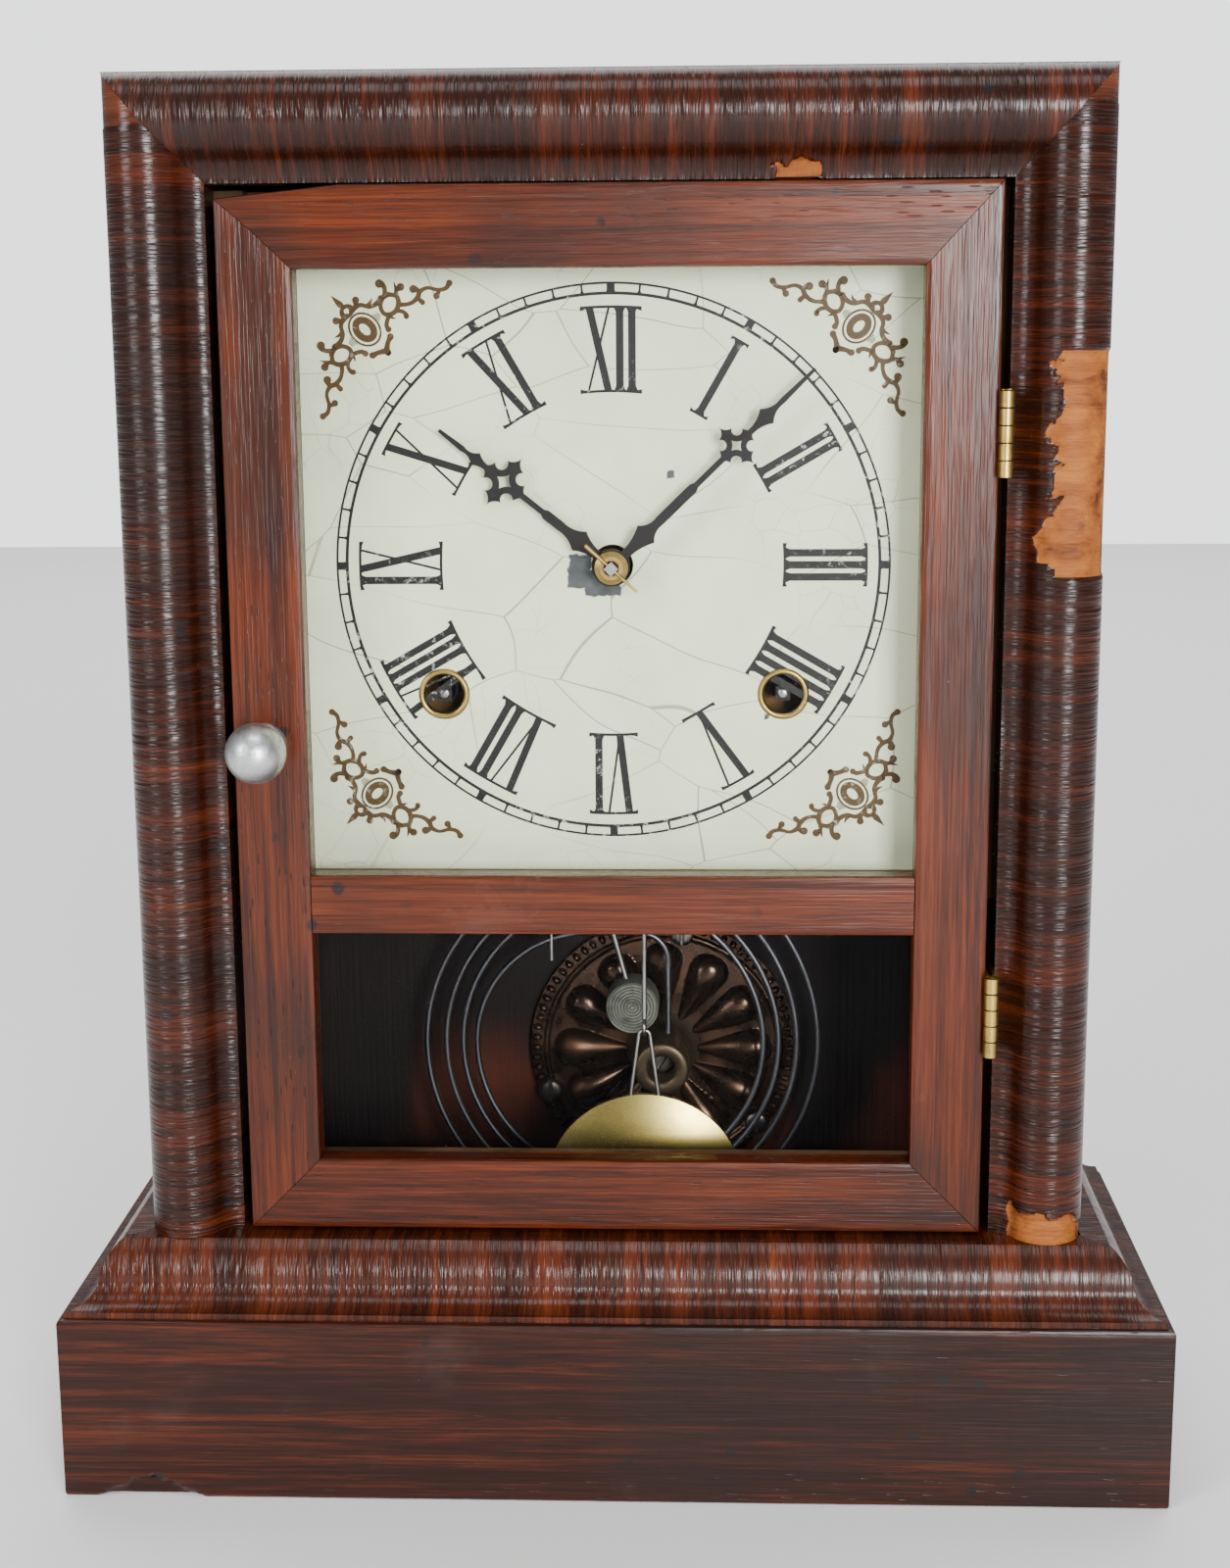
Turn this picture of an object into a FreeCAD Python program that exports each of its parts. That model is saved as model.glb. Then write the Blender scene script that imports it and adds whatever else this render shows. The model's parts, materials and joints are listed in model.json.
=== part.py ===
import FreeCAD, Part
import Sketcher
import math
import os
import re

# A flat-topped cottage shelf clock with a hinged two-light door, an eight-day
# spring-driven movement that strikes a wire gong, and a short pendulum.
# Frame: X to the right, Y to the rear, Z up, in millimetres.
# The origin is on the floor, under the middle of the base.

# Driving sizes: name, value in millimetres, degrees or a count, and what it is
SIZES = [
    ("base_width", 283.0, "width of the plinth"),
    ("base_depth", 112.0, "depth of the plinth"),
    ("clock_height", 356.0, "floor to the top board"),
    ("plinth_height", 48.3, "height of the plinth boards"),
    ("plinth_board", 12.0, "thickness of a plinth board"),
    ("deck_board", 8.0, "thickness of the deck inside the plinth"),
    ("deck_hole_width", 130.0, "width of the hole for gong and bob"),
    ("deck_front_rail", 26.0, "front rail of the deck, behind the plinth board"),
    ("deck_back_rail", 3.5, "back rail of the deck, before the backboard"),
    ("base_top", 65.1, "height of the top of the ogee moulding"),
    ("ogee_setback", 1.6, "lip of the ogee behind the plinth face"),
    ("ogee_lip", 1.6, "height of that lip"),
    ("ogee_turn_run", 7.4, "lip to the turn of the ogee, horizontally"),
    ("ogee_turn_rise", 5.2, "lip to the turn of the ogee, vertically"),
    ("ogee_hollow", 1.2, "depth of the hollow under its chord"),
    ("ogee_round", 0.9, "height of the round over its chord"),
    ("ogee_run", 13.0, "lip to the flat top of the moulding"),
    ("case_inset", 21.0, "plinth's side to the case's side"),
    ("case_setback", 22.7, "plinth face to the edge of a column"),
    ("side_board", 10.0, "thickness of a case side"),
    ("top_board", 10.0, "thickness of the case top"),
    ("back_board", 8.0, "thickness of the backboard"),
    ("column_width", 23.7, "width of a half-round column"),
    ("column_edge", 11.3, "thickness at the column's edges"),
    ("column_bulge", 20.2, "thickness at the column's crown"),
    ("lintel_height", 26.0, "height of the half-round lintel"),
    ("door_side_gap", 2.5, "door to column, each side"),
    ("door_foot_gap", 1.0, "door to the top of the base"),
    ("door_head_gap", 0.5, "door to the lintel"),
    ("door_proud", 3.0, "door face in front of the column's edge"),
    ("door_thickness", 15.0, "thickness of the door frame"),
    ("stile_width", 18.4, "width of a door stile"),
    ("top_rail_height", 19.8, "height of the top rail"),
    ("middle_rail_height", 15.2, "height of the middle rail"),
    ("middle_rail_drop", 211.0, "top of the clock to the foot of the middle rail"),
    ("bottom_rail_height", 18.7, "height of the bottom rail"),
    ("rebate_width", 4.0, "width of the glass rebate"),
    ("frame_lip", 6.5, "frame in front of the glass"),
    ("glass_thickness", 2.0, "thickness of a pane"),
    ("glass_gap", 0.3, "pane to rebate, each side"),
    ("bead_width", 3.0, "width of a glass bead"),
    ("bead_depth", 3.0, "depth of a glass bead"),
    ("hinge_height", 21.0, "length of a hinge"),
    ("hinge_drop", 86.0, "top of the clock to the middle of the upper hinge"),
    ("hinge_lower", 124.6, "floor to the middle of the lower hinge"),
    ("barrel_radius", 1.8, "radius of the hinge barrel"),
    ("hinge_pin_radius", 0.8, "radius of the hinge pin"),
    ("leaf_thickness", 0.8, "thickness of a hinge leaf"),
    ("leaf_depth", 12.0, "axis to the rear edge of a leaf"),
    ("knuckle_gap", 0.15, "gap between two knuckles"),
    ("running_gap", 0.06, "radial clearance of a running fit"),
    ("knob_radius", 7.5, "radius of the ball knob"),
    ("knob_height", 193.8, "floor to the middle of the knob"),
    ("knob_inset", 7.8, "knob axis from the door's left edge"),
    ("knob_reach", 11.6, "door face to the middle of the ball"),
    ("knob_neck", 3.2, "radius of the knob's neck"),
    ("knob_flange", 5.6, "radius of the knob's flange"),
    ("knob_flange_thickness", 1.4, "thickness of that flange"),
    ("cleat_width", 31.5, "width of a dial cleat"),
    ("cleat_stop_width", 20.5, "width of the door stop on the cleat"),
    ("cleat_depth", 15.5, "depth of the cleat behind the door"),
    ("door_stop_gap", 0.3, "door to its stop"),
    ("dial_setback", 20.9, "door face to the dial's face"),
    ("dial_thickness", 0.7, "thickness of the dial sheet"),
    ("dial_side_gap", 21.0, "case wall to the dial's edge"),
    ("dial_height", 170.0, "height of the dial sheet"),
    ("dial_drop", 31.0, "top of the clock to the top of the dial"),
    ("cleat_overrun", 4.0, "cleat past the dial, at each end"),
    ("hand_drop", 119.6, "top of the clock to the axis of the hands"),
    ("dial_hole", 5.3, "radius of the dial's centre hole"),
    ("winding_spread", 43.5, "hand axis to a winding axis, across"),
    ("winding_drop", 33.0, "hand axis to a winding axis, down"),
    ("grommet_radius", 6.6, "outer radius of a winding grommet"),
    ("grommet_bore", 5.0, "bore of a grommet"),
    ("grommet_sleeve", 5.6, "radius of the sleeve of a grommet"),
    ("grommet_flange", 0.7, "thickness of a grommet's flange"),
    ("plate_setback", 17.4, "dial's face to the movement's front plate"),
    ("plate_thickness", 1.4, "thickness of a movement plate"),
    ("plate_gap", 31.0, "distance between the plates"),
    ("plate_half_width", 66.0, "middle to the side of a plate"),
    ("plate_below", 62.4, "axis of the hands to the foot of the plates"),
    ("plate_above", 63.6, "axis of the hands to the top of the plates"),
    ("plate_window_half", 14.0, "half width of a plate's lower window"),
    ("plate_window_height", 24.0, "height of that window"),
    ("plate_corner", 6.0, "rounding of a plate's corners"),
    ("pillar_radius", 3.0, "radius of a pillar"),
    ("pillar_inset", 5.0, "pillar to the plate's edges"),
    ("pivot_radius", 0.8, "radius of a pivot"),
    ("arbor_radius", 1.3, "radius of a train arbor"),
    ("block_width", 16.0, "width of a wooden movement block"),
    ("block_overrun", 6.0, "block above and below the plates"),
    ("wheel_thickness", 1.2, "thickness of a train wheel"),
    ("main_wheel_thickness", 1.6, "thickness of a main wheel"),
    ("wheel_rim", 2.4, "width of a wheel's rim below the teeth"),
    ("wheel_hub", 4.0, "radius of a wheel's hub"),
    ("spoke_width", 2.2, "width of a spoke"),
    ("shroud_thickness", 0.7, "thickness of a pinion's shroud"),
    ("trundle_radius_small", 0.3, "radius of a small pinion's trundle"),
    ("trundle_radius", 0.42, "radius of a trundle"),
    ("main_layer", 5.2, "front plate to the main wheels"),
    ("second_layer", 8.2, "front plate to the second wheels"),
    ("centre_layer", 15.0, "front plate to the centre wheel"),
    ("fourth_layer", 22.0, "front plate to the fourth wheel"),
    ("escape_layer", 5.4, "escape wheel before the front plate"),
    ("motion_layer", 1.4, "motion wheel before the front plate"),
    ("hour_layer", 3.0, "hour wheel before the front plate"),
    ("main_module", 1.0, "module of the time main wheel"),
    ("second_module", 1.17, "module of the second wheel"),
    ("centre_module", 0.8, "module of the centre wheel"),
    ("fourth_module", 0.7, "module of the fourth wheel"),
    ("strike_module", 0.62, "module of the strike main wheel"),
    ("pin_module", 0.7, "module of the pin wheel"),
    ("locking_module", 0.6, "module of the locking wheel"),
    ("motion_module", 0.8, "module of the minute pinion"),
    ("hour_module", 0.768, "module of the hour wheel"),
    ("escape_radius", 13.5, "radius of the escape wheel"),
    ("main_arbor_radius", 3.0, "radius of a winding arbor"),
    ("winding_square", 3.7, "side of a winding square"),
    ("winding_square_length", 9.0, "length of a winding square"),
    ("winding_tip_setback", 1.0, "winding square behind the dial's face"),
    ("ratchet_radius", 9.5, "radius of a ratchet wheel"),
    ("ratchet_depth", 1.6, "depth of a ratchet tooth"),
    ("ratchet_thickness", 1.4, "thickness of a ratchet wheel"),
    ("ratchet_gap", 0.3, "ratchet to main wheel"),
    ("click_radius", 3.0, "radius of a click's boss"),
    ("spring_thickness", 0.45, "thickness of a mainspring"),
    ("spring_height", 16.0, "width of a mainspring ribbon"),
    ("spring_layer", 12.5, "front plate to the mainsprings"),
    ("pendulum_side", 7.5, "pendulum to the right of the hands"),
    ("pendulum_layer", 11.0, "pendulum before the front plate"),
    ("flex_rise", 41.6, "axis of the hands to the point where the pendulum bends"),
    ("post_rise", 11.0, "that point to the suspension post"),
    ("post_radius", 2.6, "radius of the suspension post"),
    ("suspension_width", 4.0, "width of the suspension spring"),
    ("suspension_thickness", 0.25, "thickness of that spring"),
    ("rod_radius", 0.6, "radius of the pendulum rod"),
    ("hook_height", 112.5, "floor to the hook of the rod"),
    ("hook_radius", 2.0, "radius of the rod's hook"),
    ("bob_height", 67.2, "floor to the middle of the bob"),
    ("bob_radius", 26.6, "radius of the bob"),
    ("bob_thickness", 9.0, "thickness of the bob"),
    ("bob_edge", 1.6, "thickness of the bob's edge"),
    ("bob_flat", 1.5, "radius of the flat in the middle of the bob"),
    ("stirrup_half_width", 3.8, "half the width of the stirrup at the bob"),
    ("stirrup_wire", 0.5, "radius of the stirrup wire"),
    ("stirrup_bend", 1.5, "radius of the stirrup's bend"),
    ("escape_drop", 17.0, "pendulum axis to the escape wheel"),
    ("verge_pin_radius", 0.9, "radius of the verge's stud"),
    ("verge_width", 3.4, "width of the verge strip"),
    ("verge_thickness", 0.9, "thickness of the verge strip"),
    ("crutch_wire", 0.55, "radius of the crutch wire"),
    ("crutch_drop", 34.0, "verge axis to the crutch's loop"),
    ("gong_side", 0.3, "gong to the right of the middle"),
    ("gong_height", 94.5, "floor to the middle of the gong"),
    ("gong_layer", 14.0, "backboard to the gong wire"),
    ("gong_wire", 0.85, "radius of the gong wire"),
    ("gong_inner", 41.0, "radius of the gong's first half turn"),
    ("gong_step", 2.0, "growth of the radius at each half turn"),
    ("gong_half_turns", 8, "half turns of the gong"),
    ("gong_base_side", 11.5, "gong base to the right of the middle"),
    ("gong_base_height", 89.6, "floor to the middle of the gong base"),
    ("gong_base_radius", 38.5, "radius of the gong base"),
    ("gong_base_thickness", 3.0, "thickness of the gong base's plate"),
    ("gong_rim", 3.0, "width of the gong base's rim"),
    ("gong_lobe_half", 3.4, "half width of a lobe"),
    ("gong_lobe_count", 12, "lobes of the gong base"),
    ("gong_boss_radius", 7.8, "radius of the gong boss"),
    ("gong_boss_bore", 3.75, "bore of the gong boss"),
    ("gong_boss_length", 24.0, "backboard to the front of the gong boss"),
    ("gong_leg_bend", 8.0, "radius of the leg's bend"),
    ("hammer_side", 18.0, "hammer arbor to the left of the middle"),
    ("hammer_drop", 49.4, "axis of the hands to the hammer arbor"),
    ("hammer_head_side", 3.2, "hammer head to the right of the middle"),
    ("hammer_head_height", 107.2, "floor to the hammer head"),
    ("hammer_head_radius", 7.4, "radius of the hammer head"),
    ("hammer_head_length", 9.0, "length of the hammer head"),
    ("hammer_wire", 0.8, "radius of the hammer wire"),
    ("pin_circle", 13.0, "radius of the pin circle"),
    ("strike_pin_radius", 0.6, "radius of a lifting pin"),
    ("strike_pin_length", 2.4, "length of a lifting pin"),
    ("fly_half_length", 11.0, "half the length of the fly"),
    ("fly_width", 9.0, "width of the fly"),
    ("fly_thickness", 0.5, "thickness of the fly"),
    ("hour_pipe_radius", 3.2, "outer radius of the hour pipe"),
    ("hand_arbor_radius", 1.9, "radius of the hand arbor"),
    ("hand_square", 2.6, "side of the hand arbor's square"),
    ("hand_arbor_reach", 10.2, "hand arbor's tip before the dial's face"),
    ("hour_hand_gap", 3.2, "dial face to the hour hand"),
    ("minute_hand_gap", 6.2, "dial face to the minute hand"),
    ("hand_thickness", 0.7, "thickness of a hand"),
    ("minute_length", 70.4, "length of the minute hand"),
    ("hour_length", 55.1, "length of the hour hand"),
    ("minute_cross", 43.5, "axis to the pierced square of the minute hand"),
    ("minute_cross_half", 4.3, "half the side of that square"),
    ("minute_eye", 1.25, "half the side of the hole in it"),
    ("minute_barb", 2.45, "half width of the minute hand's outer swell"),
    ("hour_cross", 34.4, "axis to the pierced square of the hour hand"),
    ("hour_cross_half", 5.1, "half the side of that square"),
    ("hour_eye", 1.6, "half the side of the hole in it"),
    ("hour_barb", 1.9, "half width of the hour hand's outer swell"),
    ("collet_radius", 4.2, "radius of the hand collet"),
    ("collet_thickness", 1.2, "thickness of the hand collet"),
    ("hand_pin_radius", 0.5, "radius of the hands' taper pin"),
    ("hand_pin_length", 17.4, "length of the hands' taper pin"),
    ("shroud_room", 0.5, "wheel to the shroud of its pinion"),
    ("escape_tooth", 2.0, "depth of an escape tooth"),
    ("hand_clutch", 4.4, "front plate to the friction clutch of the hands"),
    ("locking_layer", 17.0, "front plate to the locking wheel"),
    ("fly_layer", 4.5, "front plate to the fly"),
    ("count_radius", 12.8, "radius of the count wheel"),
    ("count_thickness", 1.0, "thickness of the count wheel"),
    ("count_gap", 0.3, "count wheel before the ratchet"),
    ("count_slot_width", 1.2, "width of a slot of the count wheel"),
    ("count_slot_depth", 1.6, "depth of a slot of the count wheel"),
    ("verge_gap", 0.4, "verge to suspension spring"),
    ("pallet_gap", 1.1, "pallet to escape wheel at rest"),
    ("ferrule_length", 5.0, "length of the ferrule on the rod"),
    ("gong_leg_offset", 1.7, "gong leg to the right of the boss"),
    ("gong_inlet", 32.5, "radius of the gong's first quarter turn"),
    ("gong_quicken", 0.1, "growth of that growth"),
    ("tail_gap", 0.4, "hammer tail to the lifting pins"),
    ("lever_side", 24.0, "lifting lever's arbor to the left of the middle"),
    ("lever_drop", 57.4, "axis of the hands to the lifting lever's arbor"),
    ("lever_layer", 8.5, "front plate to the lifting lever's wire"),
    ("lever_reach", 5.5, "lifting lever's arbor to its hanging wire"),
    ("lever_foot", 125.0, "floor to the foot of the hanging wire"),
    ("lever_wire", 0.5, "radius of the lifting lever's wire"),
    ("motion_thickness", 1.0, "thickness of the motion work's wheels"),
    ("hand_slim", 0.75, "half width of a hand where it is slim"),
    ("hand_waist", 1.25, "half width of a hand beside its inner swell"),
    ("hand_spike", 3.0, "half width of a hand's inner swell"),
    ("hand_point", 0.42, "half width of a hand's tip"),
    ("hand_hollow", 0.55, "how far the sides of a swell draw in"),
    ("hand_boss", 4.6, "radius of a hand's boss"),
    ("arbor_play", 0.18, "end play of an arbor between the plates"),
    ("click_point_depth", 1.12, "how far a click's point reaches into its ratchet"),
    ("overrun", 1.0, "how far a cut runs past its piece"),
]

# Shares of a column's width and rise: crown, end of the round, middle of the hollow
CROWN_SHARE = 0.41
TAIL_SHARE = 0.76
TAIL_RISE_SHARE = 0.42
HOLLOW_SHARE = 0.86
HOLLOW_RISE_SHARE = 0.13

# Shares of a hand's length at its neck, swells, waist and step, and of its square
MINUTE_SHARES = (0.05, 0.172, 0.24, 0.405, 0.42, 0.7, 0.765, 0.84)
HOUR_SHARES = (0.06, 0.19, 0.3, 0.385, 0.4, 0.725, 0.79, 0.865)
CROSS_CORNER_SHARE = 0.3
CROSS_TIP_SHARE = 1.06
CROSS_BITE_SHARE = 0.42
CROSS_HOLLOW_SHARE = 0.14
EYE_SHARE = 0.8
COLLET_FRONT_SHARE = 0.7
HAND_PIN_TAPER_SHARE = 0.7

# Shares of a tooth: its height and root depth against the module, its half width against the pitch
ADDENDUM_SHARE = 0.9
DEDENDUM_SHARE = 1.2
ROOT_HALF_SHARE = 0.21
MOTION_ADDENDUM_SHARE = 0.75
MOTION_ROOT_HALF_SHARE = 0.19
ESCAPE_TIP_SHARE = 0.12
ESCAPE_HEEL_SHARE = 0.55
MOTION_HUB_SHARE = 0.3
REAR_PIVOT_SHARE = 0.66

# Shares of the bob's radius and thickness, of the gong base's boss, rim and lobes, of a wire
BOB_SHOULDER_SHARE = 0.55
BOB_SHOULDER_RISE_SHARE = 0.8
STIRRUP_FOOT_SHARE = 0.975
GONG_BOSS_FOOT_SHARE = 1.3
GONG_SLOPE_SHARE = 1.5
GONG_LOBE_ROOT_SHARE = 0.4
HOOK_WIRE_SHARE = 0.8
CRUTCH_BEHIND_SHARE = 1.5

# The verge's strip: bearing of each bend and its share of the reach, and the bearing its face looks
VERGE_BENDS = ((-48, 1), (-32, 1.13), (-11, 1.06), (11, 1.06), (32, 1.13), (48, 1))
VERGE_FACES = (-60, -40, -5, 5, 40, 60)

# Counts and bearings, which no change of length moves
MAIN_TEETH = 48
SECOND_TEETH = 36
CENTRE_TEETH = 54
FOURTH_TEETH = 54
ESCAPE_TEETH = 48
STRIKE_TEETH = 78
PIN_TEETH = 48
LOCKING_TEETH = 48
SMALL_PINION_TEETH = 6
CENTRE_PINION_TEETH = 12
STRIKE_PIN_COUNT = 6
MINUTE_TEETH = 12
MOTION_TEETH = 36
MOTION_PINION_TEETH = 10
HOUR_TEETH = 40
RATCHET_TEETH = 12
HOURS = 12
STROKES = 78
SPRING_TURN_COUNT = 4
MINUTE_BEARING = 45.9
HOUR_BEARING = -51.5
PIN_BEARING = 132.0
PIN_WHEEL_BEARING = -8.0
LOCKING_BEARING = 30.0
FLY_BEARING = 10.0
MOTION_BEARING = -135.0
CLICK_POINT_BEARING = 2.0
CLICK_BACK_BEARING = 4.0
CLICK_HEEL_BEARING = 5.0
CLICK_BOSS_BEARING = 20.0
RATCHET_LEAN = 0.5


class Size:
    """A length with the sheet formula that gives it, so sums keep both."""

    def __init__(self, text, value):
        self.text = text
        self.value = value

    def __add__(self, other):
        other = size(other)
        return Size(f"({self.text} + {other.text})", self.value + other.value)

    def __radd__(self, other):
        return size(other) + self

    def __sub__(self, other):
        other = size(other)
        return Size(f"({self.text} - {other.text})", self.value - other.value)

    def __rsub__(self, other):
        return size(other) - self

    def __mul__(self, other):
        other = size(other)
        return Size(f"({self.text} * {other.text})", self.value * other.value)

    def __rmul__(self, other):
        return size(other) * self

    def __truediv__(self, other):
        other = size(other)
        return Size(f"({self.text} / {other.text})", self.value / other.value)

    def __neg__(self):
        return Size(f"(0 - {self.text})", -self.value)


def size(thing):
    """A plain number as a Size; a Size stays as it is."""
    if isinstance(thing, Size):
        return thing
    return Size(f"({thing:.9g})", float(thing))


def root(amount):
    """Square root of a Size."""
    return Size(f"sqrt({amount.text})", math.sqrt(amount.value))


doc = FreeCAD.newDocument("cottage_clock")
sheet = doc.addObject("Spreadsheet::Sheet", "Sizes")


class Sizes:
    """The sheet's cells as Size values, one attribute for each alias."""


S = Sizes()
for row, (alias, value, meaning) in enumerate(SIZES, start=1):
    sheet.set(f"A{row}", f"{value:g}")
    sheet.setAlias(f"A{row}", alias)
    sheet.set(f"B{row}", meaning)
    setattr(S, alias, Size(f"Sizes.{alias}", value))
doc.recompute()

PIECES = {}


def keep(label, thing):
    """Gives an object its label, which names the node, and lists it."""
    thing.Label = label
    PIECES[label] = thing
    return thing


def bind(thing, prop, amount):
    """Binds a property to the sheet."""
    thing.setExpression(prop, size(amount).text)


def place(thing, x=0, y=0, z=0):
    """Puts an object at a place that the sheet gives."""
    bind(thing, "Placement.Base.x", x)
    bind(thing, "Placement.Base.y", y)
    bind(thing, "Placement.Base.z", z)


def board(label, x, y, z):
    """A box from its low and high bounds along each axis."""
    box = doc.addObject("Part::Box", label)
    for side, (low, high) in zip(("Length", "Width", "Height"), (x, y, z)):
        bind(box, side, size(high) - size(low))
    place(box, x[0], y[0], z[0])
    return box


def union(label, *things):
    """Several solids in one object."""
    if len(things) == 1:
        return keep(label, things[0])
    group = doc.addObject("Part::MultiFuse", label)
    group.Shapes = list(things)
    return keep(label, group)


def cut(label, base, *tools):
    """A solid less others."""
    for number, tool in enumerate(tools):
        result = doc.addObject("Part::Cut", f"{label}_cut{number}")
        result.Base = base
        result.Tool = tool
        base = result
    return base


def rod(label, x, z, front, back, radius):
    """A round rod along Y, from its front to its back."""
    thing = doc.addObject("Part::Cylinder", label)
    bind(thing, "Radius", radius)
    bind(thing, "Height", size(back) - size(front))
    place(thing, x, front, z)
    thing.Placement.Rotation = FreeCAD.Rotation(FreeCAD.Vector(1, 0, 0), -90)
    return thing


def new_body(label):
    """An empty body."""
    return doc.addObject("PartDesign::Body", label)


def origin_plane(body, role):
    """One of a body's own origin planes."""
    return [item for item in body.Origin.OriginFeatures if item.Role == role][0]


def draw(body, name, plane, outlines, offset=0):
    """A sketch of closed outlines, with every point bound to the sheet.

    An outline is a list of points. A point of four values is an arc to the
    last two by way of the first two. An outline ("circle", a, b, radius)
    is a circle.
    """
    sketch = body.newObject("Sketcher::SketchObject", name)
    sketch.AttachmentSupport = (origin_plane(body, plane), "")
    sketch.MapMode = "FlatFace"
    bind(sketch, "AttachmentOffset.Base.z", offset)
    for outline in outlines:
        if outline[0] == "circle":
            draw_circle(sketch, *outline[1:])
        else:
            draw_outline(sketch, outline)
    return sketch


def pin_point(sketch, geometry, end, a, b):
    """Fixes one end of a piece of a sketch at a place from the sheet."""
    for kind, amount in (("DistanceX", size(a)), ("DistanceY", size(b))):
        rule = Sketcher.Constraint(kind, -1, 1, geometry, end, amount.value)
        number = sketch.addConstraint(rule)
        sketch.setExpression(f"Constraints[{number}]", amount.text)


def draw_circle(sketch, a, b, radius):
    """One circle in a sketch."""
    middle = FreeCAD.Vector(size(a).value, size(b).value, 0)
    circle = Part.Circle(middle, FreeCAD.Vector(0, 0, 1), size(radius).value)
    index = sketch.addGeometry(circle)
    pin_point(sketch, index, 3, a, b)
    rule = Sketcher.Constraint("Radius", index, size(radius).value)
    number = sketch.addConstraint(rule)
    sketch.setExpression(f"Constraints[{number}]", size(radius).text)


def draw_outline(sketch, outline):
    """One closed outline of lines and arcs in a sketch."""
    here = outline[0]
    first = None
    last = None
    for step in list(outline[1:]) + [outline[0][:2]]:
        start = FreeCAD.Vector(size(here[-2]).value, size(here[-1]).value, 0)
        end = FreeCAD.Vector(size(step[-2]).value, size(step[-1]).value, 0)
        if start.distanceToPoint(end) < 1e-7:
            break
        if len(step) == 4:
            way = FreeCAD.Vector(size(step[0]).value, size(step[1]).value, 0)
            curve = Part.Arc(start, way, end)
        else:
            curve = Part.LineSegment(start, end)
        index = sketch.addGeometry(curve)
        begin, finish = ends_of(sketch, index, start)
        pin_point(sketch, index, begin, here[-2], here[-1])
        if len(step) == 4:
            mark = sketch.addGeometry(Part.Point(way), True)
            pin_point(sketch, mark, 1, step[0], step[1])
            pin_point(sketch, index, finish, step[2], step[3])
            rule = Sketcher.Constraint("PointOnObject", mark, 1, index)
            sketch.addConstraint(rule)
        if first is None:
            first = (index, begin)
        if last is not None and not last[2]:
            rule = Sketcher.Constraint("Coincident", last[0], last[1], index, begin)
            sketch.addConstraint(rule)
        last = (index, finish, len(step) == 4)
        here = step
    if not last[2]:
        rule = Sketcher.Constraint("Coincident", last[0], last[1], *first)
        sketch.addConstraint(rule)


def ends_of(sketch, index, start):
    """Which end of a piece of a sketch lies at a point."""
    near = sketch.getPoint(index, 1).distanceToPoint(start)
    far = sketch.getPoint(index, 2).distanceToPoint(start)
    return (1, 2) if near <= far else (2, 1)


# Which way a pad runs, and the sign of a sketch's offset, on each plane
PLANE_SENSE = {"XY_Plane": (False, 1), "XZ_Plane": (True, -1), "YZ_Plane": (False, 1)}


def pad(body, name, plane, outlines, low, high):
    """Material between two places along the plane's axis."""
    turned, sign = PLANE_SENSE[plane]
    sketch = draw(body, name + "_sketch", plane, outlines, size(low) * sign)
    feature = body.newObject("PartDesign::Pad", name)
    feature.Profile = sketch
    feature.Reversed = turned
    bind(feature, "Length", size(high) - size(low))
    return feature


def pocket(body, name, plane, outlines, low, high):
    """A cut between two places along the plane's axis."""
    turned, sign = PLANE_SENSE[plane]
    sketch = draw(body, name + "_sketch", plane, outlines, size(low) * sign)
    feature = body.newObject("PartDesign::Pocket", name)
    feature.Profile = sketch
    feature.Reversed = not turned
    bind(feature, "Length", size(high) - size(low))
    return feature


def turn(body, name, plane, outlines, axis, removes=False):
    """A revolved boss or groove about an axis of its sketch."""
    sketch = draw(body, name + "_sketch", plane, outlines)
    kind = "PartDesign::Groove" if removes else "PartDesign::Revolution"
    feature = body.newObject(kind, name)
    feature.Profile = sketch
    feature.ReferenceAxis = (sketch, [axis])
    feature.Angle = 360
    return feature


def rectangle(a_low, a_high, b_low, b_high):
    """The outline of a rectangle."""
    return [(a_low, b_low), (a_high, b_low), (a_high, b_high), (a_low, b_high)]


def rounded(a_low, a_high, b_low, b_high, radius):
    """The outline of a rectangle with round corners."""
    cut_in = radius * (1 - math.sqrt(0.5))
    return [
        (a_low + radius, b_low),
        (a_high - radius, b_low),
        (a_high - cut_in, b_low + cut_in, a_high, b_low + radius),
        (a_high, b_high - radius),
        (a_high - cut_in, b_high - cut_in, a_high - radius, b_high),
        (a_low + radius, b_high),
        (a_low + cut_in, b_high - cut_in, a_low, b_high - radius),
        (a_low, b_low + radius),
        (a_low + cut_in, b_low + cut_in, a_low + radius, b_low),
    ]


def ring(body, feature, count):
    """Copies of a feature round the sketch's normal."""
    doc.recompute()
    pattern = body.newObject("PartDesign::PolarPattern", feature.Name + "_ring")
    pattern.Originals = [feature]
    pattern.Axis = (feature.Profile[0], ["N_Axis"])
    pattern.Angle = 360
    pattern.Occurrences = count
    body.Tip = pattern
    return pattern


# Places that several pieces share
HALF = S.base_width / 2
FRONT = -S.base_depth / 2
BACK = S.base_depth / 2
CASE_HALF = HALF - S.case_inset
COLUMN_EDGE = FRONT + S.case_setback
CASE_FRONT = COLUMN_EDGE + S.column_edge
COLUMN_INNER = CASE_HALF - S.column_width
LINTEL_FOOT = S.clock_height - S.lintel_height
DOOR_HALF = COLUMN_INNER - S.door_side_gap
DOOR_FOOT = S.base_top + S.door_foot_gap
DOOR_HEAD = LINTEL_FOOT - S.door_head_gap
DOOR_FRONT = COLUMN_EDGE - S.door_proud
DOOR_BACK = DOOR_FRONT + S.door_thickness
BACKBOARD_FRONT = BACK - S.back_board
DIAL_FRONT = DOOR_FRONT + S.dial_setback
DIAL_BACK = DIAL_FRONT + S.dial_thickness
INSIDE_HALF = CASE_HALF - S.side_board
DECK_TOP = S.plinth_height
DECK_FOOT = S.plinth_height - S.deck_board
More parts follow.
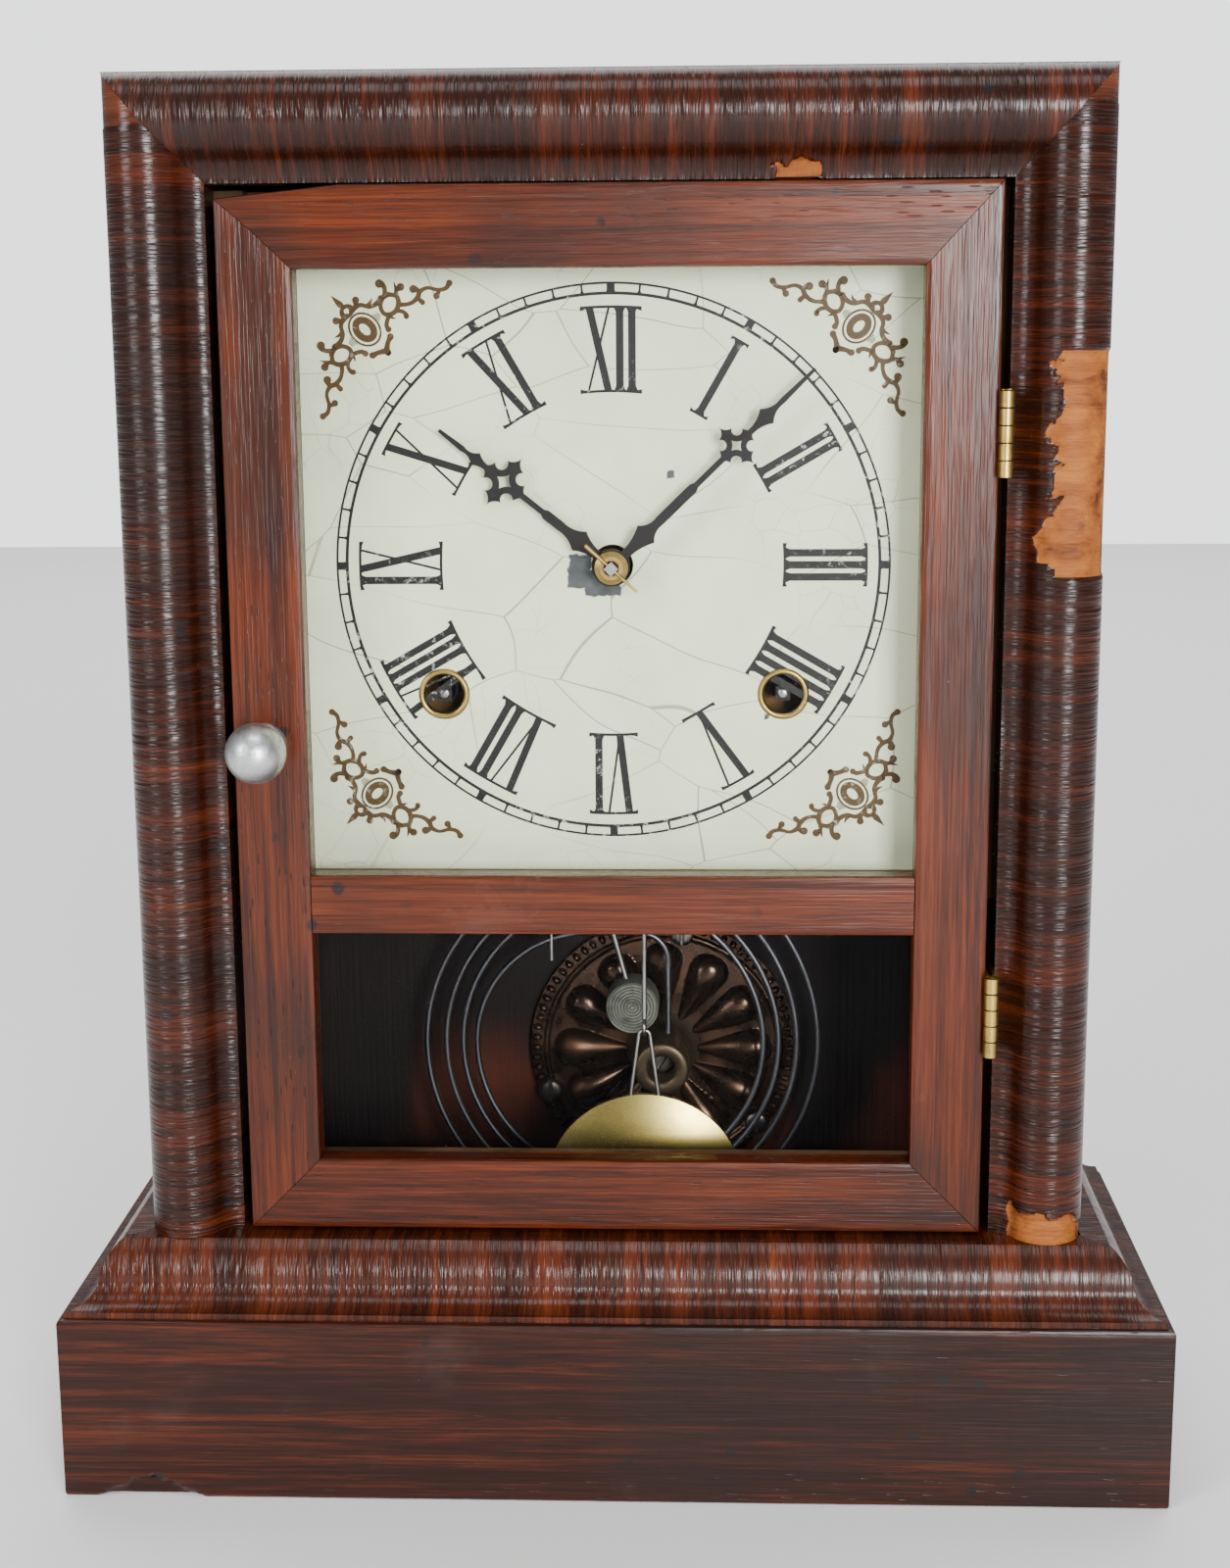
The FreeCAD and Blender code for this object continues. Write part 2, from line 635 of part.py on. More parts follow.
GONG_PLANE = BACKBOARD_FRONT - S.gong_layer
GONG_BOSS_FRONT = BACKBOARD_FRONT - S.gong_boss_length
MIDDLE_RAIL_FOOT = S.clock_height - S.middle_rail_drop
HINGE_UPPER = S.clock_height - S.hinge_drop
DIAL_HALF = INSIDE_HALF - S.dial_side_gap
DIAL_HEAD = S.clock_height - S.dial_drop
DIAL_FOOT = DIAL_HEAD - S.dial_height
HAND_HEIGHT = S.clock_height - S.hand_drop
WINDING_HEIGHT = HAND_HEIGHT - S.winding_drop
FLEX_HEIGHT = HAND_HEIGHT + S.flex_rise
POST_HEIGHT = FLEX_HEIGHT + S.post_rise
PLATE_FOOT = HAND_HEIGHT - S.plate_below
PLATE_HEAD = HAND_HEIGHT + S.plate_above
PLATE_FRONT = DIAL_FRONT + S.plate_setback
PLATE_BACK = PLATE_FRONT + S.plate_thickness
REAR_PLATE = PLATE_BACK + S.plate_gap
REAR_PLATE_BACK = REAR_PLATE + S.plate_thickness
PILLAR_SIDE = S.plate_half_width - S.pillar_inset
PILLAR_FOOT = PLATE_FOOT + S.pillar_inset
PILLAR_HEAD = PLATE_HEAD - S.pillar_inset
PENDULUM_PLANE = PLATE_FRONT - S.pendulum_layer
VERGE_FRONT = PENDULUM_PLANE + S.suspension_width / 2 + S.verge_gap
HOUR_WHEEL_FRONT = PLATE_FRONT - S.hour_layer
MOTION_WHEEL_FRONT = PLATE_FRONT - S.motion_layer
MINUTE_FRONT = DIAL_FRONT - S.minute_hand_gap - S.hand_thickness
COLLET_FRONT = MINUTE_FRONT - S.collet_thickness
HAND_PIN_PLANE = COLLET_FRONT - S.hand_pin_radius - S.running_gap


def plinth():
    """Three mitred boards and the deck inside them."""
    inner = HALF - S.plinth_board
    inner_front = FRONT + S.plinth_board
    body = new_body("plinth_front")
    outline = [(-HALF, FRONT), (HALF, FRONT), (inner, inner_front), (-inner, inner_front)]
    pad(body, "front_board", "XY_Plane", [outline], 0, S.plinth_height)
    keep("plinth_front", body)
    for name, side in (("plinth_left", -1), ("plinth_right", 1)):
        body = new_body(name)
        outline = [(HALF * side, FRONT), (HALF * side, BACK)]
        outline += [(inner * side, BACK), (inner * side, inner_front)]
        pad(body, name + "_board", "XY_Plane", [outline], 0, S.plinth_height)
        keep(name, body)
    body = new_body("plinth_deck")
    whole = rectangle(-inner, inner, inner_front, BACKBOARD_FRONT)
    pad(body, "deck", "XY_Plane", [whole], DECK_FOOT, DECK_TOP)
    hole_half = S.deck_hole_width / 2
    hole_front = inner_front + S.deck_front_rail
    hole = rectangle(-hole_half, hole_half, hole_front, BACKBOARD_FRONT - S.deck_back_rail)
    pocket(body, "deck_hole", "XY_Plane", [hole], DECK_FOOT - S.overrun, DECK_TOP + S.overrun)
    keep("plinth_deck", body)


def ogee(side):
    """Section of the base moulding, from its foot to its flat top.

    The first value runs inwards from the plinth's face, the second is height.
    """
    foot = S.plinth_height
    lip = S.ogee_setback
    turn_in = lip + S.ogee_turn_run
    turn_up = foot + S.ogee_lip + S.ogee_turn_rise
    flat_in = lip + S.ogee_run
    hollow_in = lip + S.ogee_turn_run / 2 + S.ogee_hollow
    hollow_up = foot + S.ogee_lip + S.ogee_turn_rise / 2 - S.ogee_hollow
    round_in = (turn_in + flat_in) / 2 - S.ogee_round
    round_up = (turn_up + S.base_top) / 2 + S.ogee_round
    return [
        (side, foot),
        (lip, foot),
        (lip, foot + S.ogee_lip),
        (hollow_in, hollow_up, turn_in, turn_up),
        (round_in, round_up, flat_in, S.base_top),
        (side, S.base_top),
    ]


def shifted(outline, start, sense):
    """An outline moved along its first direction, and mirrored if sense is -1."""
    moved = []
    for step in outline:
        if len(step) == 4:
            a, b, c, d = step
            moved.append((start + size(a) * sense, b, start + size(c) * sense, d))
        else:
            moved.append((start + size(step[0]) * sense, step[1]))
    return moved


def base_mouldings():
    """The ogee strips round the front and sides of the base."""
    body = new_body("base_moulding_front")
    depth = S.case_setback + S.column_edge
    pad(body, "ogee_front", "YZ_Plane", [shifted(ogee(depth), FRONT, 1)], -HALF, HALF)
    side_run = HALF - CASE_HALF
    for name, side in (("left", -1), ("right", 1)):
        outer = (HALF + S.overrun) * side
        corner_front = FRONT - S.overrun
        inner = CASE_HALF * side
        outline = [
            (outer, corner_front),
            (inner, FRONT + side_run),
            (inner, FRONT + depth + S.overrun),
            (outer, FRONT + depth + S.overrun),
        ]
        low = S.plinth_height - S.overrun
        pocket(body, f"mitre_{name}", "XY_Plane", [outline], low, S.base_top + S.overrun)
    keep("base_moulding_front", body)
    for name, side in (("base_moulding_left", -1), ("base_moulding_right", 1)):
        body = new_body(name)
        outline = shifted(ogee(side_run), HALF * side, -side)
        pad(body, name + "_strip", "XZ_Plane", [outline], FRONT, BACK)
        outline = [
            ((HALF + S.overrun) * side, FRONT - S.overrun),
            (CASE_HALF * side - S.overrun * side, FRONT + side_run + S.overrun),
            (CASE_HALF * side - S.overrun * side, FRONT - S.overrun),
        ]
        low = S.plinth_height - S.overrun
        pocket(body, name + "_mitre", "XY_Plane", [outline], low, S.base_top + S.overrun)
        keep(name, body)


def half_round(outer, sense, flat):
    """Section of a column: a flat back, a crown and a hollow tail inside.

    The first value runs inwards from the outer edge, the second is depth.
    """
    proud = S.column_bulge - S.column_edge
    tail_thickness = S.column_edge + proud * TAIL_RISE_SHARE
    hollow_thickness = S.column_edge + proud * HOLLOW_RISE_SHARE
    wide = S.column_width
    return [
        (outer, flat),
        (outer, flat - S.column_edge),
        (
            outer + wide * CROWN_SHARE * sense,
            flat - S.column_bulge,
            outer + wide * TAIL_SHARE * sense,
            flat - tail_thickness,
        ),
        (
            outer + wide * HOLLOW_SHARE * sense,
            flat - hollow_thickness,
            outer + wide * sense,
            flat - S.column_edge,
        ),
        (outer + wide * sense, flat),
    ]


def columns():
    """Two half-round columns and the lintel, mitred at the top corners."""
    top = S.clock_height
    proud = CASE_FRONT - S.column_bulge - S.overrun
    behind = CASE_FRONT + S.overrun
    for name, side in (("front_moulding_left", -1), ("front_moulding_right", 1)):
        body = new_body(name)
        outline = half_round(CASE_HALF * side, -side, CASE_FRONT)
        pad(body, name + "_strip", "XY_Plane", [outline], S.base_top, top)
        corner = [
            (CASE_HALF * side, top),
            ((COLUMN_INNER - S.overrun) * side, LINTEL_FOOT - S.overrun * S.lintel_height / S.column_width),
            ((COLUMN_INNER - S.overrun) * side, top + S.overrun),
            (CASE_HALF * side, top + S.overrun),
        ]
        pocket(body, name + "_mitre", "XZ_Plane", [corner], proud, behind)
        keep(name, body)
    body = new_body("front_moulding_top")
    scale = S.lintel_height / S.column_width
    outline = []
    for step in half_round(size(0), 1, CASE_FRONT):
        turned = []
        for across, depth in zip(step[::2], step[1::2]):
            turned += [depth, top - size(across) * scale]
        outline.append(tuple(turned))
    pad(body, "lintel_strip", "YZ_Plane", [outline], -CASE_HALF, CASE_HALF)
    for name, side in (("left", -1), ("right", 1)):
        corner = [
            (CASE_HALF * side, top),
            ((COLUMN_INNER - S.overrun) * side, LINTEL_FOOT - S.overrun * scale),
            ((CASE_HALF + S.overrun) * side, LINTEL_FOOT - S.overrun * scale),
            ((CASE_HALF + S.overrun) * side, top),
        ]
        pocket(body, f"lintel_mitre_{name}", "XZ_Plane", [corner], proud, behind)
    keep("front_moulding_top", body)


def case_boards():
    """Sides, top and back of the case."""
    foot = S.plinth_height
    under_top = S.clock_height - S.top_board
    depth = (CASE_FRONT, BACK)
    for name, side in (("case_side_left", -1), ("case_side_right", 1)):
        low = -CASE_HALF if side < 0 else INSIDE_HALF
        high = -INSIDE_HALF if side < 0 else CASE_HALF
        keep(name, board(name, (low, high), depth, (foot, under_top)))
    across = (-CASE_HALF, CASE_HALF)
    keep("case_top", board("case_top", across, depth, (under_top, S.clock_height)))
    upper = board("backboard_upper", (-INSIDE_HALF, INSIDE_HALF), (BACKBOARD_FRONT, BACK), (foot, under_top))
    inner = HALF - S.plinth_board
    lower = board("backboard_lower", (-inner, inner), (BACKBOARD_FRONT, BACK), (0, foot))
    union("backboard", upper, lower)


def dial_cleats():
    """Stepped cleats in the case, the door's stop and the dial's seat."""
    front = DOOR_BACK + S.door_stop_gap
    back = front + S.cleat_depth
    outline = []
    pieces = []
    for name, side in (("left", -1), ("right", 1)):
        body = new_body("dial_cleat_" + name)
        stop = (INSIDE_HALF - S.cleat_stop_width) * side
        inner = (INSIDE_HALF - S.cleat_width) * side
        outline = [
            (INSIDE_HALF * side, front),
            (stop, front),
            (stop, DIAL_BACK),
            (inner, DIAL_BACK),
            (inner, back),
            (INSIDE_HALF * side, back),
        ]
        low = DIAL_FOOT - S.cleat_overrun
        pad(body, "cleat_" + name, "XY_Plane", [outline], low, DIAL_HEAD + S.cleat_overrun)
        pieces.append(body)
    union("dial_cleats", *pieces)


def door_frame():
    """Two stiles and three rails, rebated from behind for the panes."""
    lip_back = DOOR_FRONT + S.frame_lip
    inner = DOOR_HALF - S.stile_width
    top_inner = DOOR_HEAD - S.top_rail_height
    foot_inner = DOOR_FOOT + S.bottom_rail_height
    reb = S.rebate_width
    middle_head = MIDDLE_RAIL_FOOT + S.middle_rail_height
    for name, side in (("door_stile_left", -1), ("door_stile_right", 1)):
        body = new_body(name)
        outline = [
            (DOOR_HALF * side, DOOR_FOOT),
            (DOOR_HALF * side, DOOR_HEAD),
            (inner * side, top_inner),
            (inner * side, foot_inner),
        ]
        pad(body, name + "_strip", "XZ_Plane", [outline], DOOR_FRONT, DOOR_BACK)
        for light, low, high in (
            ("lower", foot_inner - reb, MIDDLE_RAIL_FOOT + reb),
            ("upper", middle_head - reb, top_inner + reb),
        ):
            edges = sorted(((inner - S.overrun) * side, (inner + reb) * side), key=lambda e: e.value)
            groove = rectangle(edges[0], edges[1], low, high)
            pocket(body, f"{name}_{light}_rebate", "XZ_Plane", [groove], lip_back, DOOR_BACK + S.overrun)
        keep(name, body)
    for name, outer_z, inner_z, sense in (
        ("door_rail_top", DOOR_HEAD, top_inner, 1),
        ("door_rail_bottom", DOOR_FOOT, foot_inner, -1),
    ):
        body = new_body(name)
        outline = [(-DOOR_HALF, outer_z), (DOOR_HALF, outer_z), (inner, inner_z), (-inner, inner_z)]
        pad(body, name + "_strip", "XZ_Plane", [outline], DOOR_FRONT, DOOR_BACK)
        edges = sorted((inner_z - S.overrun * sense, inner_z + reb * sense), key=lambda e: e.value)
        groove = rectangle(-inner - reb, inner + reb, edges[0], edges[1])
        pocket(body, name + "_rebate", "XZ_Plane", [groove], lip_back, DOOR_BACK + S.overrun)
        keep(name, body)
    body = new_body("door_rail_middle")
    low = MIDDLE_RAIL_FOOT
    pad(body, "middle_front", "XZ_Plane", [rectangle(-inner, inner, low, middle_head)], DOOR_FRONT, lip_back)
    rear = rectangle(-inner, inner, low + reb, middle_head - reb)
    pad(body, "middle_rear", "XZ_Plane", [rear], lip_back, DOOR_BACK)
    keep("door_rail_middle", body)


def panes():
    """The two panes and the beads that hold them from behind."""
    inner = DOOR_HALF - S.stile_width + S.rebate_width - S.glass_gap
    pane_front = DOOR_FRONT + S.frame_lip
    pane_back = pane_front + S.glass_thickness
    reb = S.rebate_width - S.glass_gap
    middle_head = MIDDLE_RAIL_FOOT + S.middle_rail_height
    lights = (
        ("lower_glass", DOOR_FOOT + S.bottom_rail_height - reb, MIDDLE_RAIL_FOOT + reb),
        ("upper_glass", middle_head - reb, DOOR_HEAD - S.top_rail_height + reb),
    )
    beads = []
    for name, low, high in lights:
        keep(name, board(name, (-inner, inner), (pane_front, pane_back), (low, high)))
        body = new_body(name + "_bead")
        wide = S.bead_width
        outer_edge = rectangle(-inner, inner, low, high)
        inner_edge = rectangle(wide - inner, inner - wide, low + wide, high - wide)
        bead_back = pane_back + S.bead_depth
        pad(body, name + "_bead_ring", "XZ_Plane", [outer_edge, inner_edge], pane_back, bead_back)
        beads.append(body)
    union("glass_beads", *beads)


def hinges():
    """Two butt hinges of five knuckles with their pins, on the right."""
    axis_x = DOOR_HALF + S.door_side_gap / 2
    axis_y = DOOR_FRONT - S.barrel_radius
    knuckle = S.hinge_height / 5
    door_leaf = (DOOR_HALF, DOOR_HALF + S.leaf_thickness)
    case_leaf = (COLUMN_INNER - S.leaf_thickness, COLUMN_INNER)
    leaves = {"hinge_door_leaves": [], "hinge_case_leaves": []}
    pins = []
    for where, middle in (("upper", HINGE_UPPER), ("lower", S.hinge_lower)):
        foot = middle - S.hinge_height / 2
        for label, leaf, numbers in (
            ("hinge_door_leaves", door_leaf, (0, 2, 4)),
            ("hinge_case_leaves", case_leaf, (1, 3)),
        ):
            name = f"{label}_{where}"
            rise = (foot, foot + S.hinge_height)
            plate = board(name + "_plate", leaf, (axis_y, axis_y + S.leaf_depth), rise)
            shapes = [plate]
            gaps = []
            for number in range(5):
                low = foot + knuckle * number
                if number in numbers:
                    barrel = doc.addObject("Part::Cylinder", f"{name}_knuckle{number}")
                    bind(barrel, "Radius", S.barrel_radius)
                    bind(barrel, "Height", knuckle - S.knuckle_gap)
                    place(barrel, axis_x, axis_y, low + S.knuckle_gap / 2)
                    shapes.append(barrel)
                else:
                    swing = S.barrel_radius + S.knuckle_gap
                    gap = board(
                        f"{name}_gap{number}",
                        (axis_x - swing, axis_x + swing),
                        (axis_y - swing, axis_y + swing),
                        (low - S.knuckle_gap / 2, low + knuckle + S.knuckle_gap / 2),
                    )
                    gaps.append(gap)
            fused = doc.addObject("Part::MultiFuse", name + "_fused")
            fused.Shapes = shapes
            bore = doc.addObject("Part::Cylinder", name + "_bore")
            bind(bore, "Radius", S.hinge_pin_radius + S.running_gap)
            bind(bore, "Height", S.hinge_height + S.overrun * 2)
            place(bore, axis_x, axis_y, foot - S.overrun)
            leaves[label].append(cut(name, fused, *gaps, bore))
        pin = doc.addObject("Part::Cylinder", f"hinge_pin_{where}")
        bind(pin, "Radius", S.hinge_pin_radius)
        bind(pin, "Height", S.hinge_height)
        place(pin, axis_x, axis_y, foot)
        pins.append(pin)
    for label, things in leaves.items():
        union(label, *things)
    union("hinge_pins", *pins)


def knob():
    """A ball knob on a flanged neck."""
    body = new_body("door_knob")
    reach = S.knob_reach
    ball = S.knob_radius
    neck_meets = reach - root(ball * ball - S.knob_neck * S.knob_neck)
    outline = [
        (0, 0),
        (0, S.knob_flange),
        (-S.knob_flange_thickness, S.knob_flange),
        (-S.knob_flange_thickness, S.knob_neck),
        (-neck_meets, S.knob_neck),
        (-reach, ball, -reach - ball, 0),
    ]
    turn(body, "knob_form", "YZ_Plane", [outline], "H_Axis")
    place(body, S.knob_inset - DOOR_HALF, DOOR_FRONT, S.knob_height)
    keep("door_knob", body)


def dial():
    """The dial sheet with its holes, and the winding grommets."""
    body = new_body("dial_plate")
    sheet_edge = rectangle(-DIAL_HALF, DIAL_HALF, DIAL_FOOT, DIAL_HEAD)
    holes = [("circle", 0, HAND_HEIGHT, S.dial_hole)]
    for side in (-1, 1):
        hole = S.grommet_sleeve + S.running_gap
        holes.append(("circle", S.winding_spread * side, WINDING_HEIGHT, hole))
    pad(body, "dial_sheet", "XZ_Plane", [sheet_edge] + holes, DIAL_FRONT, DIAL_BACK)
    keep("dial_plate", body)
    grommets = []
    for name, side in (("left", -1), ("right", 1)):
        body = new_body("winding_grommet_" + name)
        outline = [
            (-S.grommet_flange, S.grommet_bore),
            (-S.grommet_flange, S.grommet_radius - S.grommet_flange / 2),
            (-S.grommet_flange / 2, S.grommet_radius),
            (0, S.grommet_radius),
            (0, S.grommet_sleeve),
            (S.dial_thickness + S.grommet_flange, S.grommet_sleeve),
            (S.dial_thickness + S.grommet_flange, S.grommet_bore),
        ]
        turn(body, "eyelet_" + name, "YZ_Plane", [outline], "H_Axis")
        place(body, S.winding_spread * side, DIAL_FRONT, WINDING_HEIGHT)
        grommets.append(body)
    union("winding_grommets", *grommets)


def value(amount):
    """A Size as a plain number, for shapes made with Part's own functions."""
    return size(amount).value


def bearing(x, z, distance, degrees):
    """The place at a distance and a clockwise bearing from straight up."""
    across = math.sin(math.radians(degrees))
    up = math.cos(math.radians(degrees))
    return size(x) + distance * across, size(z) + distance * up


def spacing(wheel_teeth, pinion_teeth, module):
    """Distance between the arbors of a wheel and its pinion."""
    return module * ((wheel_teeth + pinion_teeth) / 2)


def joint_of_circles(first, first_reach, second, second_reach, side):
    """Where circles about two places meet, on one side of the line between."""
    across = second[0] - first[0]
    up = second[1] - first[1]
    apart = root(across * across + up * up)
    along = (first_reach * first_reach - second_reach * second_reach + apart * apart) / (apart * 2)
    off = root(first_reach * first_reach - along * along) * side
    x = first[0] + (across * along + up * off) / apart
    z = first[1] + (up * along - across * off) / apart
    return x, z


# Arbor places, as seen from the front
HANDS = (size(0), HAND_HEIGHT)
TIME_MAIN = (S.winding_spread, WINDING_HEIGHT)
STRIKE_MAIN = (-S.winding_spread, WINDING_HEIGHT)
SECOND = joint_of_circles(
    HANDS,
    spacing(SECOND_TEETH, CENTRE_PINION_TEETH, S.second_module),
    TIME_MAIN,
    spacing(MAIN_TEETH, SMALL_PINION_TEETH, S.main_module),
    1,
)
VERGE = (S.pendulum_side, FLEX_HEIGHT)
ESCAPE = (S.pendulum_side, FLEX_HEIGHT - S.escape_drop)
FOURTH = joint_of_circles(
    HANDS,
    spacing(CENTRE_TEETH, SMALL_PINION_TEETH, S.centre_module),
    ESCAPE,
    spacing(FOURTH_TEETH, SMALL_PINION_TEETH, S.fourth_module),
    1,
)
PIN_WHEEL = bearing(
    *STRIKE_MAIN, spacing(STRIKE_TEETH, SMALL_PINION_TEETH, S.strike_module), PIN_WHEEL_BEARING
)
LOCKING = bearing(*PIN_WHEEL, spacing(PIN_TEETH, SMALL_PINION_TEETH, S.pin_module), LOCKING_BEARING)
FLY = bearing(*LOCKING, spacing(LOCKING_TEETH, SMALL_PINION_TEETH, S.locking_module), FLY_BEARING)
MOTION = bearing(*HANDS, spacing(MOTION_TEETH, MINUTE_TEETH, S.motion_module), MOTION_BEARING)
HAMMER = (-S.hammer_side, HAND_HEIGHT - S.hammer_drop)
LEVER = (-S.lever_side, HAND_HEIGHT - S.lever_drop)


def heading(here, there):
    """Bearing in degrees from one place to another, clockwise from up."""
    across = value(there[0]) - value(here[0])
    up = value(there[1]) - value(here[1])
    return math.degrees(math.atan2(across, up))


def polar(radius, degrees, y=0):
    """A point at a clockwise bearing round the Y axis."""
    angle = math.radians(degrees)
    return FreeCAD.Vector(radius * math.sin(angle), y, radius * math.cos(angle))


def slab(points, front, thickness):
    """A flat piece across Y from its corners."""
    wire = Part.makePolygon([FreeCAD.Vector(p.x, front, p.z) for p in points + points[:1]])
    return Part.Face(wire).extrude(FreeCAD.Vector(0, thickness, 0))


def disc(radius, front, back, middle=None):
    """A round piece along Y."""
    middle = middle or FreeCAD.Vector(0, 0, 0)
    start = FreeCAD.Vector(middle.x, front, middle.z)
    return Part.makeCylinder(radius, back - front, start, FreeCAD.Vector(0, 1, 0))


def toothed(teeth, module, front, thickness, gap_bearing, shares=(ADDENDUM_SHARE, ROOT_HALF_SHARE)):
    """A wheel blank with pointed teeth and one gap at a given bearing."""
    addendum_share, root_half_share = shares
    pitch_radius = module * teeth / 2
    tip = pitch_radius + module * addendum_share
    floor = pitch_radius - module * DEDENDUM_SHARE
    step = 360 / teeth
    points = []
    for number in range(teeth):
        middle = gap_bearing + step * number + step / 2
        points.append(polar(floor, middle - step * root_half_share))
        points.append(polar(tip, middle))
        points.append(polar(floor, middle + step * root_half_share))
    return slab(points, front, thickness)


def windows(outer, inner, front, thickness, spokes):
    """The openings between the spokes of a wheel."""
    overrun = value(S.overrun)
    half = value(S.spoke_width) / 2
    bars = []
    for number in range(spokes):
        angle = 360 / spokes * number
        corners = [polar(outer + overrun, angle)]
        side = polar(half, angle + 90)
        far = polar(outer + overrun, angle)
        corners = [side, far + side, far - side, side * -1]
        bars.append(slab(corners, front - overrun, thickness + overrun * 2))
    hollow = disc(outer, front - overrun, front + thickness + overrun)
    hollow = hollow.cut(disc(inner, front - overrun, front + thickness + overrun))
    return hollow.cut(bars)


def train_wheel(teeth, module, front, thickness, gap_bearing, spokes=4):
    """A toothed wheel with spokes and a hub."""
    blank = toothed(teeth, module, front, thickness, gap_bearing)
    floor = module * teeth / 2 - module * DEDENDUM_SHARE
    return blank.cut(windows(floor - value(S.wheel_rim), value(S.wheel_hub), front, thickness, spokes))


def lantern(teeth, module, front, back, trundle, pin_bearing):
    """A lantern pinion: two shrouds and its trundles."""
    pitch_radius = module * teeth / 2
    shroud = pitch_radius + trundle + value(S.shroud_thickness)
    thick = value(S.shroud_thickness)
    parts = [disc(shroud, front, front + thick), disc(shroud, back - thick, back)]
    for number in range(teeth):
        spot = polar(pitch_radius, pin_bearing + 360 / teeth * number)
        parts.append(disc(trundle, front, back, spot))
    return parts


def arbor(radius, front=None, back=None, pivot=None):
    """An arbor between the plates, with a pivot in each."""
    end_play = value(S.arbor_play)
    pivot = value(S.pivot_radius) if pivot is None else pivot
    front = value(PLATE_BACK) + end_play if front is None else front
    back = value(REAR_PLATE) - end_play if back is None else back
    parts = [disc(radius, front, back)]
    parts.append(disc(pivot, value(PLATE_FRONT) + end_play, front))
    parts.append(disc(pivot, back, value(REAR_PLATE_BACK) - end_play))
    return [part for part in parts if part.Volume > 0]


def feature(label, spot, parts, holes=()):
    """A solid made of Part shapes about the Y axis, set at its arbor."""
    shape = parts[0].fuse(list(parts[1:])) if len(parts) > 1 else parts[0]
    if holes:
        shape = shape.cut(list(holes))
    thing = doc.addObject("Part::Feature", label)
    thing.Shape = shape.removeSplitter()
    place(thing, spot[0], 0, spot[1])
    return keep(label, thing)


def pinion_reach(layer, thickness):
    """Front and back of a pinion that meshes with a wheel at a layer."""
    room = value(S.shroud_thickness) + value(S.shroud_room)
    front = value(PLATE_BACK) + value(layer) - room
    back = value(PLATE_BACK) + value(layer) + value(thickness) + room
    return front, back


def time_train():
    """The going train, from the second wheel up to the escape wheel."""
    plate = value(PLATE_BACK)
    thick = value(S.wheel_thickness)
    axle = value(S.arbor_radius)
    trundle = value(S.trundle_radius)
    second_front = plate + value(S.second_layer)
    reach = pinion_reach(S.main_layer, S.main_wheel_thickness)
    parts = [train_wheel(SECOND_TEETH, value(S.second_module), second_front, thick, heading(SECOND, HANDS))]
    parts += lantern(SMALL_PINION_TEETH, value(S.main_module), *reach, trundle, heading(SECOND, TIME_MAIN))
    feature("second_wheel", SECOND, parts + arbor(axle))
    centre_front = plate + value(S.centre_layer)
    reach = pinion_reach(S.second_layer, S.wheel_thickness)
    parts = [train_wheel(CENTRE_TEETH, value(S.centre_module), centre_front, thick, heading(HANDS, FOURTH))]
    parts += lantern(CENTRE_PINION_TEETH, value(S.second_module), *reach, trundle, heading(HANDS, SECOND))
    clutch = plate + value(S.hand_clutch)
    parts += [disc(axle, clutch, value(REAR_PLATE) - value(S.arbor_play))]
    parts += [disc(value(S.pivot_radius), clutch, value(REAR_PLATE_BACK) - value(S.arbor_play))]
    feature("centre_wheel", HANDS, parts)
    fourth_front = plate + value(S.fourth_layer)
    reach = pinion_reach(S.centre_layer, S.wheel_thickness)
    parts = [train_wheel(FOURTH_TEETH, value(S.fourth_module), fourth_front, thick, heading(FOURTH, ESCAPE))]
    parts += lantern(SMALL_PINION_TEETH, value(S.centre_module), *reach, trundle, heading(FOURTH, HANDS))
    feature("fourth_wheel", FOURTH, parts + arbor(axle))
    escape_wheel(thick, axle)


def escape_wheel(thick, axle):
    """The escape wheel before the front plate, with its pinion behind it."""
    reach = pinion_reach(S.fourth_layer, S.wheel_thickness)
    small = value(S.trundle_radius_small)
    front = value(PLATE_FRONT) - value(S.escape_layer)
    radius = value(S.escape_radius)
    floor = radius - value(S.escape_tooth)
    step = 360 / ESCAPE_TEETH
    points = []
    for number in range(ESCAPE_TEETH):
        angle = step * number
        points.append(polar(floor, angle))
        points.append(polar(radius, angle + step * ESCAPE_TIP_SHARE))
        points.append(polar(floor, angle + step * ESCAPE_HEEL_SHARE))
    blank = slab(points, front, thick)
    blank = blank.cut(windows(floor - value(S.wheel_rim), value(S.wheel_hub), front, thick, 4))
    parts = [blank]
    parts += lantern(SMALL_PINION_TEETH, value(S.fourth_module), *reach, small, heading(ESCAPE, FOURTH))
    parts += [disc(axle, front, value(REAR_PLATE) - value(S.arbor_play))]
    parts += [disc(value(S.pivot_radius), front, value(REAR_PLATE_BACK) - value(S.arbor_play))]
    feature("escape_wheel", ESCAPE, parts)


def ratchet_bearings():
    """Bearing of the ratchet's radial faces, one for each tooth."""
    return [360 / RATCHET_TEETH * number for number in range(RATCHET_TEETH)]


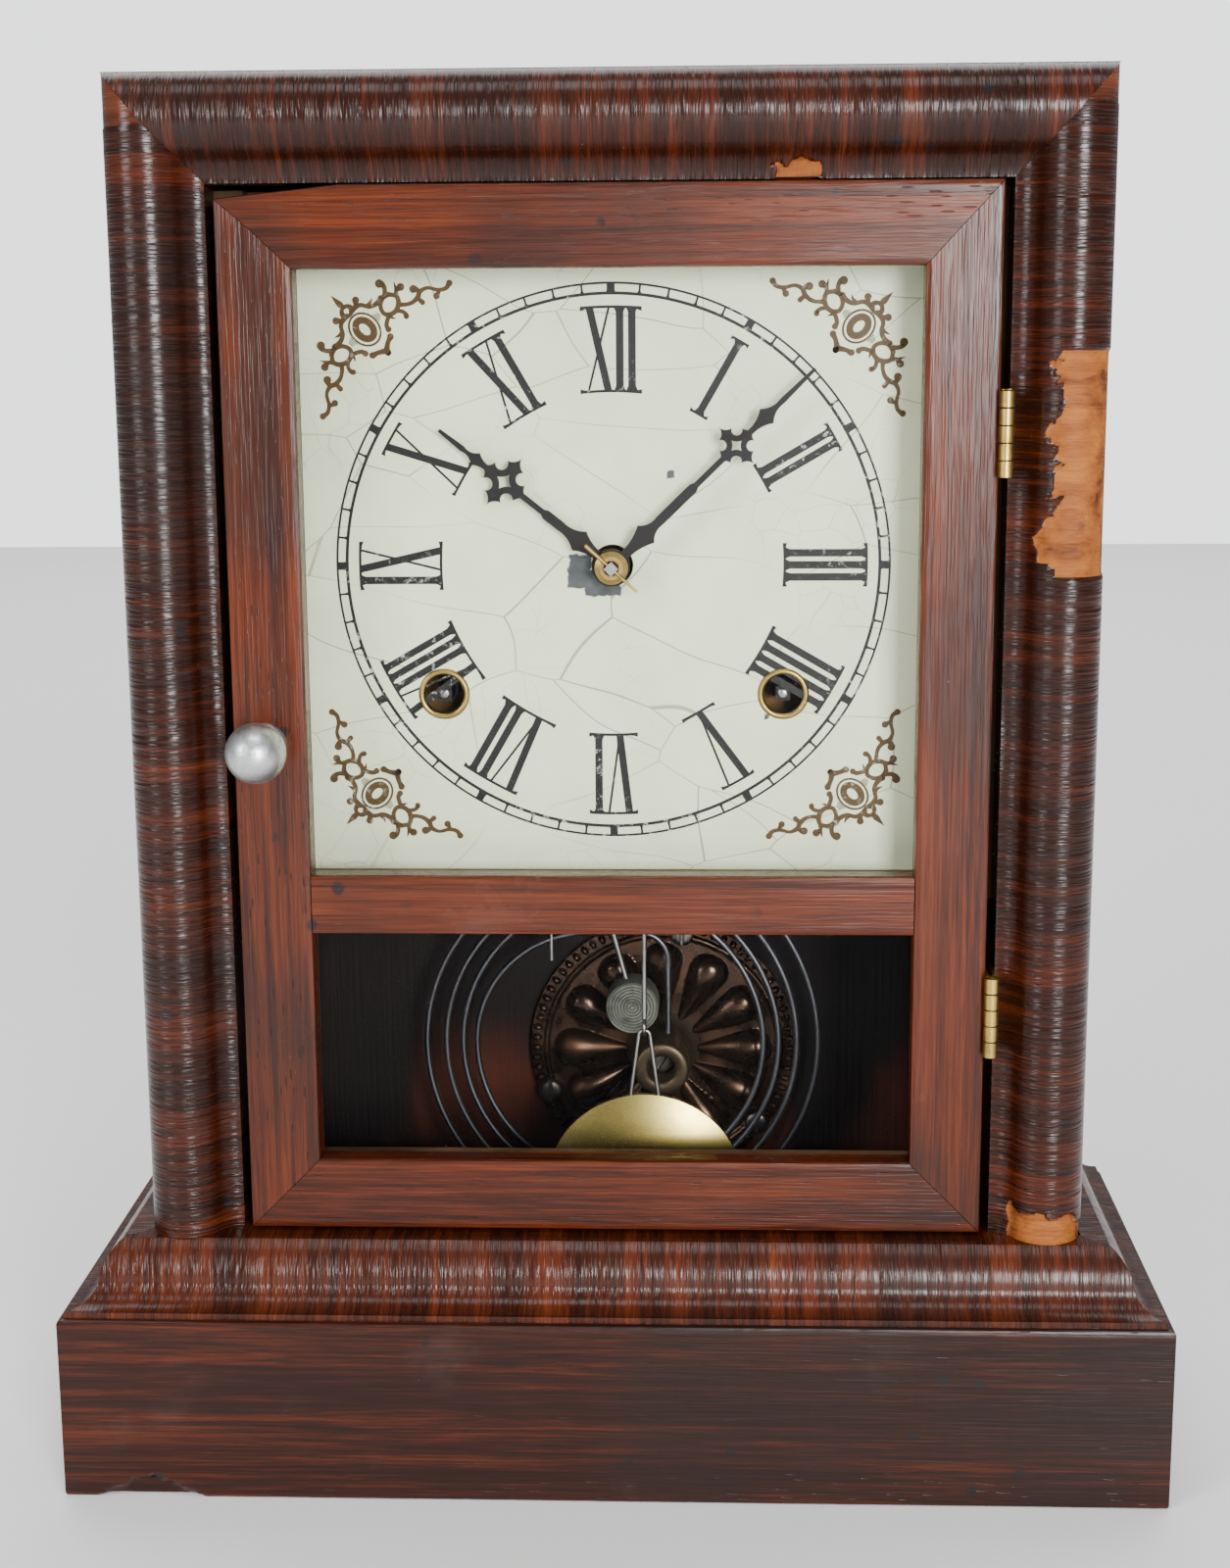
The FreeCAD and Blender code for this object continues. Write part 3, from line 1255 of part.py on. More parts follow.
def main_wheels():
    """The two main wheels with their clicks, and their winding arbors."""
    plate = value(PLATE_BACK)
    front = plate + value(S.main_layer)
    thick = value(S.main_wheel_thickness)
    ratchet_back = front - value(S.ratchet_gap)
    ratchet_front = ratchet_back - value(S.ratchet_thickness)
    outer = value(S.ratchet_radius)
    floor = outer - value(S.ratchet_depth)
    bore = value(S.main_arbor_radius) + value(S.running_gap)
    click = value(S.click_radius)
    trains = (
        ("time", TIME_MAIN, MAIN_TEETH, value(S.main_module), SECOND),
        ("strike", STRIKE_MAIN, STRIKE_TEETH, value(S.strike_module), PIN_WHEEL),
    )
    for name, spot, teeth, module, driven in trains:
        blank = toothed(teeth, module, front, thick, heading(spot, driven))
        boss_spot = polar(outer + click + value(S.ratchet_gap), CLICK_BOSS_BEARING)
        tip = polar(outer - value(S.click_point_depth), CLICK_POINT_BEARING)
        heel = polar(outer + value(S.ratchet_gap), CLICK_HEEL_BEARING)
        back = polar(outer + click, CLICK_BACK_BEARING)
        pawl = slab([tip, back, boss_spot, heel], ratchet_front, thick)
        parts = [blank, disc(click, ratchet_front, front + thick / 2, boss_spot), pawl]
        if name == "strike":
            parts.append(count_wheel(ratchet_front))
        overrun = value(S.overrun)
        holes = [disc(bore, ratchet_front - overrun, front + thick + overrun)]
        feature(f"{name}_main_wheel", spot, parts, holes)
        points = []
        for angle in ratchet_bearings():
            points.append(polar(outer, angle))
            points.append(polar(floor, angle + RATCHET_LEAN))
        ratchet = slab(points, ratchet_front, value(S.ratchet_thickness))
        square = value(S.winding_square)
        tip_y = value(DIAL_FRONT) + value(S.winding_tip_setback)
        shoulder = tip_y + value(S.winding_square_length)
        corner = FreeCAD.Vector(-square / 2, tip_y, -square / 2)
        end_play = value(S.arbor_play)
        rear = value(REAR_PLATE) - end_play
        parts = [
            ratchet,
            Part.makeBox(square, shoulder - tip_y, square, corner),
            disc(value(S.main_arbor_radius), shoulder, rear),
            disc(value(S.main_arbor_radius) * REAR_PIVOT_SHARE, rear, value(REAR_PLATE_BACK) - end_play),
        ]
        feature(f"{name}_winding_arbor", spot, parts)


def count_wheel(front):
    """The slotted wheel that counts the strokes of twelve hours."""
    rim = value(S.count_radius)
    back = front + value(S.count_thickness)
    front_face = front - value(S.count_gap)
    past = value(S.overrun)
    blank = disc(rim, front_face, back)
    tools = [disc(value(S.ratchet_radius) + value(S.ratchet_gap), front_face - past, back + past)]
    wide = value(S.count_slot_width)
    deep = value(S.count_slot_depth)
    strokes = 0
    for hour in range(1, HOURS + 1):
        strokes += hour
        corner = FreeCAD.Vector(-wide / 2, front_face - past, rim - deep)
        slot = Part.makeBox(wide, back - front_face + past * 2, deep + past, corner)
        slot.rotate(FreeCAD.Vector(0, 0, 0), FreeCAD.Vector(0, 1, 0), 360 / STROKES * strokes)
        tools.append(slot)
    return blank.cut(tools)


def strike_train():
    """Pin wheel, locking wheel and fly."""
    plate = value(PLATE_BACK)
    thick = value(S.wheel_thickness)
    axle = value(S.arbor_radius)
    small = value(S.trundle_radius_small)
    front = plate + value(S.second_layer)
    reach = pinion_reach(S.main_layer, S.main_wheel_thickness)
    parts = [train_wheel(PIN_TEETH, value(S.pin_module), front, thick, heading(PIN_WHEEL, LOCKING))]
    bearing = heading(PIN_WHEEL, STRIKE_MAIN)
    parts += lantern(SMALL_PINION_TEETH, value(S.strike_module), *reach, small, bearing)
    for number in range(STRIKE_PIN_COUNT):
        spot = polar(value(S.pin_circle), 360 / STRIKE_PIN_COUNT * number)
        back = front + thick + value(S.strike_pin_length)
        parts.append(disc(value(S.strike_pin_radius), front, back, spot))
    feature("pin_wheel", PIN_WHEEL, parts + arbor(axle))
    front = plate + value(S.locking_layer)
    reach = pinion_reach(S.second_layer, S.wheel_thickness)
    parts = [train_wheel(LOCKING_TEETH, value(S.locking_module), front, thick, heading(LOCKING, FLY))]
    parts += lantern(SMALL_PINION_TEETH, value(S.pin_module), *reach, small, heading(LOCKING, PIN_WHEEL))
    feature("locking_wheel", LOCKING, parts + arbor(axle))
    reach = pinion_reach(S.locking_layer, S.wheel_thickness)
    parts = lantern(SMALL_PINION_TEETH, value(S.locking_module), *reach, small, heading(FLY, LOCKING))
    vane_front = plate + value(S.fly_layer)
    half = value(S.fly_half_length)
    thin = value(S.fly_thickness)
    corner = FreeCAD.Vector(-half, vane_front, -thin / 2)
    parts.append(Part.makeBox(half * 2, value(S.fly_width), thin, corner))
    feature("fly", FLY, parts + arbor(axle))


def mainsprings():
    """Two spiral ribbons from the winding arbors out to the lower pillars."""
    thick = value(S.spring_thickness)
    front = value(PLATE_BACK) + value(S.spring_layer)
    height = value(S.spring_height)
    ribbons = []
    for name, spot, side in (("strike", STRIKE_MAIN, -1), ("time", TIME_MAIN, 1)):
        pillar = (PILLAR_SIDE * side, PILLAR_FOOT)
        across = value(pillar[0] - spot[0])
        up = value(pillar[1] - spot[1])
        apart = math.hypot(across, up)
        first = value(S.main_arbor_radius) + value(S.running_gap) * 5 + thick / 2
        last = apart - value(S.pillar_radius) - value(S.running_gap) * 5 - thick / 2
        halves = SPRING_TURN_COUNT * 2
        growth = (last - first) / halves
        chains = []
        for shift in (-thick / 2, thick / 2):
            edges = []
            for number in range(halves):
                sense = 1 if number % 2 == 0 else -1
                near = first + growth * number + shift
                far = first + growth * (number + 1) + shift
                middle = (near - far) / 2 * sense
                radius = (near + far) / 2
                start = FreeCAD.Vector(near * sense, 0, 0)
                way = FreeCAD.Vector(middle, 0, radius * sense * side)
                end = FreeCAD.Vector(-far * sense, 0, 0)
                edges.append(Part.Arc(start, way, end).toShape())
            chains.append((edges, FreeCAD.Vector(first + shift, 0, 0), end))
        caps = [
            Part.makeLine(chains[0][1], chains[1][1]),
            Part.makeLine(chains[0][2], chains[1][2]),
        ]
        wire = Part.Wire(Part.__sortEdges__(chains[0][0] + caps + chains[1][0]))
        ribbon = Part.Face(wire).extrude(FreeCAD.Vector(0, height, 0))
        turn_angle = math.degrees(math.atan2(-up, across))
        ribbon.rotate(FreeCAD.Vector(0, 0, 0), FreeCAD.Vector(0, 1, 0), turn_angle)
        ribbon.translate(FreeCAD.Vector(value(spot[0]), front, value(spot[1])))
        ribbons.append(ribbon)
    thing = doc.addObject("Part::Feature", "mainsprings")
    thing.Shape = Part.makeCompound(ribbons)
    keep("mainsprings", thing)


def plates():
    """Front and back plates, pierced for pivots, and the four pillars."""
    half = S.plate_half_width
    window = S.plate_window_half
    foot = PLATE_FOOT + S.pillar_inset * 2
    pivot = S.pivot_radius + S.running_gap
    edge = rounded(-half, half, PLATE_FOOT, PLATE_HEAD, S.plate_corner)
    opening = rectangle(-window, window, foot, foot + S.plate_window_height)
    small = [SECOND, FOURTH, PIN_WHEEL, LOCKING, FLY, HAMMER, LEVER]
    front_holes = [("circle", *spot, pivot) for spot in small]
    front_holes += [("circle", *ESCAPE, S.arbor_radius + S.running_gap)]
    front_holes += [("circle", *HANDS, S.hand_arbor_radius + S.running_gap)]
    back_holes = [("circle", *spot, pivot) for spot in small + [HANDS, ESCAPE]]
    for spot in (TIME_MAIN, STRIKE_MAIN):
        front_holes.append(("circle", *spot, S.main_arbor_radius + S.running_gap))
        back_holes.append(("circle", *spot, S.main_arbor_radius * REAR_PIVOT_SHARE + S.running_gap))
    sheets = []
    for name, holes, low, high in (
        ("movement_front_plate", front_holes, PLATE_FRONT, PLATE_BACK),
        ("movement_back_plate", back_holes, REAR_PLATE, REAR_PLATE_BACK),
    ):
        body = new_body(name)
        pad(body, name + "_sheet", "XZ_Plane", [edge, opening] + holes, low, high)
        sheets.append(body)
    pillars = []
    for number, (side, height) in enumerate(
        ((-1, PILLAR_FOOT), (1, PILLAR_FOOT), (-1, PILLAR_HEAD), (1, PILLAR_HEAD))
    ):
        across = PILLAR_SIDE * side
        pillar = rod(f"pillar{number}", across, height, PLATE_BACK, REAR_PLATE, S.pillar_radius)
        pillars.append(pillar)
    union("movement_pillars", *pillars)
    blocks = []
    for name, side in (("left", -1), ("right", 1)):
        edges = sorted((half * side, (half - S.block_width) * side), key=lambda e: e.value)
        low = PLATE_FOOT - S.block_overrun
        high = PLATE_HEAD + S.block_overrun
        blocks.append(board(f"block_{name}", edges, (REAR_PLATE_BACK, BACKBOARD_FRONT), (low, high)))
    union("movement_blocks", *blocks)
    studs = [
        rod("verge_stud", *VERGE, VERGE_FRONT - S.running_gap * 3, PLATE_FRONT, S.verge_pin_radius),
        rod("motion_stud", *MOTION, HOUR_WHEEL_FRONT - S.running_gap * 3, PLATE_FRONT, S.verge_pin_radius),
    ]
    union("movement_front_plate", sheets[0], *studs)
    keep("movement_back_plate", sheets[1])


def suspension():
    """The post on the front plate, with the pendulum's spring in it."""
    front = PENDULUM_PLANE - S.suspension_width / 2 - S.verge_gap
    post = rod("post", S.pendulum_side, POST_HEIGHT, front, PLATE_FRONT, S.post_radius)
    thin = S.suspension_thickness / 2
    wide = S.suspension_width / 2
    strip = board(
        "strip",
        (S.pendulum_side - thin, S.pendulum_side + thin),
        (PENDULUM_PLANE - wide, PENDULUM_PLANE + wide),
        (FLEX_HEIGHT + S.verge_gap, POST_HEIGHT),
    )
    union("suspension_post", post, strip)


def verge():
    """The verge strip with its hub, and the crutch wire with its loop."""
    front = value(VERGE_FRONT)
    stud = value(S.verge_pin_radius) + value(S.running_gap)
    thin = value(S.verge_thickness)
    drop = value(S.escape_drop)
    reach = value(S.escape_radius) + value(S.pallet_gap)
    strip_front = value(PLATE_FRONT) - value(S.escape_layer) - value(S.verge_width) / 2 + thin / 2
    strip_back = strip_front + value(S.verge_width)
    inner = []
    for angle, share in VERGE_BENDS:
        inner.append(polar(reach * share, angle) - FreeCAD.Vector(0, 0, drop))
    outer = [point + polar(thin, angle) for point, angle in zip(inner, VERGE_FACES)]
    strip = slab(inner + outer[::-1], strip_front, strip_back - strip_front)
    hub = disc(stud + thin, front, strip_back)
    wire = value(S.crutch_wire)
    down = value(S.crutch_drop)
    crutch_y = front + wire * CRUTCH_BEHIND_SHARE
    crutch = Part.makeCylinder(wire, down, FreeCAD.Vector(0, crutch_y, -down), FreeCAD.Vector(0, 0, 1))
    plane = value(PENDULUM_PLANE)
    loop_radius = value(S.rod_radius) + wire * 2
    loop = Part.makeTorus(loop_radius, wire, FreeCAD.Vector(0, plane, -down), FreeCAD.Vector(0, 0, 1))
    link = disc(wire, plane + loop_radius, crutch_y, FreeCAD.Vector(0, 0, -down))
    bore = disc(stud, front - value(S.overrun), strip_back + value(S.overrun))
    feature("verge", VERGE, [strip, hub, crutch, loop, link], [bore])


def pendulum():
    """The rod with its hook, and the bob on its stirrup."""
    plane = value(PENDULUM_PLANE)
    top = value(FLEX_HEIGHT) - value(S.verge_gap)
    hook = value(S.hook_height)
    wire = value(S.rod_radius)
    ring_radius = value(S.hook_radius)
    up = FreeCAD.Vector(0, 0, 1)
    ferrule = value(S.ferrule_length)
    low = hook + ring_radius
    rod_shape = Part.makeCylinder(wire, top - low, FreeCAD.Vector(0, plane, low), up)
    tip = Part.makeCylinder(wire * 2, ferrule, FreeCAD.Vector(0, plane, top - ferrule), up)
    eye_wire = wire * HOOK_WIRE_SHARE
    eye = Part.makeTorus(ring_radius, eye_wire, FreeCAD.Vector(0, plane, hook), FreeCAD.Vector(1, 0, 0))
    feature("pendulum_rod", (S.pendulum_side, size(0)), [rod_shape, tip, eye])
    body = new_body("pendulum_bob")
    half = S.bob_thickness / 2
    edge = S.bob_edge / 2
    shoulder = S.bob_radius * BOB_SHOULDER_SHARE
    lens = [
        (0, -half),
        (S.bob_flat, -half),
        (shoulder, -half * BOB_SHOULDER_RISE_SHARE, S.bob_radius, -edge),
        (S.bob_radius, edge),
        (shoulder, half * BOB_SHOULDER_RISE_SHARE, S.bob_flat, half),
        (0, half),
    ]
    turn(body, "bob_lens", "XY_Plane", [lens], "V_Axis")
    place(body, S.pendulum_side, PENDULUM_PLANE, S.bob_height)
    foot_height = value(S.bob_height + S.bob_radius * STIRRUP_FOOT_SHARE)
    foot = FreeCAD.Vector(-value(S.stirrup_half_width), 0, foot_height)
    bend = value(S.stirrup_bend)
    crown = hook - ring_radius + value(S.stirrup_wire) + wire
    middle = FreeCAD.Vector(0, 0, crown - bend)
    away = foot - middle
    lean = math.degrees(math.atan2(away.x, away.z)) + math.degrees(math.acos(bend / away.Length))
    hang = FreeCAD.Vector(value(S.pendulum_side), plane, 0)
    points = [polar(bend, angle) + middle + hang for angle in (lean, 0, -lean)]
    right_foot = FreeCAD.Vector(-foot.x, 0, foot.z) + hang
    path = Part.Wire(
        [
            Part.makeLine(foot + hang, points[0]),
            Part.Arc(*points).toShape(),
            Part.makeLine(points[2], right_foot),
        ]
    )
    direction = path.Edges[0].tangentAt(path.Edges[0].FirstParameter)
    section = Part.Wire(Part.makeCircle(value(S.stirrup_wire), foot + hang, direction))
    stirrup = doc.addObject("Part::Feature", "stirrup")
    stirrup.Shape = path.makePipeShell([section], True, False)
    union("pendulum_bob", body, stirrup)


def gong():
    """The lobed iron base with its boss, and the wire coil on its leg."""
    body = new_body("gong_base")
    back = BACKBOARD_FRONT
    plate = back - S.gong_base_thickness
    reach = S.gong_base_radius
    bore_back = GONG_BOSS_FRONT + S.gong_boss_radius
    profile = [
        (back, 0),
        (back, reach),
        (plate - S.gong_rim / 2, reach),
        (plate - S.gong_rim, reach - S.gong_rim / 2),
        (plate, reach - S.gong_rim),
        (plate, S.gong_boss_radius * GONG_BOSS_FOOT_SHARE),
        (plate - S.gong_rim * GONG_SLOPE_SHARE, S.gong_boss_radius),
        (GONG_BOSS_FRONT, S.gong_boss_radius),
        (GONG_BOSS_FRONT, S.gong_boss_bore),
        (bore_back, S.gong_boss_bore),
        (bore_back, 0),
    ]
    turn(body, "gong_dish", "YZ_Plane", [profile], "H_Axis")
    near = S.gong_boss_radius
    far = reach - S.gong_rim * GONG_SLOPE_SHARE - S.gong_lobe_half
    root = S.gong_lobe_half * GONG_LOBE_ROOT_SHARE
    lobe = [
        (-root, near),
        (root, near),
        (S.gong_lobe_half, far),
        (0, far + S.gong_lobe_half, -S.gong_lobe_half, far),
    ]
    lobe_pad = pad(body, "gong_lobe", "XZ_Plane", [lobe], plate - S.gong_rim, plate)
    ring(body, lobe_pad, int(S.gong_lobe_count.value))
    place(body, S.gong_base_side, 0, S.gong_base_height)
    keep("gong_base", body)
    gong_coil()


def gong_coil():
    """The wire: a leg, a bend, a quarter turn and half turns that widen."""
    plane = value(GONG_PLANE)
    height = value(S.gong_height)
    leg_x = value(S.gong_base_side) + value(S.gong_leg_offset)
    foot = value(S.gong_base_height) + value(S.gong_boss_radius)
    bend = value(S.gong_leg_bend)
    inlet = value(S.gong_inlet)
    step = value(S.gong_step)
    quicken = value(S.gong_quicken)
    crown = height + inlet
    left = value(S.gong_side) - value(S.gong_inner) - step / 2
    radii = []
    for number in range(int(S.gong_half_turns.value)):
        radii.append(value(S.gong_inner) + step * number + quicken * number * (number - 1))
    edges = []

    def line(x0, z0, x1, z1):
        edges.append(Part.makeLine(FreeCAD.Vector(x0, plane, z0), FreeCAD.Vector(x1, plane, z1)))

    def quarter(middle_x, middle_z, radius, first, last):
        way = (first + last) / 2
        middle = FreeCAD.Vector(middle_x, plane, middle_z)
        points = [polar(radius, angle) + middle for angle in (first, way, last)]
        edges.append(Part.Arc(*points).toShape())

    line(leg_x, foot, leg_x, crown - bend)
    quarter(leg_x - bend, crown - bend, bend, 90, 0)
    line(leg_x - bend, crown, left + inlet, crown)
    quarter(left + inlet, height, inlet, 0, -90)
    here = left
    first = -90
    sense = 1
    for radius in radii:
        middle = here + radius * sense
        quarter(middle, height, radius, first, first - 90)
        if radius != radii[-1]:
            quarter(middle, height, radius, first - 90, first - 180)
        here = middle + radius * sense
        first -= 180
        sense = -sense
    path = Part.Wire(edges)
    start = FreeCAD.Vector(leg_x, plane, foot)
    section = Part.Wire(Part.makeCircle(value(S.gong_wire), start, FreeCAD.Vector(0, 0, 1)))
    coil = doc.addObject("Part::Feature", "gong_coil")
    coil.Shape = path.makePipeShell([section], True, False)
    keep("gong_coil", coil)
    share = coil.Shape.Volume / (math.pi * value(S.gong_wire) ** 2 * path.Length)
    print(f"gong wire {path.Length:.1f} mm long, volume over section times length {share:.4f}")
    print_gap(path)


def print_gap(path):
    """Measures the least gap between turns of the gong wire."""
    points = path.discretize(Number=900)
    spacing_along = path.Length / 899
    skip = int(value(S.gong_wire) * 12 / spacing_along) + 1
    least = min(
        points[i].distanceToPoint(points[j])
        for i in range(0, len(points), 2)
        for j in range(i + skip, len(points), 2)
    )
    print(f"least gap of the gong wire to itself {least - value(S.gong_wire) * 2:.2f} mm")


def hammer():
    """Arbor, wire, head and tail of the strike hammer."""
    head_x = value(S.hammer_head_side) - value(HAMMER[0])
    head_z = value(S.hammer_head_height) - value(HAMMER[1])
    length = math.hypot(head_x, head_z)
    back = value(GONG_PLANE) + value(S.hammer_wire) * 2
    front = back - value(S.hammer_head_length)
    wire = value(S.hammer_wire)
    arm_y = (front + back) / 2
    arm_direction = FreeCAD.Vector(head_x, 0, head_z)
    arm = Part.makeCylinder(wire, length, FreeCAD.Vector(0, arm_y, 0), arm_direction)
    head = disc(value(S.hammer_head_radius), front, back, FreeCAD.Vector(head_x, 0, head_z))
    pin_root = value(PLATE_BACK) + value(S.second_layer) + value(S.wheel_thickness)
    tail_y = pin_root + value(S.strike_pin_length) / 2
    apart = math.hypot(value(PIN_WHEEL[0] - HAMMER[0]), value(PIN_WHEEL[1] - HAMMER[1]))
    tail_length = apart - value(S.pin_circle) - value(S.strike_pin_radius) - wire - value(S.tail_gap)
    tail_direction = FreeCAD.Vector(value(PIN_WHEEL[0] - HAMMER[0]), 0, value(PIN_WHEEL[1] - HAMMER[1]))
    tail = Part.makeCylinder(wire, tail_length, FreeCAD.Vector(0, tail_y, 0), tail_direction)
    feature("hammer", HAMMER, arbor(value(S.arbor_radius)) + [arm, head, tail])


def strike_lever():
    """The lifting lever, with the wire that hangs below the movement."""
    wire = value(S.lever_wire)
    reach = value(S.lever_reach)
    plane = value(PLATE_BACK) + value(S.lever_layer)
    drop = value(LEVER[1]) - value(S.lever_foot)
    arm = Part.makeCylinder(wire, reach, FreeCAD.Vector(0, plane, 0), FreeCAD.Vector(1, 0, 0))
    elbow = Part.makeSphere(wire, FreeCAD.Vector(reach, plane, 0))
    hanging = Part.makeCylinder(wire, drop, FreeCAD.Vector(reach, plane, -drop), FreeCAD.Vector(0, 0, 1))
    feature("strike_lever", LEVER, arbor(value(S.arbor_radius)) + [arm, elbow, hanging])


def motion_work():
    """Hour wheel on its pipe, motion wheel with its pinion."""
    thick = value(S.motion_thickness)
    module = value(S.hour_module)
    front = value(HOUR_WHEEL_FRONT)
    pipe_front = value(DIAL_FRONT - S.hour_hand_gap - S.hand_thickness)
    overrun = value(S.overrun)
    shares = (MOTION_ADDENDUM_SHARE, MOTION_ROOT_HALF_SHARE)
    blank = toothed(HOUR_TEETH, module, front, thick, heading(HANDS, MOTION), shares)
    pipe = disc(value(S.hour_pipe_radius), pipe_front, front + thick)
    clear = value(S.hand_arbor_radius) + value(S.running_gap)
    bore = disc(clear, pipe_front - overrun, front + thick + overrun)
    feature("hour_wheel", HANDS, [blank, pipe], [bore])
    wheel_front = value(MOTION_WHEEL_FRONT)
    bearing = heading(MOTION, HANDS)
    blank = toothed(MOTION_TEETH, value(S.motion_module), wheel_front, thick, bearing, shares)
    bearing += 180 / MOTION_PINION_TEETH
    pinion = toothed(MOTION_PINION_TEETH, module, front, thick, bearing, shares)
    hub = disc(module * MOTION_PINION_TEETH * MOTION_HUB_SHARE, front, wheel_front + thick)
    clear = value(S.verge_pin_radius) + value(S.running_gap)
    bore = disc(clear, front - overrun, wheel_front + thick + overrun)
    feature("motion_wheel", MOTION, [blank, pinion, hub], [bore])


def hand_arbor():
    """The arbor of the hands, with the minute pinion and a squared end."""
    thick = value(S.motion_thickness)
    tip = value(DIAL_FRONT - S.hand_arbor_reach)
    seat = value(DIAL_FRONT - S.minute_hand_gap)
    square = value(S.hand_square)
    radius = value(S.hand_arbor_radius)
    wheel_front = value(MOTION_WHEEL_FRONT)
    shares = (MOTION_ADDENDUM_SHARE, MOTION_ROOT_HALF_SHARE)
    bearing = heading(HANDS, MOTION) + 180 / MINUTE_TEETH
    pinion = toothed(MINUTE_TEETH, value(S.motion_module), wheel_front, thick, bearing, shares)
    end = value(PLATE_BACK) + value(S.hand_clutch) - value(S.arbor_play)
    squared = Part.makeBox(square, seat - tip, square, FreeCAD.Vector(-square / 2, tip, -square / 2))
    squared.rotate(FreeCAD.Vector(0, 0, 0), FreeCAD.Vector(0, 1, 0), MINUTE_BEARING)
    parts = [disc(radius, seat, end), squared, pinion]
    pin_y = value(HAND_PIN_PLANE)
    half = value(S.hand_pin_length) / 2
    start = polar(half, PIN_BEARING + 180, pin_y)
    hole = Part.makeCylinder(
        value(S.hand_pin_radius) + value(S.running_gap), half * 2, start, polar(1, PIN_BEARING)
    )
    feature("hand_arbor", HANDS, parts, [hole])
    wide = value(S.hand_pin_radius)
    narrow = wide * HAND_PIN_TAPER_SHARE
    pin = Part.makeCone(wide, narrow, half * 2, start, polar(1, PIN_BEARING))
    feature("hand_pin", HANDS, [pin])


def mirrored(right):
    """A closed outline from its right half, which runs from foot to tip."""
    steps = [tuple(step) for step in right]
    left = [(-size(steps[-1][-2]), steps[-1][-1])]
    for number in range(len(steps) - 1, 0, -1):
        here = steps[number]
        end = steps[number - 1]
        if len(here) == 4:
            left.append((-size(here[0]), here[1], -size(end[-2]), end[-1]))
        else:
            left.append((-size(end[-2]), end[-1]))
    return steps + left


def blade(length, shares, spike, barb):
    """A hand's blade: two swells with drawn-in sides, and a slim tip."""
    neck, swell, waist, step, slim, barb_foot, barb_at, barb_end = [length * share for share in shares]
    thin = S.hand_slim
    wide = S.hand_waist
    draw_in = S.hand_hollow
    return mirrored(
        [
            (wide, neck),
            ((wide + spike) / 2 - draw_in, (neck + swell) / 2 + draw_in, spike, swell),
            ((wide + spike) / 2 - draw_in, (swell + waist) / 2 - draw_in, wide, waist),
            (wide, step),
            (thin, slim),
            (thin, barb_foot),
            ((thin + barb) / 2 - draw_in / 2, (barb_foot + barb_at) / 2 + draw_in / 2, barb, barb_at),
            ((thin + barb) / 2 - draw_in, (barb_at + barb_end) / 2 - draw_in, thin, barb_end),
            (S.hand_point, length),
        ]
    )


def cross(middle, half):
    """The square of a hand, a corner towards its tip, bitten on each side."""
    corner = half * CROSS_CORNER_SHARE
    reach = half * CROSS_TIP_SHARE
    bite = half * (1 - CROSS_BITE_SHARE)
    hollow = half * CROSS_HOLLOW_SHARE
    side = [
        ((half, -corner),),
        ((bite, size(0)), (half, corner)),
        (((half + reach) / 2 - hollow, (corner + reach) / 2), (reach, reach)),
        (((corner + reach) / 2, (half + reach) / 2 - hollow), (corner, half)),
    ]
    return turned_sides(side, middle)


def turned_sides(side, middle):
    """Four copies of one side of a square that stands on a corner."""
    outline = []
    for quarter in range(4):
        angle = math.radians(45 + 90 * quarter)
        across = math.cos(angle)
        up = math.sin(angle)
        steps = side if quarter == 0 else side[1:]
        for step in steps:
            turned = []
            for p, q in step:
                turned += [p * across - q * up, middle + p * up + q * across]
            outline.append(tuple(turned))
    return outline


def eye(middle, half):
    """The hole in a hand's square, with its sides bowed inwards."""
    bowed = half * EYE_SHARE
    side = [((half, -half),), ((bowed, size(0)), (half, half))]
    return turned_sides(side, middle)


def hands():
    """The pierced hands and the collet that holds them."""
    hour_front = DIAL_FRONT - S.hour_hand_gap - S.hand_thickness
    for name, length, shares, barb, middle, half, hole, front, bearing_angle in (
        (
            "hour_hand", S.hour_length, HOUR_SHARES, S.hour_barb, S.hour_cross,
            S.hour_cross_half, S.hour_eye, hour_front, HOUR_BEARING,
        ),
        (
            "minute_hand", S.minute_length, MINUTE_SHARES, S.minute_barb, S.minute_cross,
            S.minute_cross_half, S.minute_eye, MINUTE_FRONT, MINUTE_BEARING,
        ),
    ):
        body = new_body(name)
        thick = S.hand_thickness
        pad(body, name + "_boss", "XZ_Plane", [("circle", 0, 0, S.hand_boss)], 0, thick)
        pad(body, name + "_blade", "XZ_Plane", [blade(length, shares, S.hand_spike, barb)], 0, thick)
        pad(body, name + "_cross", "XZ_Plane", [cross(middle, half)], 0, thick)
        if name == "hour_hand":
            bore = ("circle", 0, 0, S.hour_pipe_radius + S.running_gap / 3)
        else:
            side = S.hand_square / 2 + S.running_gap / 2
            bore = rectangle(-side, side, -side, side)
        holes = [bore, eye(middle, hole)]
        pocket(body, name + "_piercings", "XZ_Plane", holes, -S.overrun, thick + S.overrun)
        place(body, 0, front, HAND_HEIGHT)
        body.Placement.Rotation = FreeCAD.Rotation(FreeCAD.Vector(0, 1, 0), bearing_angle)
        keep(name, body)
    body = new_body("hand_collet")
    outline = [
        (0, S.hand_arbor_radius + S.running_gap),
        (0, S.collet_radius),
        (-S.collet_thickness / 2, S.collet_radius),
        (-S.collet_thickness, S.collet_radius * COLLET_FRONT_SHARE),
        (-S.collet_thickness, S.hand_arbor_radius + S.running_gap),
    ]
    turn(body, "collet_ring", "YZ_Plane", [outline], "H_Axis")
    place(body, 0, MINUTE_FRONT, HAND_HEIGHT)
    keep("hand_collet", body)


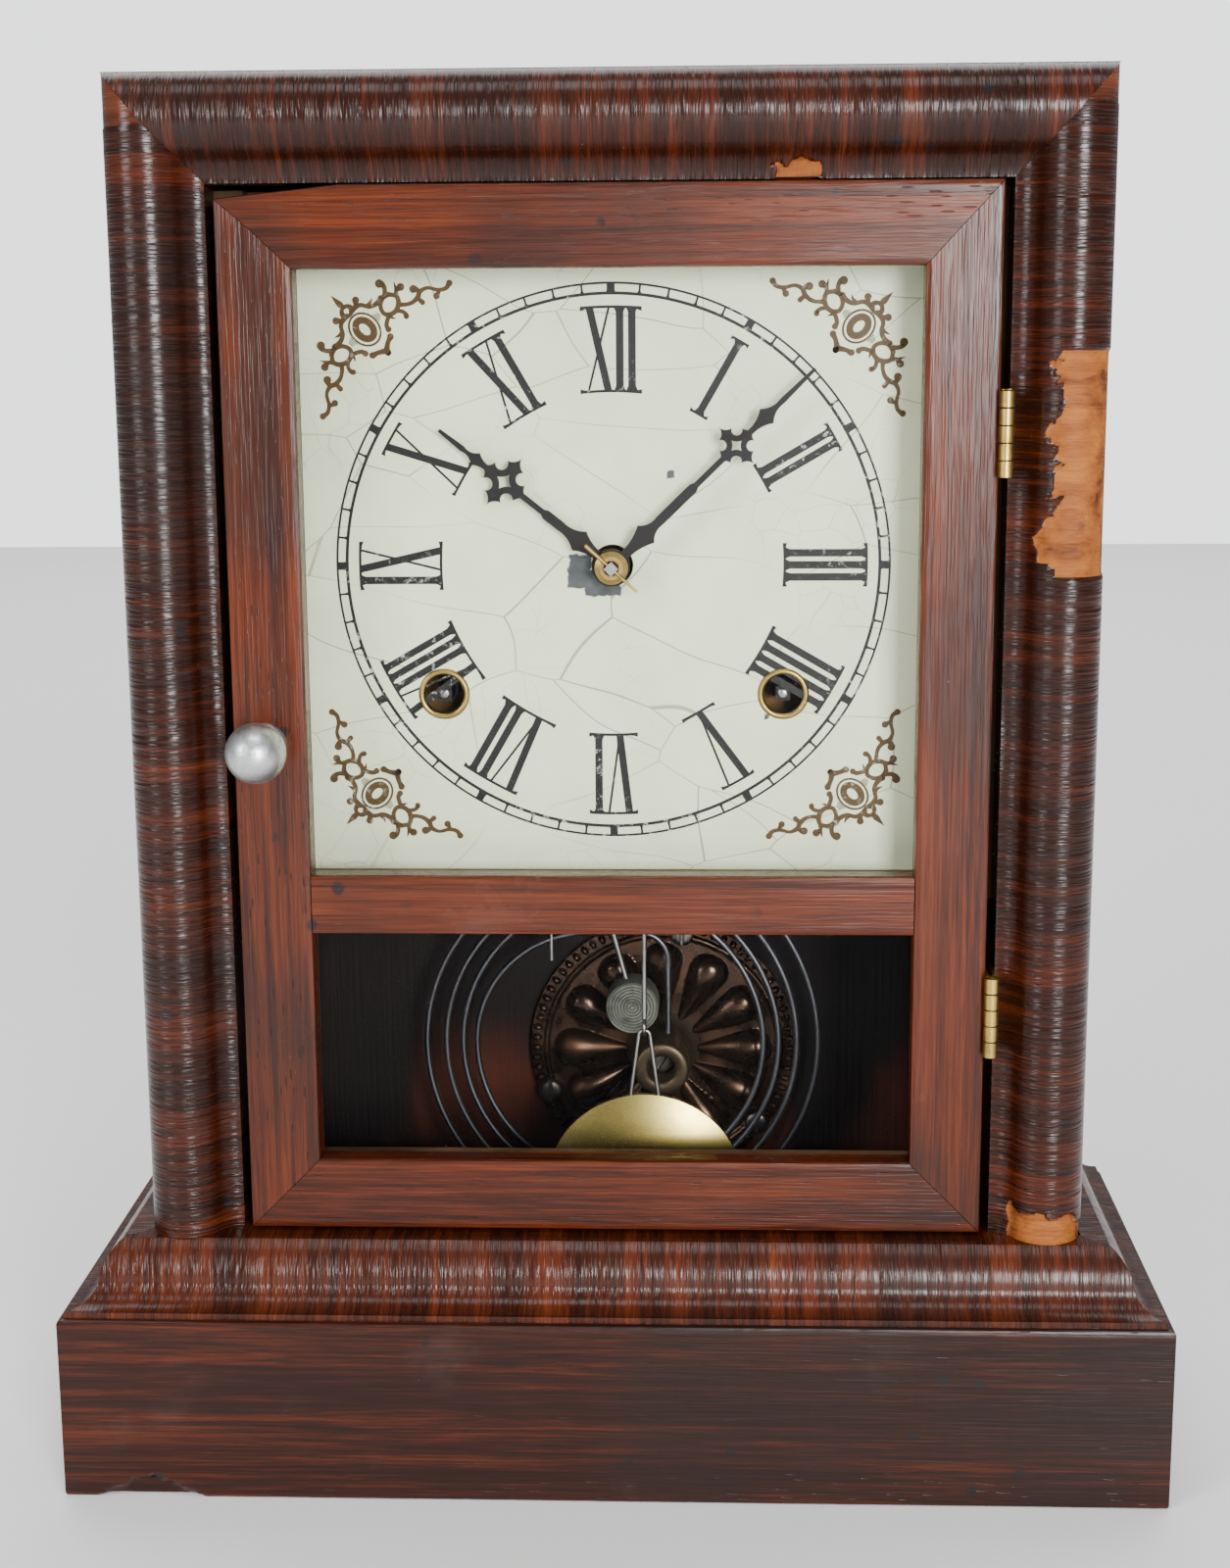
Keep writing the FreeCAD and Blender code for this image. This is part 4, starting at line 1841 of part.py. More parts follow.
def build():
    """Makes every piece."""
    plinth()
    base_mouldings()
    columns()
    case_boards()
    dial_cleats()
    door_frame()
    panes()
    hinges()
    knob()
    dial()
    plates()
    suspension()
    time_train()
    main_wheels()
    strike_train()
    mainsprings()
    motion_work()
    hand_arbor()
    hands()
    verge()
    pendulum()
    gong()
    hammer()
    strike_lever()
    doc.recompute()


def check():
    """Stops if an object failed or a piece has no valid solid."""
    for thing in doc.Objects:
        if "Invalid" in thing.State or "Error" in thing.State:
            raise RuntimeError(f"{thing.Label} has failed: {thing.State}")
    for label, thing in PIECES.items():
        shape = thing.Shape
        if shape.isNull() or not shape.isValid() or not shape.Solids:
            raise RuntimeError(f"{label} has no valid shape")
        if min(solid.Volume for solid in shape.Solids) <= 0:
            raise RuntimeError(f"{label} has an empty solid")


def write():
    """Writes one file for each piece."""
    os.makedirs("parts", exist_ok=True)
    for label, thing in PIECES.items():
        thing.Shape.exportStep(f"parts/{label}.step")
    print(f"{len(PIECES)} pieces")


build()
check()
write()
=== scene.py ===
import json
import math

import bmesh
import bpy
import numpy as np
from mathutils import Matrix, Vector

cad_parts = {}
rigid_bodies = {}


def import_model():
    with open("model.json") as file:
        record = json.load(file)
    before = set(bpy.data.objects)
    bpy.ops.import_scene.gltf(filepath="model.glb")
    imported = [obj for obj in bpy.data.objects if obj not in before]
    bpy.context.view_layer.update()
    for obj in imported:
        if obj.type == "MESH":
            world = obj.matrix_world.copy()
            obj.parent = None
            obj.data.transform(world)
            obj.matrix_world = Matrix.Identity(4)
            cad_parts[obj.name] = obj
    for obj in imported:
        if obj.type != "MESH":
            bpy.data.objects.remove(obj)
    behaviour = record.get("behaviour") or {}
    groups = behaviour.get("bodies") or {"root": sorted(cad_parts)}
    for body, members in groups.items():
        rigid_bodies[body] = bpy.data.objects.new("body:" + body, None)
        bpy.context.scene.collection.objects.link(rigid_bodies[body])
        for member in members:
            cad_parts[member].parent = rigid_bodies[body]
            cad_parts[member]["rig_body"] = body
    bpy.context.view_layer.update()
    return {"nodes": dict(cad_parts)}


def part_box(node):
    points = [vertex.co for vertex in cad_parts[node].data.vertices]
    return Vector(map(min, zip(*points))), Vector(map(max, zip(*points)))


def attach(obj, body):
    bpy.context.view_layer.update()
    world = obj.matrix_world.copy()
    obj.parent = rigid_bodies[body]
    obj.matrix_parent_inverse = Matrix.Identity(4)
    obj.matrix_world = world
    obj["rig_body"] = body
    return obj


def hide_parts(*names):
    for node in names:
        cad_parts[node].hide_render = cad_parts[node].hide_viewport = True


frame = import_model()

bl_info = {
    "name": "Cottage shelf clock",
    "version": (1, 0, 0),
    "blender": (4, 5, 0),
    "location": "View3D > Sidebar > Clock",
    "description": "Veneered case, painted dial and open pendulum room of an old shelf clock",
    "category": "Object",
}

MM = 0.001
TINY = 1e-12


# Numbers

def soft_step(low, high, amount):
    """0 below low, 1 above high, and a smooth cubic between them."""
    share = np.clip((amount - low) / (high - low), 0.0, 1.0)
    return share * share * (3 - 2 * share)


def unevenness(points, size, seed):
    """Smooth bumps from -1 to 1: the mean of sines in seeded directions, each a few sizes long."""
    rng = np.random.default_rng(seed)
    total = np.zeros(len(points))
    waves = 14
    for _ in range(waves):
        way = rng.normal(size=3)
        way *= rng.uniform(0.6, 1.7) * 2 * math.pi / size / np.linalg.norm(way)
        total += np.sin(points @ way + rng.uniform(0, 2 * math.pi))
    return total / math.sqrt(waves)


# Shader maths

class Feed:
    """The output of a shader node, with arithmetic that adds Math nodes."""

    def __init__(self, recipe, socket):
        self.recipe = recipe
        self.socket = socket

    def maths(self, operation, *values):
        """A Math node on feeds or numbers, in their order."""
        return self.recipe.node("ShaderNodeMath", {"operation": operation}, dict(enumerate(values)))

    def __add__(self, other):
        return self.maths("ADD", self, other)

    __radd__ = __add__

    def __mul__(self, other):
        return self.maths("MULTIPLY", self, other)

    __rmul__ = __mul__

    def __sub__(self, other):
        return self.maths("SUBTRACT", self, other)

    def __rsub__(self, other):
        return self.maths("SUBTRACT", other, self)

    def __truediv__(self, other):
        return self.maths("DIVIDE", self, other)

    def __rtruediv__(self, other):
        return self.maths("DIVIDE", other, self)

    def power(self, other):
        return self.maths("POWER", self, other)

    def largest(self, other):
        return self.maths("MAXIMUM", self, other)

    def size(self):
        return self.maths("ABSOLUTE", self)

    def fraction(self):
        return self.maths("FRACT", self)

    def between(self, low, high):
        """0 below low and 1 above high, smooth between them; low may be above high."""
        settings = {"interpolation_type": "SMOOTHSTEP"}
        return self.recipe.node(
            "ShaderNodeMapRange", settings, {"Value": self, "From Min": low, "From Max": high}
        )


class Recipe:
    """The node tree of one new material or world, while its nodes are added."""

    def __init__(self, owner, output="ShaderNodeOutputMaterial"):
        self.owner = owner
        owner.use_nodes = True
        self.tree = owner.node_tree
        self.tree.nodes.clear()
        self.output = self.tree.nodes.new(output)
        self.spot = self.node("ShaderNodeTexCoord", out="Object")

    def node(self, kind, settings=None, values=None, out=0):
        """Adds a node: its settings first, then its sockets' values or links."""
        made = self.tree.nodes.new(kind)
        for key, setting in (settings or {}).items():
            if key == "stops":
                ramp = made.color_ramp
                while len(ramp.elements) < len(setting):
                    ramp.elements.new(0.5)
                for element, (place, colour) in zip(ramp.elements, setting):
                    element.position = place
                    element.color = (*colour, 1.0)
            else:
                setattr(made, key, setting)
        for key, given in (values or {}).items():
            socket = made.inputs[key]
            if isinstance(given, Feed):
                self.tree.links.new(given.socket, socket)
            else:
                socket.default_value = given
        return Feed(self, made.outputs[out])

    def spread(self, scale, offset=(0.0, 0.0, 0.0)):
        """Object coordinates with each axis times its own number, so a pattern is drawn out."""
        return self.node("ShaderNodeMapping", None, {"Vector": self.spot, "Scale": scale, "Location": offset})

    def cloud(self, vector, scale, detail=4.0, roughness=0.55, distortion=0.0):
        """Fractal noise from 0 to 1."""
        values = {"Vector": vector, "Scale": scale, "Detail": detail, "Roughness": roughness}
        values["Distortion"] = distortion
        return self.node("ShaderNodeTexNoise", None, values, out="Fac")

    def cells(self, vector, scale, feature="F1"):
        """Distance to seeded points, or to the edges between their cells."""
        values = {"Vector": vector, "Scale": scale}
        return self.node("ShaderNodeTexVoronoi", {"feature": feature}, values, out="Distance")

    def pushed(self, vector, scale, amount):
        """A vector moved about by noise, so that what reads it wanders."""
        values = {"Vector": vector, "Scale": scale, "Detail": 2.0}
        noise = self.node("ShaderNodeTexNoise", None, values, out="Color")
        centred = self.node("ShaderNodeVectorMath", {"operation": "SUBTRACT"}, {0: noise, 1: (0.5, 0.5, 0.5)})
        scaled = self.node("ShaderNodeVectorMath", {"operation": "SCALE"}, {0: centred, "Scale": amount})
        return self.node("ShaderNodeVectorMath", {"operation": "ADD"}, {0: vector, 1: scaled})

    def tint(self, mask, low, high):
        """A colour that goes from low to high as the mask goes from 0 to 1."""
        values = {0: mask, 6: opaque(low), 7: opaque(high)}
        return self.node("ShaderNodeMix", {"data_type": "RGBA"}, values, out=2)

    def shades(self, mask, stops):
        """A colour from a ramp of stops."""
        return self.node("ShaderNodeValToRGB", {"stops": stops}, {"Fac": mask}, out="Color")

    def axis(self, vector, name):
        """One coordinate of a vector."""
        return self.node("ShaderNodeSeparateXYZ", None, {"Vector": vector}, out=name)

    def kept(self, name):
        """A number kept on the mesh's points."""
        return self.node("ShaderNodeAttribute", {"attribute_name": name}, out="Fac")

    def relief(self, height, depth, strength):
        """A normal bent by a height map whose full range is depth metres."""
        values = {"Height": height, "Distance": depth, "Strength": strength}
        return self.node("ShaderNodeBump", None, values)

    def close(self, shader):
        """Joins a shader to the output and returns the material or world."""
        self.tree.links.new(shader.socket, self.output.inputs["Surface"])
        return self.owner

    def finish(self, colour, roughness, normal=None, **sockets):
        """Joins everything to one Principled shader and returns the material."""
        values = {"Base Color": opaque(colour), "Roughness": roughness}
        if normal is not None:
            values["Normal"] = normal
        values.update({key.replace("_", " "): given for key, given in sockets.items()})
        return self.close(self.node("ShaderNodeBsdfPrincipled", None, values))


def opaque(colour):
    """A colour as a socket takes it: a feed as it is, three numbers with their alpha."""
    return colour if isinstance(colour, Feed) else (*colour, 1.0)


# Finishes

def rosewood(name, drawn, tone=0.5, gloss=0.5, ripple=0.3, lost=False, seed=0.0):
    """Rosewood veneer: dark streaks drawn out along the grain, pores, and a rippled old varnish.

    drawn holds, for each axis, how fast the pattern changes: low along the grain, 1 across it.
    """
    r = Recipe(bpy.data.materials.new(name))
    grain = r.pushed(r.spread(drawn, (seed, seed * 1.7, seed * 0.6)), 28.0, 0.012)
    broad = r.cloud(grain, 95.0, 3.0, 0.6, 0.4)
    fine = r.cloud(grain, 520.0, 5.0, 0.7, 0.3)
    hair = r.cloud(grain, 2300.0, 3.0, 0.65)
    streak = broad * 0.31 + fine * 0.42 + hair * 0.27
    dark = (0.0042, 0.0020, 0.0015)
    deep = (0.020, 0.0050, 0.0024)
    middle = (0.066, 0.0122, 0.0039)
    light = (0.150, 0.0300, 0.0075)
    shift = (0.5 - tone) * 0.22
    wood = r.shades(
        streak,
        [(0.41 + shift, dark), (0.47 + shift, deep), (0.53 + shift, middle), (0.63 + shift, light)],
    )
    ground = tuple(c * (0.25 + tone) for c in middle)
    wood = r.tint(0.32, wood, ground)
    pores = r.cells(r.spread(tuple(0.10 + 0.9 * d for d in drawn)), 900.0)
    pore = pores.between(0.22, 0.10) * r.cloud(grain, 90.0).between(0.46, 0.62)
    wood = r.tint(pore * 0.75, wood, (0.012, 0.007, 0.006))
    patches = r.cloud(r.spot, 11.0, 3.0)
    grime = patches.between(0.50, 0.68)
    wood = r.tint(grime * 0.55, wood, (0.012, 0.007, 0.006))
    bloom = r.cloud(r.spread((1.0, 1.0, 1.0), (3.1, 0.0, 0.0)), 16.0, 5.0, 0.65).between(0.60, 0.78)
    wood = r.tint(bloom * 0.05, wood, (0.30, 0.24, 0.22))
    spots = r.cells(r.pushed(r.spot, 300.0, 0.002), 80.0).between(0.17, 0.10)
    spots = spots * r.cloud(r.spot, 17.0).between(0.54, 0.60)
    wood = r.tint(spots * 0.85, wood, (0.010, 0.008, 0.009))
    specks = r.cells(r.spot, 260.0).between(0.055, 0.02) * r.cloud(r.spot, 38.0).between(0.58, 0.66)
    wood = r.tint(specks * 0.6, wood, (0.42, 0.33, 0.26))
    across = r.cloud(r.spread(drawn, (0.0, 5.0, 0.0)), 210.0, 2.0, 0.4)
    cracks = across.between(0.60, 0.72) * r.cloud(r.spot, 24.0, 2.0).between(0.42, 0.60)
    ticks = r.cloud(grain, 1500.0, 2.0, 0.5).between(0.42, 0.62)
    height = (across * 0.45 + ticks * 0.28 - cracks * 0.8) * ripple - pore * 0.25 + fine * 0.12
    rough = 0.10 + 0.22 * (1 - gloss) + patches * 0.14 + pore * 0.2 + bloom * 0.10
    if lost:
        bare = r.kept("lost").between(0.35, 0.55)
        raw = r.cloud(r.pushed(r.spread((0.10, 1.0, 0.9)), 40.0, 0.02), 130.0, 5.0, 0.7)
        pine = r.shades(
            raw, [(0.34, (0.060, 0.014, 0.003)), (0.48, (0.23, 0.062, 0.009)), (0.70, (0.38, 0.130, 0.021))],
        )
        old_glue = r.cloud(r.spot, 120.0, 4.0, 0.7).between(0.60, 0.70)
        pine = r.tint(old_glue * 0.65, pine, (0.09, 0.035, 0.018))
        cap = r.kept("corner").between(0.4, 0.6)
        pale = r.shades(broad, [(0.38, (0.030, 0.008, 0.004)), (0.62, (0.17, 0.040, 0.013))])
        wood = r.tint(cap * 0.75, wood, pale)
        wood = r.tint(bare, wood, pine)
        rough = rough * (1 - bare) + bare * 0.62
    normal = r.relief(height, 0.0006, 0.9)
    return r.finish(wood, rough, normal, Specular_IOR_Level=0.27)


def raw_pine(name, drawn, dark=0.0, seed=0.0, red_below=None):
    """Unfinished pine: rings drawn out along the grain, browned and dusty, redder below a height; its dark
    share is painted shade, near black, only on the faces inside the case when red_below is given, and it also
    deepens the stains.
    """
    r = Recipe(bpy.data.materials.new(name))
    grain = r.pushed(r.spread(drawn, (seed, 0.0, seed)), 22.0, 0.02)
    rings = r.cloud(grain, 90.0, 3.0, 0.55, 0.6)
    fibre = r.cloud(grain, 900.0, 3.0, 0.6)
    wood = r.shades(
        rings * 0.8 + fibre * 0.2,
        [(0.30, (0.12, 0.055, 0.022)), (0.48, (0.33, 0.175, 0.075)), (0.70, (0.47, 0.29, 0.14))],
    )
    stain = r.cloud(r.spot, 14.0, 5.0, 0.6).between(0.42, 0.66)
    wood = r.tint(stain * (0.35 + 0.5 * dark), wood, (0.055, 0.025, 0.012))
    # Painted shade: the dark share tints the pine near black, all over or, with red_below, only on faces in
    # front of y = 50 mm, inside the case.
    inside = dark
    if red_below is not None:
        inside = r.axis(r.spot, "Y").between(0.0530, 0.0500) * dark
    wood = r.tint(inside, wood, (0.007, 0.004, 0.0035))
    if red_below is not None:
        low = r.axis(r.spot, "Z").between(red_below + 0.012, red_below - 0.012)
        patch = r.cloud(r.spread((1.0, 1.0, 0.35)), 26.0, 3.0).between(0.42, 0.56) * low * inside
        wood = r.tint(patch * 0.6, wood, (0.11, 0.022, 0.009))
    height = fibre * 0.5 + rings * 0.5
    return r.finish(wood, 0.68 - stain * 0.12, r.relief(height, 0.0003, 0.5), Specular_IOR_Level=0.15)


def dial_paint(name, hands_height):
    """Cream paint on zinc: fine curved crazing, dust, and chips down to the dark metal."""
    r = Recipe(bpy.data.materials.new(name))
    flat = r.spread((1.0, 0.0, 1.0))
    wander = r.pushed(flat, 9.0, 0.035)
    stretched = r.node("ShaderNodeMapping", None, {"Vector": wander, "Scale": (0.55, 1.0, 1.0)})
    wide = r.cells(stretched, 46.0, "DISTANCE_TO_EDGE")
    close = r.cells(r.pushed(flat, 30.0, 0.012), 105.0, "DISTANCE_TO_EDGE")
    shown = r.cloud(flat, 16.0, 2.0).between(0.36, 0.52)
    near = r.cloud(flat, 23.0, 2.0).between(0.50, 0.64)
    crack = (wide.between(0.0062, 0.0015) * shown).largest(close.between(0.015, 0.004) * near * 0.45)
    mottle = r.cloud(flat, 70.0, 4.0)
    paint = r.shades(mottle, [(0.35, (0.73, 0.80, 0.52)), (0.65, (0.79, 0.855, 0.60))])
    age = r.cloud(flat, 12.0, 3.0).between(0.45, 0.75)
    paint = r.tint(age * 0.35, paint, (0.58, 0.61, 0.45))
    paint = r.tint(crack * 0.72, paint, (0.20, 0.19, 0.13))
    dust = r.cells(flat, 420.0).between(0.05, 0.02) * r.cloud(flat, 60.0).between(0.60, 0.70)
    paint = r.tint(dust * 0.7, paint, (0.10, 0.09, 0.07))
    x = r.axis(r.spot, "X")
    z = r.axis(r.spot, "Z") - hands_height
    jag = r.cloud(flat, 520.0, 2.0, 0.4) - 0.5
    chip = jag * 0
    for cx, cz, half_x, half_z in CHIPS:
        off_x = (x - cx * MM).size() - half_x * MM
        off_z = (z - cz * MM).size() - half_z * MM
        chip = chip.largest((off_x.largest(off_z) + jag * 0.0016).between(0.0002, -0.0002))
    metal = r.cloud(flat, 300.0, 3.0)
    bare = r.shades(metal, [(0.35, (0.030, 0.036, 0.038)), (0.7, (0.075, 0.085, 0.085))])
    paint = r.tint(chip, paint, bare)
    height = 0.6 - crack * 0.35 - chip * 0.6 + mottle * 0.05
    rough = 0.36 + chip * 0.2 + mottle * 0.08
    return r.finish(paint, rough, r.relief(height, 0.00022, 0.6), Specular_IOR_Level=0.4)


# Chips in the dial's paint: across and up from the hands' axis, half sizes, in millimetres
CHIPS = (
    (-6.6, -3.4, 4.8, 2.4),
    (-8.2, -1.5, 2.8, 4.2),
    (-2.5, -6.2, 4.6, 1.6),
    (14.9, 22.9, 0.9, 0.9),
    (39.4, -39.0, 0.5, 0.5),
)


def dial_ink(name, colour, wear):
    """Printed paint on the dial, rubbed thin in streaks."""
    r = Recipe(bpy.data.materials.new(name))
    flat = r.spread((1.0, 0.0, 1.0))
    rubbed = r.cloud(r.pushed(flat, 60.0, 0.006), 480.0, 4.0, 0.75).between(0.56, 0.67)
    where = r.cloud(flat, 21.0, 2.0).between(0.46, 0.60)
    cream = (0.60, 0.62, 0.52)
    worn = rubbed * where * wear
    shade = r.cloud(flat, 200.0)
    ink = r.tint(shade, tuple(c * 0.75 for c in colour), tuple(c * 1.25 for c in colour))
    return r.finish(r.tint(worn, ink, cream), 0.42, r.relief(shade, 0.00005, 0.4), Specular_IOR_Level=0.22)


def old_metal(name, colour, tarnish, amount=0.5, gloss=0.3, metallic=1.0, scale=90.0, shine=0.5):
    """Metal with tarnish in clouds, fine scratches and a little dirt."""
    r = Recipe(bpy.data.materials.new(name))
    cloud = r.cloud(r.spot, scale, 5.0, 0.6)
    dirty = cloud.between(0.42, 0.70) * amount
    scratch = r.cloud(r.spread((1.0, 1.0, 0.06)), 2600.0, 2.0, 0.5)
    tone = r.tint(dirty, colour, tarnish)
    tone = r.tint(scratch.between(0.55, 0.75) * 0.15, tone, tuple(min(1.0, c * 1.5) for c in colour))
    rough = gloss + dirty * 0.35 + scratch * 0.06
    normal = r.relief(scratch * 0.3 + cloud * 0.5, 0.00008, 0.5)
    return r.finish(tone, rough, normal, Metallic=metallic, Specular_IOR_Level=shine)


# Heights at which the hinges' knuckles part, in millimetres
KNUCKLE_START = 1.955
KNUCKLE_STEP = 4.154


def knuckled_brass(name):
    """Hinge brass: painted shade in a groove round the barrel between each two knuckles, which the bump also
    presses in.
    """
    r = Recipe(bpy.data.materials.new(name))
    level = (r.axis(r.spot, "Z") - KNUCKLE_START * MM) / (KNUCKLE_STEP * MM)
    groove = (level.fraction() - 0.5).size().between(0.455, 0.49)
    cloud = r.cloud(r.spot, 160.0, 5.0, 0.6)
    tone = r.tint(cloud.between(0.40, 0.70) * 0.7, (0.52, 0.36, 0.10), (0.20, 0.115, 0.035))
    # Painted shade in the gaps between the knuckles.
    tone = r.tint(groove, tone, (0.03, 0.018, 0.008))
    return r.finish(tone, 0.30 + cloud * 0.15, r.relief(1 - groove + cloud * 0.2, 0.0002, 0.8), Metallic=1.0)


def spun_brass(name, centre, colour, tarnish):
    """Brass spun on a lathe: fine rings about its centre, with tarnish and wiped streaks."""
    r = Recipe(bpy.data.materials.new(name))
    x = r.axis(r.spot, "X") - centre[0]
    z = r.axis(r.spot, "Z") - centre[2]
    away = (x * x + z * z).power(0.5)
    ring = r.node("ShaderNodeCombineXYZ", None, {"X": away})
    lines = r.cloud(ring, 5200.0, 2.0, 0.5)
    cloud = r.cloud(r.spot, 60.0, 5.0, 0.62)
    spots = r.cells(r.spot, 330.0).between(0.10, 0.03) * cloud.between(0.50, 0.60)
    tone = r.tint(cloud.between(0.40, 0.72) * 0.6, colour, tarnish)
    tone = r.tint(spots * 0.6, tone, (0.10, 0.06, 0.02))
    rough = 0.16 + lines * 0.08 + cloud * 0.12
    return r.finish(tone, rough, r.relief(lines * 0.5 + cloud * 0.5, 0.00003, 0.5), Metallic=1.0)


def window_glass(name, scale, dust):
    """Old drawn glass: clear, faintly green, slightly wavy, with dust at its edges."""
    r = Recipe(bpy.data.materials.new(name))
    wave = r.cloud(r.spread((1.0, 1.0, 0.35)), scale, 2.0, 0.4)
    specks = r.cells(r.spot, 260.0).between(0.045, 0.015) * r.cloud(r.spot, 30.0).between(0.56, 0.66)
    haze = r.cloud(r.spot, 9.0, 4.0, 0.6).between(0.50, 0.80)
    film = r.tint(specks, (0.010, 0.012, 0.014), (0.62, 0.62, 0.58))
    alpha = 0.030 + specks * 0.6 + haze * dust
    return r.finish(film, 0.04, r.relief(wave, 0.0004, 0.25), Alpha=alpha, IOR=1.5, Specular_IOR_Level=0.5)


# Surfaces

def grid_faces(rows, columns, close_columns=False):
    """Quads between the points of a grid, row by row, its columns closed round where asked."""
    row = np.arange(rows - 1)[:, None]
    column = np.arange(columns if close_columns else columns - 1)[None, :]
    after = (column + 1) % columns
    corners = (
        row * columns + column, row * columns + after,
        (row + 1) * columns + after, (row + 1) * columns + column,
    )
    return np.stack(corners, -1).reshape(-1, 4)


def end_faces(rows, around):
    """The first and the last row of a grid with closed columns, as two faces."""
    first = np.arange(around)
    return [first.tolist(), (first + (rows - 1) * around).tolist()]


def in_space(*axes):
    """Points from their three coordinates, whose arrays are widened to match each other."""
    return np.stack(np.broadcast_arrays(*axes), -1)


def make_piece(name, surface, finish, body, replaces=(), crease=35.0, numbers=None):
    """A mesh object from points in millimetres, quads and end faces, riding on its body.

    Its doubles are merged and its faces turned outwards; numbers are kept on its points by name.
    """
    points, faces, *ends = surface
    mesh = bpy.data.meshes.new(name)
    mesh.from_pydata((points * MM).tolist(), [], faces.tolist() + [face for end in ends for face in end])
    for key, amounts in (numbers or {}).items():
        attribute = mesh.attributes.new(key, "FLOAT", "POINT")
        attribute.data.foreach_set("value", np.asarray(amounts, np.float32))
    work = bmesh.new()
    work.from_mesh(mesh)
    bmesh.ops.remove_doubles(work, verts=work.verts, dist=1e-6)
    bmesh.ops.recalc_face_normals(work, faces=work.faces)
    work.to_mesh(mesh)
    work.free()
    mesh.shade_smooth()
    mesh.set_sharp_from_angle(angle=math.radians(crease))
    mesh.materials.append(finish)
    thing = bpy.data.objects.new(name, mesh)
    bpy.context.scene.collection.objects.link(thing)
    if replaces:
        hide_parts(*replaces)
    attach(thing, body)


def veneered(name, surface, finish, node, body="case", numbers=None):
    """A rosewood piece in the place of one construction node."""
    make_piece(name, surface, finish, body, (node,), 30.0, numbers)


def arc_points(start, way, end, count):
    """Points on the circle through three points, from start to end."""
    (ax, ay), (bx, by), (cx, cy) = start, way, end
    d = 2 * (ax * (by - cy) + bx * (cy - ay) + cx * (ay - by))
    a2, b2, c2 = ax * ax + ay * ay, bx * bx + by * by, cx * cx + cy * cy
    mx = (a2 * (by - cy) + b2 * (cy - ay) + c2 * (ay - by)) / d
    my = (a2 * (cx - bx) + b2 * (ax - cx) + c2 * (bx - ax)) / d
    first = math.atan2(ay - my, ax - mx)
    turn = (math.atan2(cy - my, cx - mx) - first) % (2 * math.pi)
    through = (math.atan2(by - my, bx - mx) - first) % (2 * math.pi)
    if through > turn:
        turn -= 2 * math.pi
    angles = first + np.linspace(0, turn, count)
    radius = math.hypot(ax - mx, ay - my)
    return np.stack([mx + radius * np.cos(angles), my + radius * np.sin(angles)], -1)


def outline_points(outline, step):
    """A closed section of lines and arcs as points about one step apart."""
    out = []
    here = outline[0]
    for piece in list(outline[1:]) + [outline[0]]:
        start = np.array(here[-2:], float)
        end = np.array(piece[-2:], float)
        run = np.linalg.norm(end - start)
        if run < TINY:
            break
        count = max(2, int(math.ceil(run / step)) + 1)
        if len(piece) == 4:
            line = arc_points(start, piece[:2], end, count)
        else:
            line = start + (end - start) * np.linspace(0, 1, count)[:, None]
        out.append(line[:-1])
        here = piece
    return np.concatenate(out)


def carried(section, place, count):
    """A closed section carried along a straight path in count stations.

    place gives the points in space for the section's two coordinates at stations from 0 to 1.
    """
    rows = place(section[:, 0], section[:, 1], np.linspace(0, 1, count)[:, None])
    around = len(section)
    return rows.reshape(-1, 3), grid_faces(count, around, close_columns=True), end_faces(count, around)


def spun(profile, centre, sides=64):
    """A profile of (radius, y) points spun once about an axis along Y through centre."""
    radius, along = np.asarray(profile, float).T[:, :, None]
    angles = np.linspace(0, 2 * math.pi, sides, endpoint=False)
    points = in_space(radius * np.sin(angles), along, radius * np.cos(angles))
    return points.reshape(-1, 3) + centre, grid_faces(len(profile), sides, close_columns=True)


def rounded_box(low, high, radius, step):
    """A box whose points move to the nearest point of the box shrunk by the radius, then out by it.

    Gives the points, the quads and the way out at each point.
    """
    low = np.asarray(low, float)
    high = np.asarray(high, float)
    marks = []
    for axis in range(3):
        edge = radius * (1 - np.cos(np.linspace(0, math.pi / 2, 5)))
        inner = high[axis] - low[axis] - 2 * radius
        count = max(2, int(inner / step))
        middle = low[axis] + radius + inner * np.linspace(0, 1, count + 1)[1:-1]
        marks.append(np.concatenate([low[axis] + edge, middle, high[axis] - edge[::-1]]))
    points = []
    faces = []
    start = 0
    for axis in range(3):
        b, c = [k for k in range(3) if k != axis]
        for end in (low[axis], high[axis]):
            first, second = np.meshgrid(marks[b], marks[c], indexing="ij")
            sheet = np.zeros(first.shape + (3,))
            sheet[..., axis] = end
            sheet[..., b] = first
            sheet[..., c] = second
            points.append(sheet.reshape(-1, 3))
            faces.append(grid_faces(*first.shape) + start)
            start += first.size
    points = np.concatenate(points)
    core = np.clip(points, low + radius, high - radius)
    away = points - core
    away /= np.maximum(np.linalg.norm(away, axis=1, keepdims=True), TINY)
    return core + away * radius, np.concatenate(faces), away


def flat_strokes(strokes, front, back):
    """Thin prisms on the dial: each stroke is a list of (x, z) points of a convex or strip outline."""
    points = []
    faces = []
    caps = []
    start = 0
    for number, stroke in enumerate(strokes):
        stroke = np.asarray(stroke, float)
        count = len(stroke)
        for depth in (front + 0.002 * (number % 9), back):
            points.append(np.stack([stroke[:, 0], np.full(count, depth), stroke[:, 1]], -1))
        near = np.arange(count) + start
        after = np.roll(near, -1)
        faces.append(np.stack([near, after, after + count, near + count], -1))
        caps += [near.tolist(), (near + count).tolist()]
        start += count * 2
    return np.concatenate(points), np.concatenate(faces), caps


